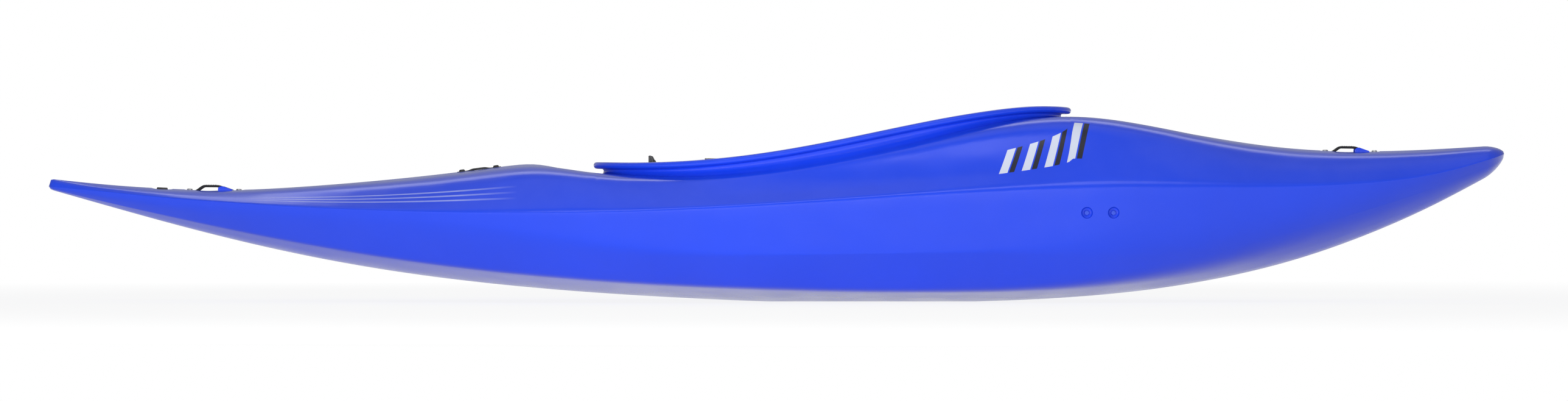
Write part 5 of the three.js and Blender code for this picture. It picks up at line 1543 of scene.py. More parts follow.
@dataclass(frozen=True)
class Moulding:
    """The hull and its coaming, moulded in one."""

    recesses: list[Recess]
    stern_columns: int = 92
    cockpit_columns: int = 96
    bow_columns: int = 74
    deck_rows: int = 27
    fillet: float = 0.011
    lip_thickness: float = 0.013
    lip_rounding: float = 0.0062
    cavity: SkinEnds = SkinEnds(-1.377, 0.02, 1.417, 0.03)
    squeeze_start: float = 1.3
    # Whether a run of rows goes round a corner or straight up to it, the corner's number, and its rows.
    bottom_rows: tuple[tuple[bool, int, int], ...] = (
        (False, 1, 4), (True, 1, 3), (False, 2, 3), (True, 2, 4), (False, 3, 3), (True, 3, 4), (False, 4, 5),
        (True, 4, 2),
    )

    @property
    def edge(self) -> float:
        """How far outside the opening the deck gives way to the coaming."""
        return LINES.coaming_riser + self.fillet

    @property
    def bottom_count(self) -> int:
        """Number of rows from the keel to the gunwale."""
        return sum(rows for _, _, rows in self.bottom_rows)

    @property
    def rows(self) -> int:
        """Number of rows in all."""
        return self.bottom_count + self.deck_rows

    @property
    def columns(self) -> int:
        """Number of columns in all."""
        return self.stern_columns + self.cockpit_columns + self.bow_columns

    def stations(self, column: np.ndarray, deck_share: np.ndarray) -> np.ndarray:
        """Places along the boat of the plate's columns.

        Args:
            column: Column numbers, whole or not.
            deck_share: Share of the way from the gunwale to the deck's inner edge.

        Returns:
            The places.
        """
        (end, start), _ = LINES.opening(np.array([0.0, math.pi]), self.edge)
        half = LINES.length / 2
        stern = np.clip(column / self.stern_columns, 0, 1) ** 1.22
        bow_share = np.clip((self.columns - column) / self.bow_columns, 0, 1) ** 1.3
        pit = np.clip((column - self.stern_columns) / self.cockpit_columns, 0, 1)
        round_edge, _ = LINES.opening(math.pi * (1 - pit), self.edge)
        middle = mix(mix(start, end, pit), round_edge, deck_share)
        x = np.where(column <= self.stern_columns, mix(-half, start, stern), middle)
        return np.where(column >= self.stern_columns + self.cockpit_columns, mix(half, end, bow_share), x)

    def squeezed(self, x: np.ndarray) -> np.ndarray:
        """Places near the tips, drawn in to the cavity's ends.

        Args:
            x: Places along the boat.

        Returns:
            The places.
        """
        start, half = self.squeeze_start, LINES.length / 2
        x = np.where(x < -start, mix(-start, self.cavity.stern, (-start - x) / (-start + half)), x)
        return np.where(x > start, mix(start, self.cavity.bow, (x - start) / (half - start)), x)

    def below_gunwale(self, corners: list, row: np.ndarray) -> tuple[np.ndarray, np.ndarray]:
        """Points of the section between the keel and the gunwale.

        Args:
            corners: The section's corners.
            row: Row numbers.

        Returns:
            Half-widths and heights, zero above the gunwale.
        """
        y, z = np.zeros_like(row), np.zeros_like(row)
        first = 0
        for rounded, i, rows in self.bottom_rows:
            t = np.clip((row - first) / rows, 0, 1)
            if rounded:
                across, high = LINES.curve_point(corners, i, t * (0.5 if i == 4 else 1.0))
            else:
                one = np.ones_like(row)
                y0, z0 = LINES.curve_point(corners, i - 1, one) if i > 1 else corners[0][:2]
                y1, z1 = LINES.curve_point(corners, i, one * 0)
                across, high = mix(y0, y1, t), mix(z0, z1, t)
            here = (row >= first) & (row <= first + rows)
            y, z = np.where(here, across, y), np.where(here, high, z)
            first += rows
        return y, z

    def skin(self, column: np.ndarray, row: np.ndarray, inset: float) -> np.ndarray:
        """Points of the left half of a skin.

        Args:
            column: Column numbers.
            row: Row numbers, from the keel up to the deck's inner edge.
            inset: How far the skin lies inside the outer one.

        Returns:
            One row of x, y and z for each pair.
        """
        deck_share = np.clip((row - self.bottom_count) / self.deck_rows, 0, 1)
        x, ends = self.stations(column, deck_share), LINES.outside
        if inset:
            x, ends = self.squeezed(x), self.cavity
        corners = LINES.corners(x)
        y, z = self.below_gunwale(corners, row)
        wide, tall = LINES.deck_line(x)
        shrink = ends.shrink(x)
        low, top = corners[0][1], tall.max(axis=0)
        thin_y = np.where(shrink > 0, 1 - inset / np.maximum(wide.max(axis=0), 0.02), 1.0)
        thin_z = 1 - inset / np.maximum((top - low) / 2, 0.008)
        in_pit = (column > self.stern_columns) & (column < self.stern_columns + self.cockpit_columns)
        inner = np.where(in_pit, LINES.opening_width_at(x, self.edge) / thin_y, 0.0)
        deck_y, deck_z = self.along_deck(wide, tall, inner, deck_share)
        on_deck = row > self.bottom_count
        y, z = np.where(on_deck, deck_y, y), np.where(on_deck, deck_z, z)
        middle = (top + low) / 2
        y, z = y * thin_y, middle + (z - middle) * thin_z
        tip = GUNWALE_HEIGHT(LINES.share(x)) * LINES.deck_height
        return np.stack([x, y * shrink, mix(tip, z, shrink)], axis=1)

    @staticmethod
    def along_deck(wide: np.ndarray, tall: np.ndarray, inner: np.ndarray, share: np.ndarray,
                   ) -> tuple[np.ndarray, np.ndarray]:
        """Points at even steps along the deck's section, from the gunwale to its inner edge.

        Args:
            wide: Half-widths of the section's line.
            tall: Heights of the section's line.
            inner: Half-width of the inner edge.
            share: Share of the way.

        Returns:
            Half-widths and heights.
        """
        steps = np.hypot(np.diff(wide, axis=0), np.diff(tall, axis=0))
        run = np.vstack([np.zeros(wide.shape[1]), np.cumsum(steps, axis=0)])
        before, after, cut = crossing(wide, inner + 1e-9)
        goal = mix(run[before], run[after], cut) * share
        before, after, part = crossing(-run, -goal)
        return mix(wide[before], wide[after], part), mix(tall[before], tall[after], part)

    def plan(self) -> BMesh:
        """The flat plate: columns along X, rows along Y.

        Returns:
            The plate.
        """
        bm = grid(self.columns, self.rows)
        bmesh.ops.translate(bm, verts=bm.verts, vec=(0.5, 0.5, 0))
        bmesh.ops.scale(bm, verts=bm.verts, vec=(self.columns, self.rows, 1))
        return bm

    def bent(self, inset: float) -> BMesh:
        """Both halves of a skin, bent from the plate.

        Args:
            inset: How far the skin lies inside the outer one.

        Returns:
            The skin, open at the cockpit.
        """
        bm = self.plan()
        bm.verts.ensure_lookup_table()
        column, row, _ = np.array([v.co for v in bm.verts]).T
        chart = bm.loops.layers.uv.new("skin")
        shown = self.skin(column.copy(), row.copy(), inset)
        pit = (column - self.stern_columns) / self.cockpit_columns
        last = row > self.rows - 1e-3
        on_ring = last & (pit > -1e-6) & (pit < 1 + 1e-6)
        x, y = LINES.opening(math.pi * (1 - np.clip(pit[on_ring], 0, 1)), self.edge)
        shown[on_ring] = np.stack([x, np.abs(y), LINES.deck_height_at(x, y) - inset], axis=1)
        shown[(last & ~on_ring) | (row < 1e-3), 1] = 0
        for face in bm.faces:
            for loop in face.loops:
                vert = loop.vert
                loop[chart].uv = (shown[vert.index][0], (vert.co.y - self.bottom_count) / self.deck_rows)
        for vert, point in zip(bm.verts, shown):
            vert.co = point
        geometry = bm.verts[:] + bm.edges[:] + bm.faces[:]
        bmesh.ops.mirror(bm, geom=geometry, axis="Y", merge_dist=MERGE_DISTANCE)
        return recalculate(bm)

    def coaming_section(self) -> list[tuple[float, Callable]]:
        """The rings that the coaming goes through, from the outer skin round the lip to the inner one.

        Returns:
            For each ring a distance outside the opening, and its height at a place.
        """
        lip, rise, wall = LINES.coaming_lip, LINES.coaming_riser, LINES.wall
        outer, thick, soft = rise + lip, self.lip_thickness, self.lip_rounding
        over_deck = [(self.edge, 0.0), (rise + self.fillet * 0.5, 0.0014),
                     (rise + self.fillet * 0.18, 0.0046),
                     (rise, 0.009)]
        under_deck = [(0.0, -wall * 0.2), (0.0015, -wall * 0.8), (self.edge * 0.5, -wall), (self.edge, -wall)]
        below_rim = [(rise, thick + 0.0025), (rise + 0.0018, thick + 0.0004), (rise + 0.005, thick)]
        turns = [math.pi / 2 * k / 4 for k in range(5)]
        below_rim += [(outer - soft + soft * math.sin(turn), thick - soft + soft * math.cos(turn))
                      for turn in turns]
        below_rim += [(outer - soft + soft * math.cos(turn), soft - soft * math.sin(turn)) for turn in turns]
        below_rim += [(rise, -0.0004), (soft, 0.0), (soft * 0.3, soft * 0.3), (0.0, soft),
                      (0.0, thick + 0.002)]

        def over(rings: list) -> list[tuple[float, Callable]]:
            """Rings at heights over the deck."""
            return [(out, lambda x, y, h=h: LINES.deck_height_at(x, y) + h) for out, h in rings]

        below = [(out, lambda x, y, h=h: LINES.rim_height(x) - h) for out, h in below_rim]
        return over(over_deck) + below + over(under_deck)

    def coaming(self) -> BMesh:
        """The rim round the cockpit: a circle, shaped to the opening and extruded round its section.

        Returns:
            The rim, open where it meets the two skins.
        """
        bm = bmesh.new()
        made = bmesh.ops.create_circle(bm, segments=self.cockpit_columns * 2, radius=1.0)
        turns = {v: math.atan2(v.co.y, v.co.x) for v in made["verts"]}
        edges = bm.edges[:]
        for number, (offset, height) in enumerate(self.coaming_section()):
            if number:
                edges, source = grown(bm, edges)
                turns = {v: turns[old] for v, old in source.items()}
            x, y = LINES.opening(np.array(list(turns.values())), offset)
            for vert, point in zip(turns, zip(x, y, height(x, y))):
                vert.co = point
        return bm

    def build(self) -> None:
        """Makes the hull as one closed shell."""
        inner = self.bent(LINES.wall)
        bmesh.ops.reverse_faces(inner, faces=inner.faces)
        whole = recalculate(joined(self.bent(0.0), inner, self.coaming()))
        hollows = [pair for pairs, _ in self.recesses for pair in pairs]
        raised = [bm for _, cheeks in self.recesses for bm in cheeks]
        whole = united(whole, *(wall for _, wall in hollows), *raised)
        whole = united(whole, *(tool for tool, _ in hollows), cut=True)
        publish(whole, "hull", HULL, "hull", "hull_stern", "hull_middle", "hull_bow", "coaming", sharp=50.0)


@dataclass(frozen=True)
class Studio:
    """A pale floor, soft light and the camera at the photograph's angle."""

    frame_width: float = 3.157
    distance: float = 10.0
    centre_x: float = 0.0153
    centre_z: float = 0.202
    sensor: float = 36.0
    floor_radius: float = 90.0
    floor_drop: float = 0.0006
    shadow_reach: float = 1.6
    mirrored_share: float = 0.25

    def camera(self) -> None:
        """Sets the camera level with the boat's side, square to it."""
        data = bpy.data.cameras.new("camera")
        data.sensor_fit = "HORIZONTAL"
        data.sensor_width = self.sensor
        data.lens = self.sensor * self.distance / self.frame_width
        data.clip_end = self.floor_radius * 4
        seen = linked("camera", data)
        seen.location = (self.centre_x, -self.distance, self.centre_z)
        seen.rotation_euler = (math.pi / 2, 0, 0)
        bpy.context.scene.camera = seen

    def seen_directly(self, graph: Graph, mirrored_share: float) -> Wire:
        """A mask: 1 for rays from the camera or clear glass, a share for rays from a glossy surface.

        Args:
            graph: The material's or world's graph.
            mirrored_share: How much a glossy surface sees.

        Returns:
            The mask.
        """
        path = {wire.socket.name: wire for wire in graph.wires("LightPath")}
        mirrored = path["Is Glossy Ray"] * mirrored_share
        return path["Is Camera Ray"].most(mirrored).most(path["Is Transmission Ray"])

    def backdrop(self) -> None:
        """Lays the floor and paints the world white behind it."""
        bm = bmesh.new()
        bmesh.ops.create_circle(bm, cap_ends=True, segments=96, radius=self.floor_radius)
        floor = solid("floor", bm)
        floor.location.z = -self.floor_drop
        paper = bpy.data.materials.new("floor_paper")
        world = bpy.data.worlds.new("studio")
        graphs = []
        for owner in (paper, world):
            owner.use_nodes = True
            owner.node_tree.nodes.clear()
            graphs.append(Graph(owner.node_tree))
        graph = graphs[0]
        diffuse = graph.wire("BsdfDiffuse", {"Color": (0.86, 0.86, 0.87)})
        white = graph.wire("Emission", {"Color": (1, 1, 1), "Strength": 1.0})
        place = graph.wire("TexCoord", output="Object")
        away = graph.wire("VectorMath", {0: place}, "Value", operation="LENGTH")
        direct = self.seen_directly(graph, 1.0)
        share = direct * away.spread(self.shadow_reach, self.shadow_reach * 2, 0.88, 1.0)
        graph.add("OutputMaterial", {"Surface": graph.wire("MixShader", {0: share, 1: diffuse, 2: white})})
        floor.data.materials.append(paper)
        graph = graphs[1]
        fill = graph.wire("Background", {"Color": (0.9, 0.93, 1), "Strength": 0.27})
        seen = graph.wire("Background", {"Color": (1, 1, 1), "Strength": 1.0})
        share = self.seen_directly(graph, self.mirrored_share)
        graph.add("OutputWorld", {"Surface": graph.wire("MixShader", {0: share, 1: fill, 2: seen})})
        bpy.context.scene.world = world

    def softbox(self, name: str, place: Sequence[float], aim: Sequence[float], size: Flat, power: float,
                mirrored: bool = True) -> None:
        """Hangs one area light.

        Args:
            name: Its name.
            place: Where it hangs.
            aim: The point that it faces.
            size: Its width and height.
            power: Its power in watts.
            mirrored: Whether it shows in reflections.
        """
        data = bpy.data.lights.new(name, "AREA")
        data.shape = "RECTANGLE"
        data.size, data.size_y = size
        data.energy = power
        lamp = linked(name, data)
        lamp.location = place
        lamp.rotation_euler = (Vector(aim) - Vector(place)).to_track_quat("-Z", "Y").to_euler()
        lamp.visible_camera = False
        lamp.visible_glossy = mirrored

    def build(self) -> None:
        """Sets up the whole studio."""
        bpy.context.scene.view_settings.view_transform = "Standard"
        self.camera()
        self.backdrop()
        low_aim, low_size = (0, 0, 0.12), (5.0, 0.34)
        for name, side, share in (("front", -1, 1.0), ("rear", 1, 0.8)):
            self.softbox(name + "_key", (0.2, side * 2.5, 3.2), (0, 0, 0.2), (4.4, 1.0), 26.0 * share)
            self.softbox(name + "_low", (-0.3, side * 3.0, 0.22), low_aim, low_size, 64.0 * share, False)
        self.softbox("front_sheen", (-0.3, -3.0, 0.22), low_aim, low_size, 30.0)
        self.softbox("top_box", (0.0, 0.0, 4.5), (0, 0, 0.2), (5.0, 2.0), 10.0)


# Cords and seams.


def tube(path: Path, radius: float, sides: int = 8) -> BMesh:
    """A round cord along a closed path.

    Args:
        path: Points that it follows.
        radius: Its radius.
        sides: Number of sides.

    Returns:
        The tube.
    """
    bm = bmesh.new()
    order = {v: v.co.copy() for v in bmesh.ops.create_circle(bm, segments=sides, radius=radius)["verts"]}
    first = edges = bm.edges[:]
    for k, here in enumerate(path):
        along = (path[(k + 1) % len(path)] - path[k - 1]).normalized()
        up = Vector((0, 0, 1)) if abs(along.z) < 0.95 else Vector((0, 1, 0))
        side = along.cross(up).normalized()
        rise = side.cross(along)
        if k:
            edges, source = grown(bm, edges)
            order = {v: order[old] for v, old in source.items()}
        for v, flat in order.items():
            v.co = here + side * flat.x + rise * flat.y
    bmesh.ops.bridge_loops(bm, edges=first + edges)
    return recalculate(bm)


def dense(path: Path, closed: bool = False, step: float = 0.0025) -> list[Vector]:
    """Points at even steps along a path.

    Args:
        path: Its corners.
        closed: Whether it returns to its start.
        step: Distance between points.

    Returns:
        The points.
    """
    corners = list(path) + ([path[0]] if closed else [])
    points = []
    for a, b in zip(corners, corners[1:]):
        count = max(1, round((b - a).length / step))
        points += [a.lerp(b, k / count) for k in range(count)]
    return points if closed else points + [corners[-1]]


def traced(bm: BMesh, path: Path) -> tuple[list[Vector], list[Vector]]:
    """A path laid onto a mesh.

    Args:
        bm: The mesh.
        path: Points near it.

    Returns:
        The nearest points of the mesh, and its normals there.
    """
    tree = BVHTree.FromBMesh(bm)
    found = [tree.find_nearest(point) for point in path]
    return [place for place, *_ in found], [normal for _, normal, *_ in found]


def sew(bm: BMesh, path: Path, depth: float, width: float) -> None:
    """Draws a sewn channel into a pad.

    Args:
        bm: The pad.
        path: Points along the channel.
        depth: Depth of the channel.
        width: Its half-width.
    """
    tree = KDTree(len(path))
    for i, point in enumerate(path):
        tree.insert(point, i)
    tree.balance()
    bm.normal_update()
    reach = 2.5
    for v in bm.verts:
        away = tree.find(v.co)[2] / width
        if away < reach:
            v.co = v.co - v.normal * (depth * math.exp(-away * away))


def stitches(path: Path, outwards: Path, every: int = 3, length: float = 0.0045,
             width: float = 0.001) -> BMesh:
    """A row of thread stitches along a path.

    Args:
        path: Even points that the seam follows.
        outwards: Direction that each of them faces.
        every: Points from one stitch to the next.
        length: Length of a stitch.
        width: Thickness of the thread.

    Returns:
        The stitches as one mesh.
    """
    whole = bmesh.new()
    for k in range(1, len(path) - 1, every):
        along = (path[k + 1] - path[k - 1]).normalized()
        side = along.cross(outwards[k]).normalized()
        turn = Matrix((along, side, along.cross(side))).transposed().to_4x4()
        made = bmesh.ops.create_icosphere(whole, subdivisions=1, radius=0.5)["verts"]
        bmesh.ops.scale(whole, verts=made, vec=(length, width, width))
        bmesh.ops.transform(whole, verts=made, matrix=Matrix.Translation(path[k]) @ turn)
    return recalculate(whole)


@dataclass(frozen=True)
class Screw:
    """A dome-head screw with a hexagon socket."""

    head_radius: float = 0.0052
    head_height: float = 0.004
    shank_radius: float = 0.003
    socket_radius: float = 0.0022
    socket_depth: float = 0.002
    washer_radius: float = 0.0
    washer_thickness: float = 0.0008
    thread_pitch: float = 0.0016
    sides: int = 24

    def rings(self, length: float) -> list[Flat]:
        """The screw's rings from the dome's rim down to the tip.

        Args:
            length: Length of the shank.

        Returns:
            The radius and height of each.
        """
        dome = ((0.62, 0.97), (0.82, 0.86), (0.95, 0.62), (1.0, 0.32), (0.985, 0.0))
        rings = [(self.head_radius * r, self.head_height * h) for r, h in dome]
        if self.washer_radius:
            rings += [(self.washer_radius * 0.97, 0.0), (self.washer_radius, -self.washer_thickness * 0.3),
                      (self.washer_radius, -self.washer_thickness)]
        low, turns = rings[-1][1], max(4, int(length / self.thread_pitch))
        rings.append((self.shank_radius, low))
        for k in range(turns):
            rings.append((self.shank_radius * (0.86 if k % 2 else 1.0), mix(low, -length, (k + 1) / turns)))
        return rings

    def mesh(self, length: float) -> BMesh:
        """The screw along Z, with the underside of its head at 0.

        Args:
            length: Length of the shank.

        Returns:
            The screw.
        """
        bm = bmesh.new()
        bmesh.ops.create_circle(bm, segments=self.sides, radius=self.socket_radius)
        half_face = math.pi / 6
        for v in bm.verts:
            off = math.atan2(v.co.y, v.co.x) % (2 * half_face) - half_face
            v.co = v.co * (math.cos(half_face) / math.cos(off))
            v.co.z = self.head_height
        rim = edges = bm.edges[:]
        for radius, height in self.rings(length):
            edges, source = grown(bm, edges)
            for v in source:
                turn = math.atan2(v.co.y, v.co.x)
                v.co = (radius * math.cos(turn), radius * math.sin(turn), height)
        bmesh.ops.contextual_create(bm, geom=edges)
        bottom, source = grown(bm, rim)
        bmesh.ops.translate(bm, verts=list(source), vec=(0, 0, -self.socket_depth))
        bmesh.ops.contextual_create(bm, geom=bottom)
        return recalculate(bm)

    def fit(self, node: str, length: float, place: Matrix, finish: Finish, body: str,
            side: Side = Side.LEFT) -> None:
        """Makes the screw that stands for a CAD node.

        Args:
            node: The CAD node.
            length: Length of the shank.
            place: Frame at the underside of the head, on the left side.
            finish: The screw's finish.
            body: The CAD body that it rides on.
            side: Where it goes.
        """
        bm = placed(self.mesh(length), place, side)
        publish(bm, node + "_screw", finish, body, node, sharp=SMALL_SHARP_DEGREES)


SMALL_SCREW = Screw()
LOW_SCREW = Screw(head_height=0.0024, socket_depth=0.0012)
WIDE_SCREW = Screw(head_radius=0.0058, head_height=0.0032, washer_radius=0.0068)
DECK_SCREW = Screw(head_radius=0.0056, head_height=0.0028, washer_radius=0.0065)


@dataclass(frozen=True, kw_only=True)
class DeckFitting:
    """Something let into the deck on its centreline, at a share of the length."""

    share: float

    @cached_property
    def place(self) -> Matrix:
        """The frame on the deck at the fitting's middle."""
        return LINES.deck_place(self.share)


@dataclass(frozen=True, kw_only=True)
class BoltedStrap(DeckFitting):
    """A strap in a shallow pocket, held at both ends by screws."""

    length: float
    width: float
    thickness: float
    rise: float
    bolt_spacing: float
    pocket_depth: float
    scoop_radius: float
    scoop_depth: float
    screw_length: float = 0.0146

    @property
    def foot(self) -> float:
        """Height of the strap's underside at its ends."""
        return CLEARANCE - self.pocket_depth

    def half_width(self, x: float) -> float:
        """Half of the strap's width at a place along it, with round ends.

        Args:
            x: Place along the strap.

        Returns:
            The half-width.
        """
        end = self.width / 2
        past = max(0.0, abs(x) - (self.length / 2 - end)) / (end * 1.03)
        return end * (1 - past ** 2.4) ** (1 / 2.4)

    def lift(self, x: float) -> float:
        """How far the strap has risen at a place along it, from 0 to 1."""
        raise NotImplementedError

    def strap(self, u: float, v: float) -> tuple[float, float, float]:
        """A point of the strap's middle surface.

        Args:
            u: Share along.
            v: Share across.

        Returns:
            The point.
        """
        x = mix(-self.length / 2, self.length / 2, u)
        wide, half = self.half_width(x), self.thickness / 2
        return x, mix(-wide, wide, v), mix(self.foot + half, self.rise - half, self.lift(x))

    def hollows(self, corner: float, scoop_back: float = 0.0) -> list[tuple[BMesh, BMesh]]:
        """The pocket and the finger scoop under the strap.

        Args:
            corner: Radius of the pocket's corners.
            scoop_back: How far the scoop lies behind the middle.

        Returns:
            The two recesses.
        """
        room = 2 * CLEARANCE
        half = (self.length / 2 + room, self.width / 2 + room)
        return [pocket(self.place, half, corner, self.pocket_depth),
                bowl(self.place @ at(-scoop_back), self.scoop_radius, self.scoop_depth)]

    def bolts(self, node: str, finish: Finish) -> None:
        """Makes the two screws.

        Args:
            node: Start of their names.
            finish: Their finish.
        """
        head = self.foot + self.thickness + DECK_SCREW.washer_thickness
        for k, sign in enumerate((-1, 1)):
            place = self.place @ at(sign * self.bolt_spacing / 2, 0, head)
            DECK_SCREW.fit(f"{node}_bolt_{k + 1}", self.screw_length, place, finish, "hull")


@dataclass(frozen=True, kw_only=True)
class GrabHandle(BoltedStrap):
    """A rubber grab handle in its pocket, with two raised cheeks beside its forward leg."""

    end: End
    length: float = 0.12
    width: float = 0.022
    thickness: float = 0.0048
    rise: float = 0.01
    bolt_spacing: float = 0.099
    pocket_depth: float = 0.006
    scoop_radius: float = 0.027
    scoop_depth: float = 0.026
    pocket_corner: float = 0.008
    foot_length: float = 0.021
    plateau_start: float = 0.018
    plateau_end: float = 0.005
    scoop_back: float = 0.014
    cheek_start: float = 0.009
    cheek_end: float = 0.038
    cheek_height: float = 0.008
    cheek_thickness: float = 0.005
    rib_count: int = 5

    def recess(self) -> Recess:
        """The pocket and the finger scoop, with the two raised cheeks.

        Returns:
            The recesses, and what is raised.
        """
        inner = self.width / 2 + 2 * CLEARANCE
        root, start, end = -LINES.wall * 0.6, self.cheek_start, self.cheek_end
        outline = rounded_outline([(start, root), (end, root), (end, 0.0004),
                                   (start + 0.007, self.cheek_height),
                                   (start, self.cheek_height * 0.6)], 0.003)
        raised = []
        for y in (inner + self.cheek_thickness, -inner):
            cheek = placed(plate(outline, self.cheek_thickness), at(0, y, 0, 1))
            raised.append(placed(soften(cheek, 0.0012, 3, 50.0), self.place))
        return self.hollows(self.pocket_corner, self.scoop_back), raised

    def lift(self, x: float) -> float:
        """How far the strap has risen at a place along it, from 0 to 1."""
        leg = self.length / 2 - self.foot_length
        return float(ease(x, -leg, -self.plateau_start) * (1 - ease(x, self.plateau_end, leg)))

    def half_width(self, x: float) -> float:
        """Half of the strap's width at a place along it, with a narrower grip."""
        waist = float(ease(x, -0.034, -0.018) * (1 - ease(x, 0.005, 0.02)))
        return super().half_width(x) * (1 - 0.14 * waist)

    def build(self) -> None:
        """Makes the handle and its two screws."""
        parts = [soften(strip(self.strap, 60, 8, self.thickness), 0.0014, 3, 50.0)]
        grip = self.plateau_start + self.plateau_end
        for k in range(self.rib_count):
            x = -self.plateau_start + grip * (k + 0.5) / self.rib_count
            rib = block((x - 0.0008, -self.width * 0.36, self.rise - 0.0012),
                        (x + 0.0008, self.width * 0.36, self.rise + 0.0004))
            parts.append(soften(rib, 0.0005, 2))
        node = self.end.value + "_handle"
        publish(placed(joined(*parts), self.place), node + "_grip", RUBBER, "hull", node)
        self.bolts(node, STEEL)


@dataclass(frozen=True, kw_only=True)
class SecurityBar(BoltedStrap):
    """A low bar over a finger scoop on the rear deck, for a lock or a carabiner."""

    share: float = 0.2957
    length: float = 0.089
    width: float = 0.018
    thickness: float = 0.004
    rise: float = 0.0035
    bolt_spacing: float = 0.069
    pocket_depth: float = 0.0035
    scoop_radius: float = 0.023
    scoop_depth: float = 0.022
    foot_radius: float = 0.01

    def recess(self) -> Recess:
        """The pocket and the scoop under the bar."""
        return self.hollows(self.width / 2.9), []

    def lift(self, x: float) -> float:
        """How far the bar has risen at a place along it, from 0 to 1."""
        return 1 - float(ease(abs(x), self.foot_radius, self.bolt_spacing / 2 - self.foot_radius))

    def build(self) -> None:
        """Makes the bar and its two screws."""
        bm = soften(strip(self.strap, 44, 8, self.thickness), 0.0012, 3, 50.0)
        publish(placed(bm, self.place), "security_bar_moulded", MOULDED, "hull", "security_bar")
        self.bolts("security_bar", MOULDED)


@dataclass(frozen=True, kw_only=True)
class Drain(DeckFitting):
    """The drain: a bushing in a round recess, a seal and a plug with a grip."""

    share: float = 0.078
    recess_radius: float = 0.021
    recess_depth: float = 0.012
    flange_radius: float = 0.019
    flange_thickness: float = 0.003
    sleeve_radius: float = 0.013
    sleeve_length: float = 0.014
    bore_radius: float = 0.01
    cap_radius: float = 0.015
    cap_thickness: float = 0.003
    seal_thickness: float = 0.002
    grip_height: float = 0.005
    grip_width: float = 0.006
    lobes: int = 18
    thread_steps: int = 10

    @property
    def low(self) -> float:
        """Height of the flange's underside."""
        return CLEARANCE - self.recess_depth

    @property
    def seal_low(self) -> float:
        """Height of the seal's underside."""
        return self.low + self.flange_thickness + CLEARANCE

    @property
    def soft(self) -> float:
        """Width of the softened corners."""
        return self.flange_thickness * 0.3

    def recess(self) -> Recess:
        """The round recess and the hole for the sleeve.

        Returns:
            The recess, and nothing raised.
        """
        wall = LINES.wall
        radius, sleeve = self.recess_radius + CLEARANCE, self.sleeve_radius + CLEARANCE
        floor, foot = -self.recess_depth, 0.0015
        top = -wall * 0.5 - fall(self.place, radius + wall)
        tool = turned([(0.0, floor - 2 * wall), (sleeve, floor - 2 * wall), (sleeve, floor),
                       (radius - foot, floor), (radius - foot * 0.3, floor + foot * 0.3),
                       (radius, floor + foot),
                       (radius, wall * 2), (0.0, wall * 2)], 56)
        shell = turned([(0.0, floor - wall), (radius + wall - foot, floor - wall),
                        (radius + wall, floor - wall + foot), (radius + wall, top), (0.0, top)], 56)
        return [(placed(tool, self.place), placed(shell, self.place))], []

    def thread(self, radius: float, notch: float, low: float, high: float) -> list[Flat]:
        """The profile of a thread from one height to another.

        Args:
            radius: Its radius, which every second step has.
            notch: What is added to the radius at the other steps.
            low: Height that it starts from.
            high: Height that it goes to.

        Returns:
            The profile's points.
        """
        steps = self.thread_steps
        return [(radius + (notch if k % 2 else 0.0), mix(low, high, (k + 1) / steps)) for k in range(steps)]

    def bushing(self) -> None:
        """Makes the bushing."""
        low, soft = self.low, self.soft
        top, end = low + self.flange_thickness, low - self.sleeve_length
        profile = [(self.sleeve_radius, end), (self.sleeve_radius, low), (self.flange_radius - soft, low),
                   (self.flange_radius, low + soft), (self.flange_radius, top - soft),
                   (self.flange_radius - soft, top), (self.bore_radius + soft, top),
                   (self.bore_radius, top - soft),
                   *self.thread(self.bore_radius, 0.0006, top - 2 * soft, end), (self.sleeve_radius, end)]
        bm = placed(turned(profile), self.place)
        publish(bm, "drain_sleeve", MOULDED, "hull", "drain_bushing", sharp=SMALL_SHARP_DEGREES)

    def seal(self) -> None:
        """Makes the seal."""
        middle = (self.bore_radius + self.cap_radius) / 2
        half_width = (self.cap_radius - self.bore_radius) / 2 - CLEARANCE
        half_height = self.seal_thickness / 2
        turns = [math.tau * k / 12 for k in range(13)]
        ring = [(middle + half_width * math.cos(turn),
                 self.seal_low + half_height + half_height * math.sin(turn))
                for turn in turns]
        publish(placed(turned(ring), self.place), "drain_gasket", RUBBER, "hull", "drain_seal", sharp=60.0)

    def plug(self) -> None:
        """Makes the plug, with lobes round its cap and a bar to turn it by."""
        end, soft, radius = self.low - self.sleeve_length, self.soft, self.cap_radius
        low = self.seal_low + self.seal_thickness + CLEARANCE
        high = low + self.cap_thickness
        thread_radius = self.bore_radius - 2 * CLEARANCE
        profile = [(0.0, end), (thread_radius * 0.9, end),
                   *self.thread(thread_radius, -0.0007, end + soft, low),
                   (radius, low), (radius, high - soft), (radius - soft, high), (radius * 0.72, high),
                   (radius * 0.66, high - soft * 0.7), (0.0, high - soft * 0.7)]
        body = lobed(turned(profile, 72), radius * 0.9, self.lobes, 0.025)
        grip = radius * 0.8
        bar = block((-grip, -self.grip_width / 2, high - soft),
                    (grip, self.grip_width / 2, high + self.grip_height))
        for v in bar.verts:
            if v.co.z > high:
                v.co.x *= 0.86
                v.co.y *= 0.62
        whole = placed(united(body, soften(bar, 0.0012, 3)), self.place)
        publish(whole, "drain_cap", MOULDED, "drain_plug", "drain_plug", sharp=35.0)

    def build(self) -> None:
        """Makes the bushing, the seal and the plug."""
        self.bushing()
        self.seal()
        self.plug()


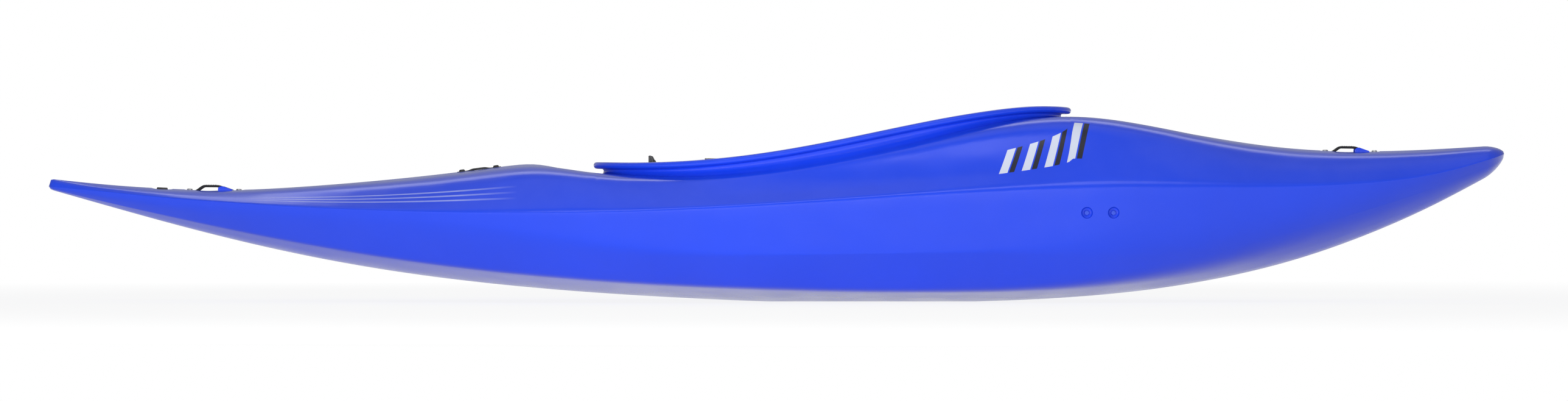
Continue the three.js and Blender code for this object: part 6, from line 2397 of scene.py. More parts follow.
def lobed(bm: BMesh, least_radius: float, lobes: int, depth: float) -> BMesh:
    """Draws lobes into the rim of a turned body.

    Args:
        bm: The body.
        least_radius: Points nearer to the axis stay.
        lobes: Number of lobes.
        depth: Share of the radius that a hollow takes away, on each side of its middle.

    Returns:
        The same body.
    """
    for v in bm.verts:
        if math.hypot(v.co.x, v.co.y) > least_radius:
            share = 1 - depth * (1 - math.cos(lobes * math.atan2(v.co.y, v.co.x)))
            v.co.x, v.co.y = v.co.x * share, v.co.y * share
    return bm


@dataclass(frozen=True)
class Footrest:
    """Two slotted rails bolted to the sides, and a padded plate that slides along them."""

    bolt_spacing: float = 0.053
    tail: float = 0.027
    height_share: float = 0.4775
    recess_radius: float = 0.011
    recess_depth: float = 0.009
    slot_length: float = 0.114
    slot_end: float = 0.008
    boss_radius: float = 0.007
    spacer_radius: float = 0.008
    rail_thickness: float = 0.004
    window_count: int = 5
    groove_count: int = 5
    groove_depth: float = 0.0035

    @property
    def height(self) -> float:
        """Height of the screws."""
        return self.height_share * LINES.deck_height

    @property
    def places(self) -> list[float]:
        """Where the screws are along the boat."""
        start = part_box("foot_rail_left")[0].x + self.tail
        return [start, start + self.bolt_spacing]

    def floor(self, x: float) -> float:
        """Half-width of a recess's floor."""
        return LINES.side_point(x, self.height) - self.recess_depth

    def recess(self) -> Recess:
        """The dimples of the screws on both sides.

        Returns:
            The recesses, and nothing raised.
        """
        pairs = []
        wall = LINES.wall
        radius, low, foot = self.recess_radius, -self.recess_depth, 0.0022
        for x in self.places:
            place = at(x, LINES.side_point(x, self.height), self.height, -1)
            top = -wall * 0.5 - fall(place, radius + wall)
            for side in Side:
                tool = turned([(0.0, low), (radius - foot * 1.6, low),
                               (radius - foot * 0.6, low + foot * 0.4),
                               (radius, low + foot), (radius + 0.001, -low), (0.0, -low)], 40)
                shell = turned([(0.0, low - wall), (radius + wall - foot, low - wall),
                                (radius + wall, low - wall + foot), (radius + wall, top), (0.0, top)], 40)
                pairs.append((placed(tool, place, side), placed(shell, place, side)))
        return pairs, []

    def bar(self, low: Vector, high: Vector, outer: float) -> BMesh:
        """A rail's bar, with its slot and its small windows.

        Args:
            low: Lowest corner of the rail.
            high: Its highest corner.
            outer: Half-width of the bar's outer face.

        Returns:
            The bar on the left side.
        """
        corners = box_outline((low.x, high.x), (low.z, high.z))
        outline = rounded_outline(corners, (high.z - low.z) * 0.22)
        half = self.slot_length / 2
        middle = high.x - self.slot_end - half
        holes = [slot_outline(middle, self.height, half, BOLT_RADIUS + CLEARANCE)]
        first, last = self.places[1] + 0.02, middle - half - 0.006
        for share in np.linspace(0, 1, self.window_count):
            holes.append(slot_outline(mix(first, last, share), self.height, 0.0036, 0.0024))
        return soften(placed(plate(outline, self.rail_thickness, holes), at(0, outer, 0, 1)), 0.0006, 2, 50.0)

    def rail(self, side: Side) -> None:
        """Makes one rail with its bosses and spacers, and its screws.

        Args:
            side: Where it goes.
        """
        node = "foot_rail_" + side.label
        low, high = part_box("foot_rail_left")
        step = 0.005
        shoulder = step + self.rail_thickness
        parts = [self.bar(low, high, low.y + shoulder)]
        hole = BOLT_RADIUS + CLEARANCE
        for x in self.places:
            deep = self.floor(x) - LINES.wall - CLEARANCE - low.y
            boss = turned([(hole, 0.0), (self.boss_radius - 0.001, 0.0), (self.boss_radius, 0.001),
                           (self.boss_radius, step), (self.spacer_radius, shoulder),
                           (self.spacer_radius, deep),
                           (hole, deep), (hole, 0.0)], 32)
            parts.append(placed(boss, at(x, low.y, self.height, -1)))
        publish(on_side(joined(*parts), side), node + "_bar", ALUMINIUM, "hull", node)
        for k, x in enumerate(self.places):
            under = self.floor(x) + CLEARANCE
            SMALL_SCREW.fit(f"foot_bolt_{side.label}_{k + 1}", under - low.y + 0.001,
                            at(x, under, self.height, -1), BLUE_SCREW, "hull", side)
        low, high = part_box("footrest_bolt_left")
        place = at((low.x + high.x) / 2, low.y + WIDE_SCREW.head_height, self.height, 1)
        WIDE_SCREW.fit(f"footrest_bolt_{side.label}", high.y - low.y - 0.004, place, STEEL, "footrest", side)

    def build(self) -> None:
        """Makes the rails, the plate and its grooved foam face."""
        for side in Side:
            self.rail(side)
        panel = soften(node_copy("footrest_plate"), 0.0012, 2)
        publish(panel, "footrest_panel", ALUMINIUM, "footrest", "footrest_plate")
        foam = node_copy("footrest_foam")
        low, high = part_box("footrest_foam")
        for k in range(1, self.groove_count + 1):
            height = mix(low.z, high.z, k / (self.groove_count + 1))
            for shift in (-0.0024, 0.0, 0.0024):
                geom = foam.verts[:] + foam.edges[:] + foam.faces[:]
                bmesh.ops.bisect_plane(foam, geom=geom, plane_co=(0, 0, height + shift), plane_no=(0, 0, 1))
            for v in foam.verts:
                if abs(v.co.z - height) < 1e-5 and v.co.x < low.x + 1e-4:
                    v.co.x += self.groove_depth
        face = publish(soften(foam, 0.0022, 3, 40.0), "footrest_cushion", FOAM, "footrest", "footrest_foam")


# Soft pads and the seat.


@dataclass(frozen=True)
class Stuffing:
    """How a cloth cover is blown tight over its foam."""

    voxel: float = 0.0048
    pressure: float = 4.0
    frames: int = 20
    cap: float = 0.004

    def swell(self, blank: Object, rest: np.ndarray, fixed: list[int]) -> np.ndarray:
        """Lets simulated cloth swell a blank.

        Args:
            blank: The blank.
            rest: Its points.
            fixed: Numbers of the points that stay where they are.

        Returns:
            The points that it ends with.
        """
        blank.vertex_groups.new(name="held").add(fixed, 1.0, "REPLACE")
        cloth = blank.modifiers.new("cloth", "CLOTH")
        cloth.settings.quality = 5
        cloth.settings.mass = 0.3
        cloth.settings.use_pressure = True
        cloth.settings.uniform_pressure_force = self.pressure
        cloth.settings.effector_weights.gravity = 0
        cloth.settings.vertex_group_mass = "held"
        cloth.point_cache.frame_end = self.frames
        for number in range(1, self.frames + 1):
            bpy.context.scene.frame_set(number)
        swollen = evaluated(blank)
        move = np.array([v.co for v in swollen.vertices]) - rest
        bpy.data.meshes.remove(swollen)
        blank.modifiers.clear()
        bpy.context.scene.frame_set(1)
        far = np.linalg.norm(move, axis=1)
        return rest + move * np.minimum(1.0, self.cap / np.maximum(far, 1e-9))[:, None]

    def fill(self, bm: BMesh, held: Callable[[Vector], bool]) -> BMesh:
        """Remeshes a blank, lets simulated cloth swell it, and smooths the result.

        Args:
            bm: The blank. It is freed.
            held: Tells which points stay where they are.

        Returns:
            The swollen pad.
        """
        blank = solid("pad_blank", bm)
        mesh = blank.data
        step = blank.modifiers.new("remesh", "REMESH")
        step.mode = "VOXEL"
        step.voxel_size = self.voxel
        even = evaluated(blank)
        blank.modifiers.clear()
        blank.data = even
        rest = np.array([v.co for v in even.vertices])
        rest = self.swell(blank, rest, [i for i, p in enumerate(rest) if held(Vector(p))])
        made = bmesh.new()
        made.from_mesh(even)
        for v, point in zip(made.verts, rest):
            v.co = point
        bpy.data.objects.remove(blank)
        for used in (even, mesh):
            bpy.data.meshes.remove(used)
        for _ in range(3):
            bmesh.ops.smooth_vert(made, verts=made.verts, factor=0.5, use_axis_x=True, use_axis_y=True,
                                  use_axis_z=True)
        bmesh.ops.subdivide_edges(made, edges=made.edges[:], cuts=1, use_grid_fill=True, smooth=0.6)
        return made


@dataclass(frozen=True)
class Upholstery:
    """How one soft pad is finished: filled, sewn, piped and published."""

    node: str
    body: str
    finish: Finish
    fill: float = 0.8
    stuffing: Stuffing = Stuffing()
    channel_depth: float = 0.0032
    channel_width: float = 0.0042
    piping_radius: float = 0.0017

    def make(self, blank: BMesh, held: Callable[[Vector], bool], seams: Sequence[Path] = (),
             piping: Path = ()) -> None:
        """Makes the pad, its stitches and its piping.

        Args:
            blank: The pad before it is filled. It is freed.
            held: Tells which points rest on the shell.
            seams: Sewn channels, as paths near the pad.
            piping: The piped edge, as a closed path near the pad.
        """
        pad = self.stuffing.fill(blank, held)
        threads = []
        for path in seams:
            line = dense(path)
            sew(pad, traced(pad, line)[0], self.channel_depth, self.channel_width)
            threads.append(stitches(*traced(pad, line)))
        edge = traced(pad, dense(piping, True, 0.004))[0] if piping else []
        piece = publish(pad, self.node + "_cover", self.finish, self.body, self.node, sharp=80.0)
        if threads:
            publish(joined(*threads), self.node + "_stitching", THREAD, self.body, sharp=60.0)
        if edge:
            publish(tube(edge, self.piping_radius), self.node + "_piping", PIPING, self.body, sharp=80.0)


def foam_piece(bm: BMesh, node: str) -> None:
    """Publishes a firm foam block of the hull."""
    piece = publish(bm, node + "_foam", PILLAR_FOAM, "hull", node)


def crowned(u: float, v: float, edge_share: float) -> float:
    """How full a pad is: 1 at the middle, falling to an edge share all round."""
    return mix(edge_share, 1.0, (1 - (2 * u - 1) ** 6) * (1 - (2 * v - 1) ** 6))


def squircle(a: float, b: float, pull: float) -> Flat:
    """A point of the square from -1 to 1, with the corners drawn in."""
    return a * math.sqrt(1 - pull * b * b), b * math.sqrt(1 - pull * a * a)


def square_loop(count: int) -> list[Flat]:
    """Points round the square from -1 to 1, at even turns."""
    loop = [(math.cos(math.tau * k / count), math.sin(math.tau * k / count)) for k in range(count)]
    return [(a / max(abs(a), abs(b)), b / max(abs(a), abs(b))) for a, b in loop]


@dataclass(frozen=True)
class Pad:
    """A pad's box in the frame, with the shares that its points are given by."""

    node: str
    pull: float
    swell: float = 0.003

    @cached_property
    def box(self) -> tuple[Vector, Vector]:
        """Its lowest and highest corners."""
        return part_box(self.node)

    @cached_property
    def middle(self) -> Vector:
        """Its middle."""
        return (self.box[0] + self.box[1]) / 2

    @cached_property
    def half(self) -> Vector:
        """Half of its size."""
        return (self.box[1] - self.box[0]) / 2


@dataclass(frozen=True)
class Seat:
    """The moulded seat on its two foam rails, with a sewn pad and two hip pads."""

    thickness: float = 0.005
    corner: float = 0.046
    tower_rear: float = 0.046
    tower_length: float = 0.092
    tower_corner: float = 0.016
    tower_lean: float = 0.0153
    front_height: float = 0.034
    side_height: float = 0.096
    rear_height: float = 0.112
    rail_spread: float = 0.12
    bolt_inset: float = 0.08
    slot_length: float = 0.062
    pivot_forward: float = 0.03
    pivot_height: float = 0.084
    pad_edge: float = 0.55
    pad_rise: float = 0.007
    pad: Pad = Pad("seat_pad", 0.12)
    hip: Pad = Pad("hip_pad_left", 0.3)
    hip_edge: float = 0.4

    @cached_property
    def box(self) -> tuple[Vector, Vector]:
        """The shell's lowest and highest corners."""
        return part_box("seat_shell")

    @property
    def height(self) -> float:
        """Height of the shell."""
        return self.box[1].z - self.box[0].z

    @property
    def outer(self) -> float:
        """Half of the shell's width."""
        return self.box[1].y

    @property
    def screw_places(self) -> Flat:
        """Where the screws are along the boat."""
        return self.box[0].x + self.bolt_inset, self.box[1].x - self.bolt_inset

    def rear_edge(self, height: float) -> float:
        """Where the wall starts.

        Args:
            height: Height over the seat's underside.

        Returns:
            The place along the boat.
        """
        past = (height - self.rear_height) / (self.height - self.rear_height)
        lean = self.tower_lean * min(1.0, max(0.0, past))
        share = float(ease(height, self.rear_height - 0.012, self.rear_height + 0.006))
        return self.box[0].x + (self.tower_rear - self.tower_lean) * share + lean + self.rounding(height)

    def front_edge(self, height: float) -> float:
        """Where the wall ends.

        Args:
            height: Height over the seat's underside.

        Returns:
            The place along the boat.
        """
        tower, front = self.box[0].x + self.tower_rear + self.tower_length, self.box[1].x
        heights = (self.front_height, self.front_height * 1.2, self.side_height, self.side_height * 1.35,
                   self.height)
        places = (front, front - self.front_height, mix(tower, front, 0.45), mix(tower, front, 0.2), tower)
        near = [np.interp(height + shift, heights, places) for shift in np.linspace(-0.012, 0.012, 9)]
        return float(np.mean(near)) - self.rounding(height)

    def rounding(self, height: float) -> float:
        """How far a tower's top corners are drawn in at one height."""
        over = (height - self.height + self.tower_corner) / self.tower_corner
        return self.tower_corner * (1 - math.sqrt(max(0.0, 1 - over * over))) if over > 0 else 0.0

    def section(self, reach: float, inwards: float) -> Flat:
        """A point of the tray's cross-section.

        Args:
            reach: Distance from the middle along the outer face.
            inwards: Depth below the outer face.

        Returns:
            The half-width and the height over the underside.
        """
        flat, arc = self.outer - self.corner, self.corner * math.pi / 2
        if reach < flat:
            return reach, inwards
        if reach < flat + arc:
            turn = (reach - flat) / self.corner
            radius = self.corner - inwards
            return flat + radius * math.sin(turn), self.corner - radius * math.cos(turn)
        return self.outer - inwards, self.corner + reach - flat - arc

    def wall(self, inwards: float) -> Callable:
        """One face of the tray.

        Args:
            inwards: Depth below the outer face.

        Returns:
            The point for each pair of shares.
        """
        whole = self.outer - self.corner + self.corner * math.pi / 2 + self.height - self.corner

        def point(u: float, v: float) -> tuple[float, float, float]:
            """A point of the face, for a share along and a share round.

            Args:
                u: Share along.
                v: Share round.

            Returns:
                The point.
            """
            reach = abs(2 * v - 1) * whole
            wide, height = self.section(reach, inwards)
            _, level_height = self.section(reach, 0.0)
            x = mix(self.rear_edge(level_height), self.front_edge(level_height), u)
            return x, math.copysign(wide, v - 0.5), self.box[0].z + height

        return point

    def shell(self) -> None:
        """Makes the moulded shell with its slots and pivot holes."""
        tray = soften(cushion(self.wall(self.thickness), self.wall(0.0), 36, 110), 0.0014, 2, 50.0)
        tools = []
        low, deep, half = self.box[0], self.thickness * 3, BOLT_RADIUS + CLEARANCE
        for y in (-self.rail_spread / 2, self.rail_spread / 2):
            for x in self.screw_places:
                slot = plate(slot_outline(x, y, self.slot_length / 2, half), deep)
                tools.append(placed(slot, at(0, 0, low.z - self.thickness)))
        place = at(low.x + self.pivot_forward, self.outer - 2 * self.thickness, low.z + self.pivot_height, -1)
        for side in Side:
            hole = turned([(0.0, 0.0), (half, 0.0), (half, deep), (0.0, deep)], 24)
            tools.append(placed(hole, place, side))
        tray = united(tray, *tools, cut=True)
        publish(tray, "seat_tray", MOULDED, "seat", "seat_shell", sharp=SMALL_SHARP_DEGREES)

    def seat_pad(self) -> None:
        """Makes the seat pad with its thigh channels."""
        (low, high), middle, half, pad = self.pad.box, self.pad.middle, self.pad.half, self.pad
        floor, tall = low.z, high.z - low.z - self.pad_rise

        def shape(lift: bool) -> Callable:
            """The pad's upper or lower face.

            Args:
                lift: Whether it is the upper one.

            Returns:
                The point for each pair of shares.
            """
            def point(u: float, v: float) -> tuple[float, float, float]:
                """A point of it, for a share along and a share across.

                Args:
                    u: Share along.
                    v: Share across.

                Returns:
                    The point.
                """
                a, b = squircle(2 * u - 1, 2 * v - 1, pad.pull)
                wide = 1 - 0.05 * math.sin(math.pi * u) ** 2
                channel = 0.5 - 0.5 * math.sin(math.tau * abs(2 * v - 1) - math.pi / 2)
                rise = self.pad_rise * float(ease(u, 0.35, 0.9)) * (1 - channel) * crowned(u, v, 0.0)
                full = tall * crowned(u, v, self.pad_edge) + rise
                return (middle.x + a * (half.x - pad.swell), b * wide * (half.y - pad.swell),
                        floor + (full if lift else 0.0005))
            return point

        def line(shares: Flat, across: Flat) -> list[Vector]:
            """A line over the pad's top, between shares of its length and of its half-width."""
            return [Vector((mix(low.x, high.x, mix(*shares, t)), mix(*across, t) * half.y, high.z))
                    for t in np.linspace(0, 1, 25)]

        thigh = (0.42, 0.93)
        seams = [line((0.4, 0.4), (-0.86, 0.86)), line((0.16, 0.16), (-0.8, 0.8)), line(thigh, (0.0, 0.0))]
        for sign in (-1, 1):
            seams.append(line(thigh, tuple(sign * mix(0.56, 0.62, share) for share in thigh)))
        edge = []
        for a, b in square_loop(96):
            a, b = squircle(a, b, pad.pull)
            edge.append(Vector((middle.x + a * half.x, b * half.y, floor + tall * 0.5)))
        blank = cushion(shape(True), shape(False), 30, 24)
        Upholstery("seat_pad", "seat", FABRIC, 0.7).make(blank, lambda p: p.z < floor + 0.002, seams, edge)

    def hip_pad(self, side: Side) -> None:
        """Makes one hip pad.

        Args:
            side: Where it goes.
        """
        (low, high), middle, half, swell = self.hip.box, self.hip.middle, self.hip.half, self.hip.swell
        thick = high.y - low.y

        def point(a: float, b: float, depth: float) -> Vector:
            """A point at shares from the middle, and a depth from the shell.

            Args:
                a: Share along.
                b: Share up.
                depth: The depth.

            Returns:
                The point.
            """
            a, b = squircle(a, b, self.hip.pull)
            drop = 0.16 * half.z * max(0.0, a) ** 2
            return Vector((middle.x + a * (half.x - swell), side.value * (high.y - depth),
                           middle.z + b * (half.z - swell) - drop * b))

        def face(u: float, v: float) -> Vector:
            """A point of the soft face."""
            return point(2 * u - 1, 2 * v - 1, (thick - swell) * crowned(u, v, self.hip_edge))

        def back(u: float, v: float) -> Vector:
            """A point of the back."""
            return point(2 * u - 1, 2 * v - 1, 0.0)

        square = square_loop(72)
        seam = [point(a * 0.66, b * 0.6, thick) for a, b in square + square[:1]]
        edge = [point(a * 1.02, b * 1.02, thick * 0.22) for a, b in square]
        Upholstery("hip_pad_" + side.label, "seat", FABRIC).make(
            cushion(face, back, 24, 18), lambda p: abs(p.y) > high.y - 0.0035, [seam], edge)

    def rail(self, side: Side) -> None:
        """Makes one foam rail and its two screws.

        Args:
            side: Where it goes.
        """
        rail = node_copy("seat_rail_" + side.label)
        bmesh.ops.triangulate(rail, faces=rail.faces[:])
        foam_piece(soften(rail, 0.0015, 2, 50.0), "seat_rail_" + side.label)
        for k, x in enumerate(self.screw_places):
            node = f"seat_bolt_{side.label}_{k + 1}"
            low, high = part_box(node)
            under = high.z - LOW_SCREW.head_height
            LOW_SCREW.fit(node, under - low.z, at(x, side.value * self.rail_spread / 2, under), STEEL, "hull")

    def build(self) -> None:
        """Makes the whole seat."""
        for side in Side:
            self.rail(side)
        self.shell()
        self.seat_pad()
        for side in Side:
            self.hip_pad(side)


@dataclass(frozen=True)
class Backband:
    """A padded band behind the seat, on two pivots and two ladder straps."""

    core_thickness: float = 0.004
    depth: float = 0.07
    height: float = 0.14
    sweep: float = 90.0
    pad_sweep: float = 56.25
    pad_thickness: float = 0.015
    pad_edge: float = 0.45
    end_rise: float = 0.2
    end_drop: float = 0.38
    drop_start: float = 16.0
    drop_end: float = 56.0
    arm_width: float = 0.026
    arm_lap: float = 0.004
    strap_width: float = 0.018
    tooth_pitch: float = 0.0032
    tooth_height: float = 0.0006
    bend_softness: float = 0.012
    swell: float = 0.0025

    @cached_property
    def box(self) -> tuple[Vector, Vector]:
        """The core's lowest and highest corners."""
        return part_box("backband_core")

    @cached_property
    def pivot(self) -> Vector:
        """The middle of the left pivot."""
        low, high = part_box("backband_pivot_left")
        return (low + high) / 2

    @property
    def rear(self) -> float:
        """Where the band's middle surface is furthest back."""
        return self.box[0].x + self.core_thickness / 2

    @property
    def half_width(self) -> float:
        """Half-width of the band's middle surface."""
        return self.box[1].y - self.core_thickness / 2

    def point(self, degrees: float, height: float, back: float) -> Vector:
        """A point of the band.

        Args:
            degrees: Turn round the band from its middle.
            height: Its height.
            back: Distance behind the middle surface.

        Returns:
            The point.
        """
        turn = math.radians(degrees)
        x = self.rear + self.depth * (1 - math.cos(turn))
        y = self.half_width * math.sin(turn)
        away = Vector((math.cos(turn) * self.half_width, -math.sin(turn) * self.depth)).normalized()
        return Vector((x - back * away.x, y - back * away.y, height))

    def low(self, degrees: float) -> float:
        """Height of the band's lower edge."""
        return self.box[1].z - self.height * (1 - self.end_rise * abs(degrees / self.sweep) ** 3)

    def high(self, degrees: float) -> float:
        """Height of the band's upper edge."""
        drop = float(ease(abs(degrees), self.drop_start, self.drop_end))
        return self.box[1].z - self.height * self.end_drop * drop

    def core(self) -> None:
        """Makes the moulded core with its two arms."""
        def face(back: float) -> Callable:
            """One face of the core.

            Args:
                back: Distance behind the middle surface.

            Returns:
                The point for each pair of shares.
            """
            def point(u: float, v: float) -> Vector:
                """A point of it."""
                degrees = mix(-self.sweep, self.sweep, u)
                return self.point(degrees, mix(self.low(degrees), self.high(degrees), v), back)
            return point

        half, reach = self.core_thickness / 2, self.arm_width / 2
        whole = soften(cushion(face(-half), face(half), 72, 8), 0.0012, 2, 50.0)
        end, top = self.rear + self.depth - self.arm_lap, self.high(self.sweep)
        x, z = self.pivot.x, self.pivot.z
        corners = [(x - reach, z - reach), (x + reach, z - reach), (x + reach, z + reach),
                   (end + self.arm_width, top - reach), (end + reach, top), (end, top),
                   (end, self.low(self.sweep))]
        arms = []
        for side in Side:
            arm = plate(rounded_outline(corners, 0.009), self.core_thickness - 2 * CLEARANCE,
                        [slot_outline(x, z, 0.0036, 0.0033)])
            arm = soften(placed(arm, at(0, self.box[1].y - CLEARANCE, 0, 1)), 0.0009, 2, 50.0)
            arms.append(on_side(arm, side))
        whole = united(whole, *arms)
        publish(whole, "backband_frame", MOULDED, "backband", "backband_core", sharp=SMALL_SHARP_DEGREES)

    def pad(self) -> None:
        """Makes the sewn pad on the band's face."""
        rim, start = self.pad_thickness / 3, self.core_thickness / 2 + CLEARANCE

        def point(a: float, b: float, out: float) -> Vector:
            """A point at shares from the middle, and a distance out from the core.

            Args:
                a: Share along.
                b: Share up.
                out: The distance.

            Returns:
                The point.
            """
            a, b = squircle(a, b, 0.16)
            degrees = a * self.pad_sweep * 0.98
            low, high = self.low(degrees) + rim, self.high(degrees) - rim
            return self.point(degrees, (low + high) / 2 + b * ((high - low) / 2 - self.swell), -start - out)

        def face(u: float, v: float) -> Vector:
            """A point of the soft face."""
            out = (self.pad_thickness - self.swell) * crowned(u, v, self.pad_edge)
            return point(2 * u - 1, 2 * v - 1, out)

        def back(u: float, v: float) -> Vector:
            """A point of the back."""
            return point(2 * u - 1, 2 * v - 1, 0.0)

        def held(p: Vector) -> bool:
            """Whether a point rests on the core."""
            turn = math.asin(max(-1.0, min(1.0, p.y / self.half_width)))
            return p.x < self.rear + self.depth * (1 - math.cos(turn)) + start + 0.0025

        seams = [[point(a, b, self.pad_thickness) for a in np.linspace(-0.94, 0.94, 80)]
                 for b in (-0.36, 0.3)]
        edge = [point(a * 1.01, b * 1.01, self.pad_thickness * 0.25) for a, b in square_loop(120)]
        blank = cushion(face, back, 48, 20)
        Upholstery("backband_pad", "backband", FABRIC, 0.75).make(blank, held, seams, edge)

    def pivots(self, side: Side) -> None:
        """Makes the screw that the band turns on.

        Args:
            side: Where it goes.
        """
        low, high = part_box("backband_pivot_left")
        under = low.y + SMALL_SCREW.head_height
        place = at(self.pivot.x, under, self.pivot.z, 1)
        SMALL_SCREW.fit("backband_pivot_" + side.label, high.y - under, place, STEEL, "seat", side)

    def strap(self, side: Side) -> None:
        """Makes one ladder strap, which bends between the band and the buckle.

        Args:
            side: Where it goes.
        """
        node = "backband_strap_" + side.label
        low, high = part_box("backband_strap_left")
        half = self.strap_width / 2
        root = Vector((low.x, 0, low.z + half))
        bend = Vector((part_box("ratchet_body_left")[0].x, 0, high.z - half))
        tip = Vector((high.x, 0, high.z - half))
        first, last = (bend - root).length, (tip - bend).length
        soft, whole = self.bend_softness, first + last

        def middle(u: float) -> Vector:
            """A point of the strap's centreline, with the bend softened but both ends in place.

            Args:
                u: Share along.

            Returns:
                The point.
            """
            reach = u * whole
            near = []
            for shift in np.linspace(-soft, soft, 9):
                run = min(max(reach + shift, 0.0), whole)
                spot = root.lerp(bend, run / first) if run < first else bend.lerp(tip, (run - first) / last)
                near.append(spot)
            point = sum(near, Vector()) / len(near)
            end, left = (root, reach) if u < 0.5 else (tip, whole - reach)
            return mix(end, point, min(1.0, left / soft))

        def face(toothed: bool) -> Callable:
            """The inner or outer face of the strap.

            Args:
                toothed: Whether it is the inner one.

            Returns:
                The point for each pair of shares.
            """
            def point(u: float, v: float) -> Vector:
                """A point of it.

                Args:
                    u: Share along.
                    v: Share across.

                Returns:
                    The point.
                """
                along = (middle(min(1.0, u + 0.01)) - middle(max(0.0, u - 0.01))).normalized()
                taper = 1 - 0.45 * max(0.0, (u - 0.93) / 0.07) ** 2
                spot = middle(u) + Vector((-along.z, 0, along.x)) * (mix(-half, half, v) * taper)
                high_half = u * whole / self.tooth_pitch % 1 < 0.5
                tooth = self.tooth_height if high_half and 0.2 < v < 0.8 and u > 0.15 else 0.0
                spot.y = low.y + self.tooth_height - tooth if toothed else high.y
                return spot
            return point

        steps = 4 * round(whole / self.tooth_pitch)
        strap = soften(cushion(face(True), face(False), steps, 10), 0.0003, 1, 60.0)
        piece = publish(on_side(strap, side), node + "_ladder", STRAP, None, node, sharp=30.0)
        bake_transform(piece)

    def build(self) -> None:
        """Makes the whole backband."""
        self.core()
        self.pad()
        for side in Side:
            self.pivots(side)
            self.strap(side)


@dataclass(frozen=True)
class RatchetBuckle:
    """A ratchet buckle on the inside of a hip tower."""

    side: Side
    base_thickness: float = 0.003
    cheek_thickness: float = 0.0025
    pin_radius: float = 0.002
    pin_inset: float = 0.009
    hub_radius: float = 0.0042
    lever_end: float = 0.0355
    guide: float = 0.005
    teeth: int = 14

    @cached_property
    def box(self) -> tuple[Vector, Vector]:
        """The body's lowest and highest corners on the left side."""
        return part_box("ratchet_body_left")

    @property
    def pin_place(self) -> Flat:
        """Where the pin is along and across the boat."""
        low, high = self.box
        return high.x - self.pin_inset, low.y + self.cheek_thickness + self.pin_radius

    def publish(self, bm: BMesh, part: str, label: str, finish: Finish, body: str) -> None:
        """Publishes one of the buckle's parts on its side."""
        node = f"ratchet_{part}_{self.side.label}"
        publish(on_side(bm, self.side), f"{node}_{label}", finish, body, node, sharp=SMALL_SHARP_DEGREES)

    def frame(self) -> None:
        """Makes the body: a base, two cheeks, a guide for the strap and two rivets."""
        (low, high), (pin_x, pin_y) = self.box, self.pin_place
        corners = box_outline((low.x, high.x), (low.z, high.z))
        base = plate(rounded_outline(corners, 0.007), self.base_thickness)
        parts = [soften(placed(base, at(0, high.y, 0, 1)), 0.0007, 2, 50.0)]
        start, thick = (low.x + high.x) / 2, self.cheek_thickness
        profile = rounded_outline([(start, high.y), (high.x, high.y), (high.x, low.y), (start + 0.011, low.y),
                                   (start + 0.004, low.y + 0.006)], 0.005)
        room = self.pin_radius + CLEARANCE
        hole = slot_outline(pin_x, pin_y, room + 0.0002, room)
        left, right = low.x + 0.001, low.x + self.guide
        for z in (low.z, high.z - thick):
            parts.append(soften(placed(plate(profile, thick, [hole]), at(0, 0, z)), 0.0005, 2, 50.0))
            post = block((left, high.y - 0.0095, z), (right, high.y - 0.001, z + thick))
            parts.append(soften(post, 0.0005, 2))
        bridge = block((left, high.y - 0.0096, low.z), (right, high.y - 0.0078, high.z))
        parts.append(soften(bridge, 0.0007, 2))
        for z in (low.z + 0.0052, high.z - 0.0052):
            rivet = turned([(0.0, 0.0), (0.0024, 0.0), (0.0024, 0.0004), (0.0016, 0.0009), (0.0, 0.001)], 20)
            parts.append(placed(rivet, at(high.x - 0.0048, high.y - self.base_thickness, z, 1)))
        self.publish(joined(*parts), "body", "frame", MOULDED, "seat")

    def pin(self) -> None:
        """Makes the pin."""
        (low, high), radius = self.box, self.pin_radius
        rod = turned([(0.0, low.z), (radius * 0.8, low.z), (radius, low.z + 0.0004),
                      (radius, high.z - 0.0004),
                      (radius * 0.8, high.z), (0.0, high.z)], 24)
        self.publish(placed(rod, at(*self.pin_place)), "pin", "rod", STEEL, "seat")

    def lever(self) -> None:
        """Makes the lever: a toothed hub and a blade with a ribbed end."""
        (low, high), (x, y) = self.box, self.pin_place
        bore, root, inset = self.pin_radius + CLEARANCE, self.hub_radius, self.cheek_thickness + CLEARANCE
        bottom, top = low.z + inset, high.z - inset
        profile = [(bore, bottom), (root, bottom), (root, top), (bore, top), (bore, bottom)]
        hub = turned(profile, self.teeth * 4)
        hub = placed(lobed(hub, root * 0.9, self.teeth, 0.07), at(x, y))
        end = x - self.lever_end
        grips = [(mix(end, end + 0.014, k / 8), y - 0.0026 - (0.0006 if k % 2 else 0.0)) for k in range(9)]
        blade = plate([(x - root * 0.8, y + 0.0022), (end + 0.012, y + 0.0026),
                       (end + 0.002, y + 0.0009), *grips,
                       (x - 0.014, y - 0.0012), (x - root * 0.8, y - 0.0022)], top - bottom)
        blade = soften(placed(blade, at(0, 0, bottom)), 0.0004, 1, 50.0)
        self.publish(joined(hub, blade), "lever", "blade", MOULDED, "ratchet_lever_" + self.side.label)

    def build(self) -> None:
        """Makes the body, the pin and the lever."""
        self.frame()
        self.pin()
        self.lever()


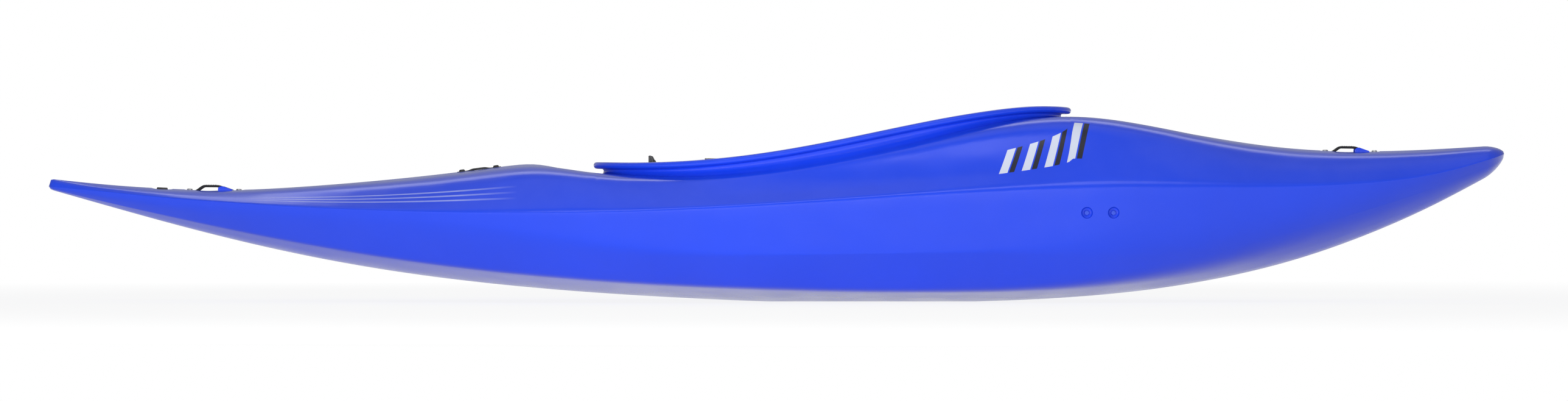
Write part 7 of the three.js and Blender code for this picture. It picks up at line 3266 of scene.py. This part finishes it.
@dataclass(frozen=True)
class ThighBrace:
    """A hooked plate under the deck, with a foam pad below it and two screws."""

    side: Side
    forward: float = 0.2
    height: float = 0.2746
    length: float = 0.21
    width: float = 0.096
    tab: float = 0.03
    tab_y: float = 0.2184
    thickness: float = 0.005
    hook: float = 0.024
    bolt_spacing: float = 0.084
    slot_length: float = 0.05
    bolt_length: float = 0.0148
    pad_thickness: float = 0.01
    pad_inset: float = 0.007
    stuffing: Stuffing = Stuffing(0.0036, 3.0, 14, 0.0012)

    @cached_property
    def place(self) -> Matrix:
        """The frame that the brace lies in.

        Returns:
            The frame.
        """
        x = LINES.cockpit_x + self.forward
        rear, front = LINES.rim_height(np.array([x - self.length / 2, x + self.length / 2]))
        return at(x, 0, self.height) @ Matrix.Rotation(-math.atan2(front - rear, self.length), 4, "Y")

    @property
    def body(self) -> str:
        """The body that the brace is, and the name of its node."""
        return "thigh_brace_" + self.side.label

    def inner_edge(self, steps: int = 24) -> list[Flat]:
        """The curved edge that the thigh bears on.

        Args:
            steps: Steps along it.

        Returns:
            Its points.
        """
        half, root = self.length / 2, self.tab_y - self.tab / 2
        return [(mix(-half * 0.7, half, k / steps),
                 root - self.width * math.sin(k / steps * math.pi / 2) ** 1.2)
                for k in range(steps + 1)]

    def brace(self) -> None:
        """Makes the plate with its slots and its hooked edge."""
        half, tab, edge = self.length / 2, self.tab_y + self.tab / 2, self.inner_edge()
        front = [(half * 1.02, edge[-1][1] + self.tab * 0.6), (half * 0.86, tab - self.tab * 0.9),
                 (half * 0.6, tab)]
        slots = [slot_outline(sign * self.bolt_spacing / 2, self.tab_y, self.slot_length / 2,
                              BOLT_RADIUS + CLEARANCE) for sign in (-1, 1)]
        sheet = plate([(-half * 0.7, tab), *edge, *front], self.thickness, slots)
        back = [(x - self.thickness * 0.2, y + self.thickness) for x, y in reversed(edge)]
        hook = placed(plate([*edge, *back], self.hook + self.thickness), at(0, 0, -self.hook))
        for v in hook.verts:
            if v.co.z < -self.hook * 0.5:
                share = (v.co.x + half * 0.7) / (half * 1.7)
                v.co.z += self.hook * 0.675 * (1 - float(ease(share, 0.0, 0.35)))
        brace = placed(soften(united(sheet, hook), 0.0014, 3, 50.0), self.place, self.side)
        publish(brace, self.body + "_plate", MOULDED, self.body, self.body, sharp=SMALL_SHARP_DEGREES)

    def pad(self) -> None:
        """Makes the foam pad under the plate."""
        half, tab, root = self.length / 2, self.tab_y + self.tab / 2, self.tab_y - self.tab / 2
        inner = [(x, y + self.thickness + CLEARANCE + self.pad_inset * 0.3) for x, y in self.inner_edge()[6:]]
        outline = [*inner, (half * 0.86, tab - self.tab * 1.2), (half * 0.4, root - self.pad_inset)]
        pad = plate(rounded_outline(outline, 0.004, 2), self.pad_thickness - 0.001)
        pad = placed(pad, self.place @ at(0, 0, -self.pad_thickness - CLEARANCE + 0.0007), self.side)
        upright, origin = self.place.to_3x3().col[2].normalized(), self.place.translation
        upright.y *= self.side.value
        top = -CLEARANCE - 0.0025
        Upholstery("thigh_pad_" + self.side.label, self.body, FOAM, 0.9, self.stuffing).make(
            pad, lambda p: (p - origin).dot(upright) > top)

    def build(self) -> None:
        """Makes the plate, the pad and the screws."""
        self.brace()
        self.pad()
        for k, sign in enumerate((-1, 1)):
            under = -CLEARANCE - WIDE_SCREW.washer_thickness
            place = self.place @ at(sign * self.bolt_spacing / 2, self.tab_y, under, 2)
            node = f"thigh_bolt_{self.side.label}_{k + 1}"
            WIDE_SCREW.fit(node, self.bolt_length, place, STEEL, "hull", self.side)


@dataclass(frozen=True)
class Pillars:
    """The two foam pillars that hold up the decks."""

    rounding: float = 0.004

    def build(self) -> None:
        """Makes both pillars."""
        for node in ("rear_pillar", "front_pillar"):
            foam_piece(soften(node_copy(node), self.rounding, 2, 60.0), node)


def main() -> None:
    """Builds every sub-assembly in order."""
    logging.basicConfig(level=logging.INFO, format="%(name)s: %(message)s")
    Studio().build()
    outside = [GrabHandle(end=End.STERN, share=0.1138), GrabHandle(end=End.BOW, share=0.894),
               SecurityBar(), Drain(),
               Footrest()]
    Moulding([part.recess() for part in outside]).build()
    for part in (*outside, Seat(), Backband()):
        part.build()
    for side in Side:
        RatchetBuckle(side).build()
        ThighBrace(side).build()
    Pillars().build()


if __name__ == "__main__":
    main()
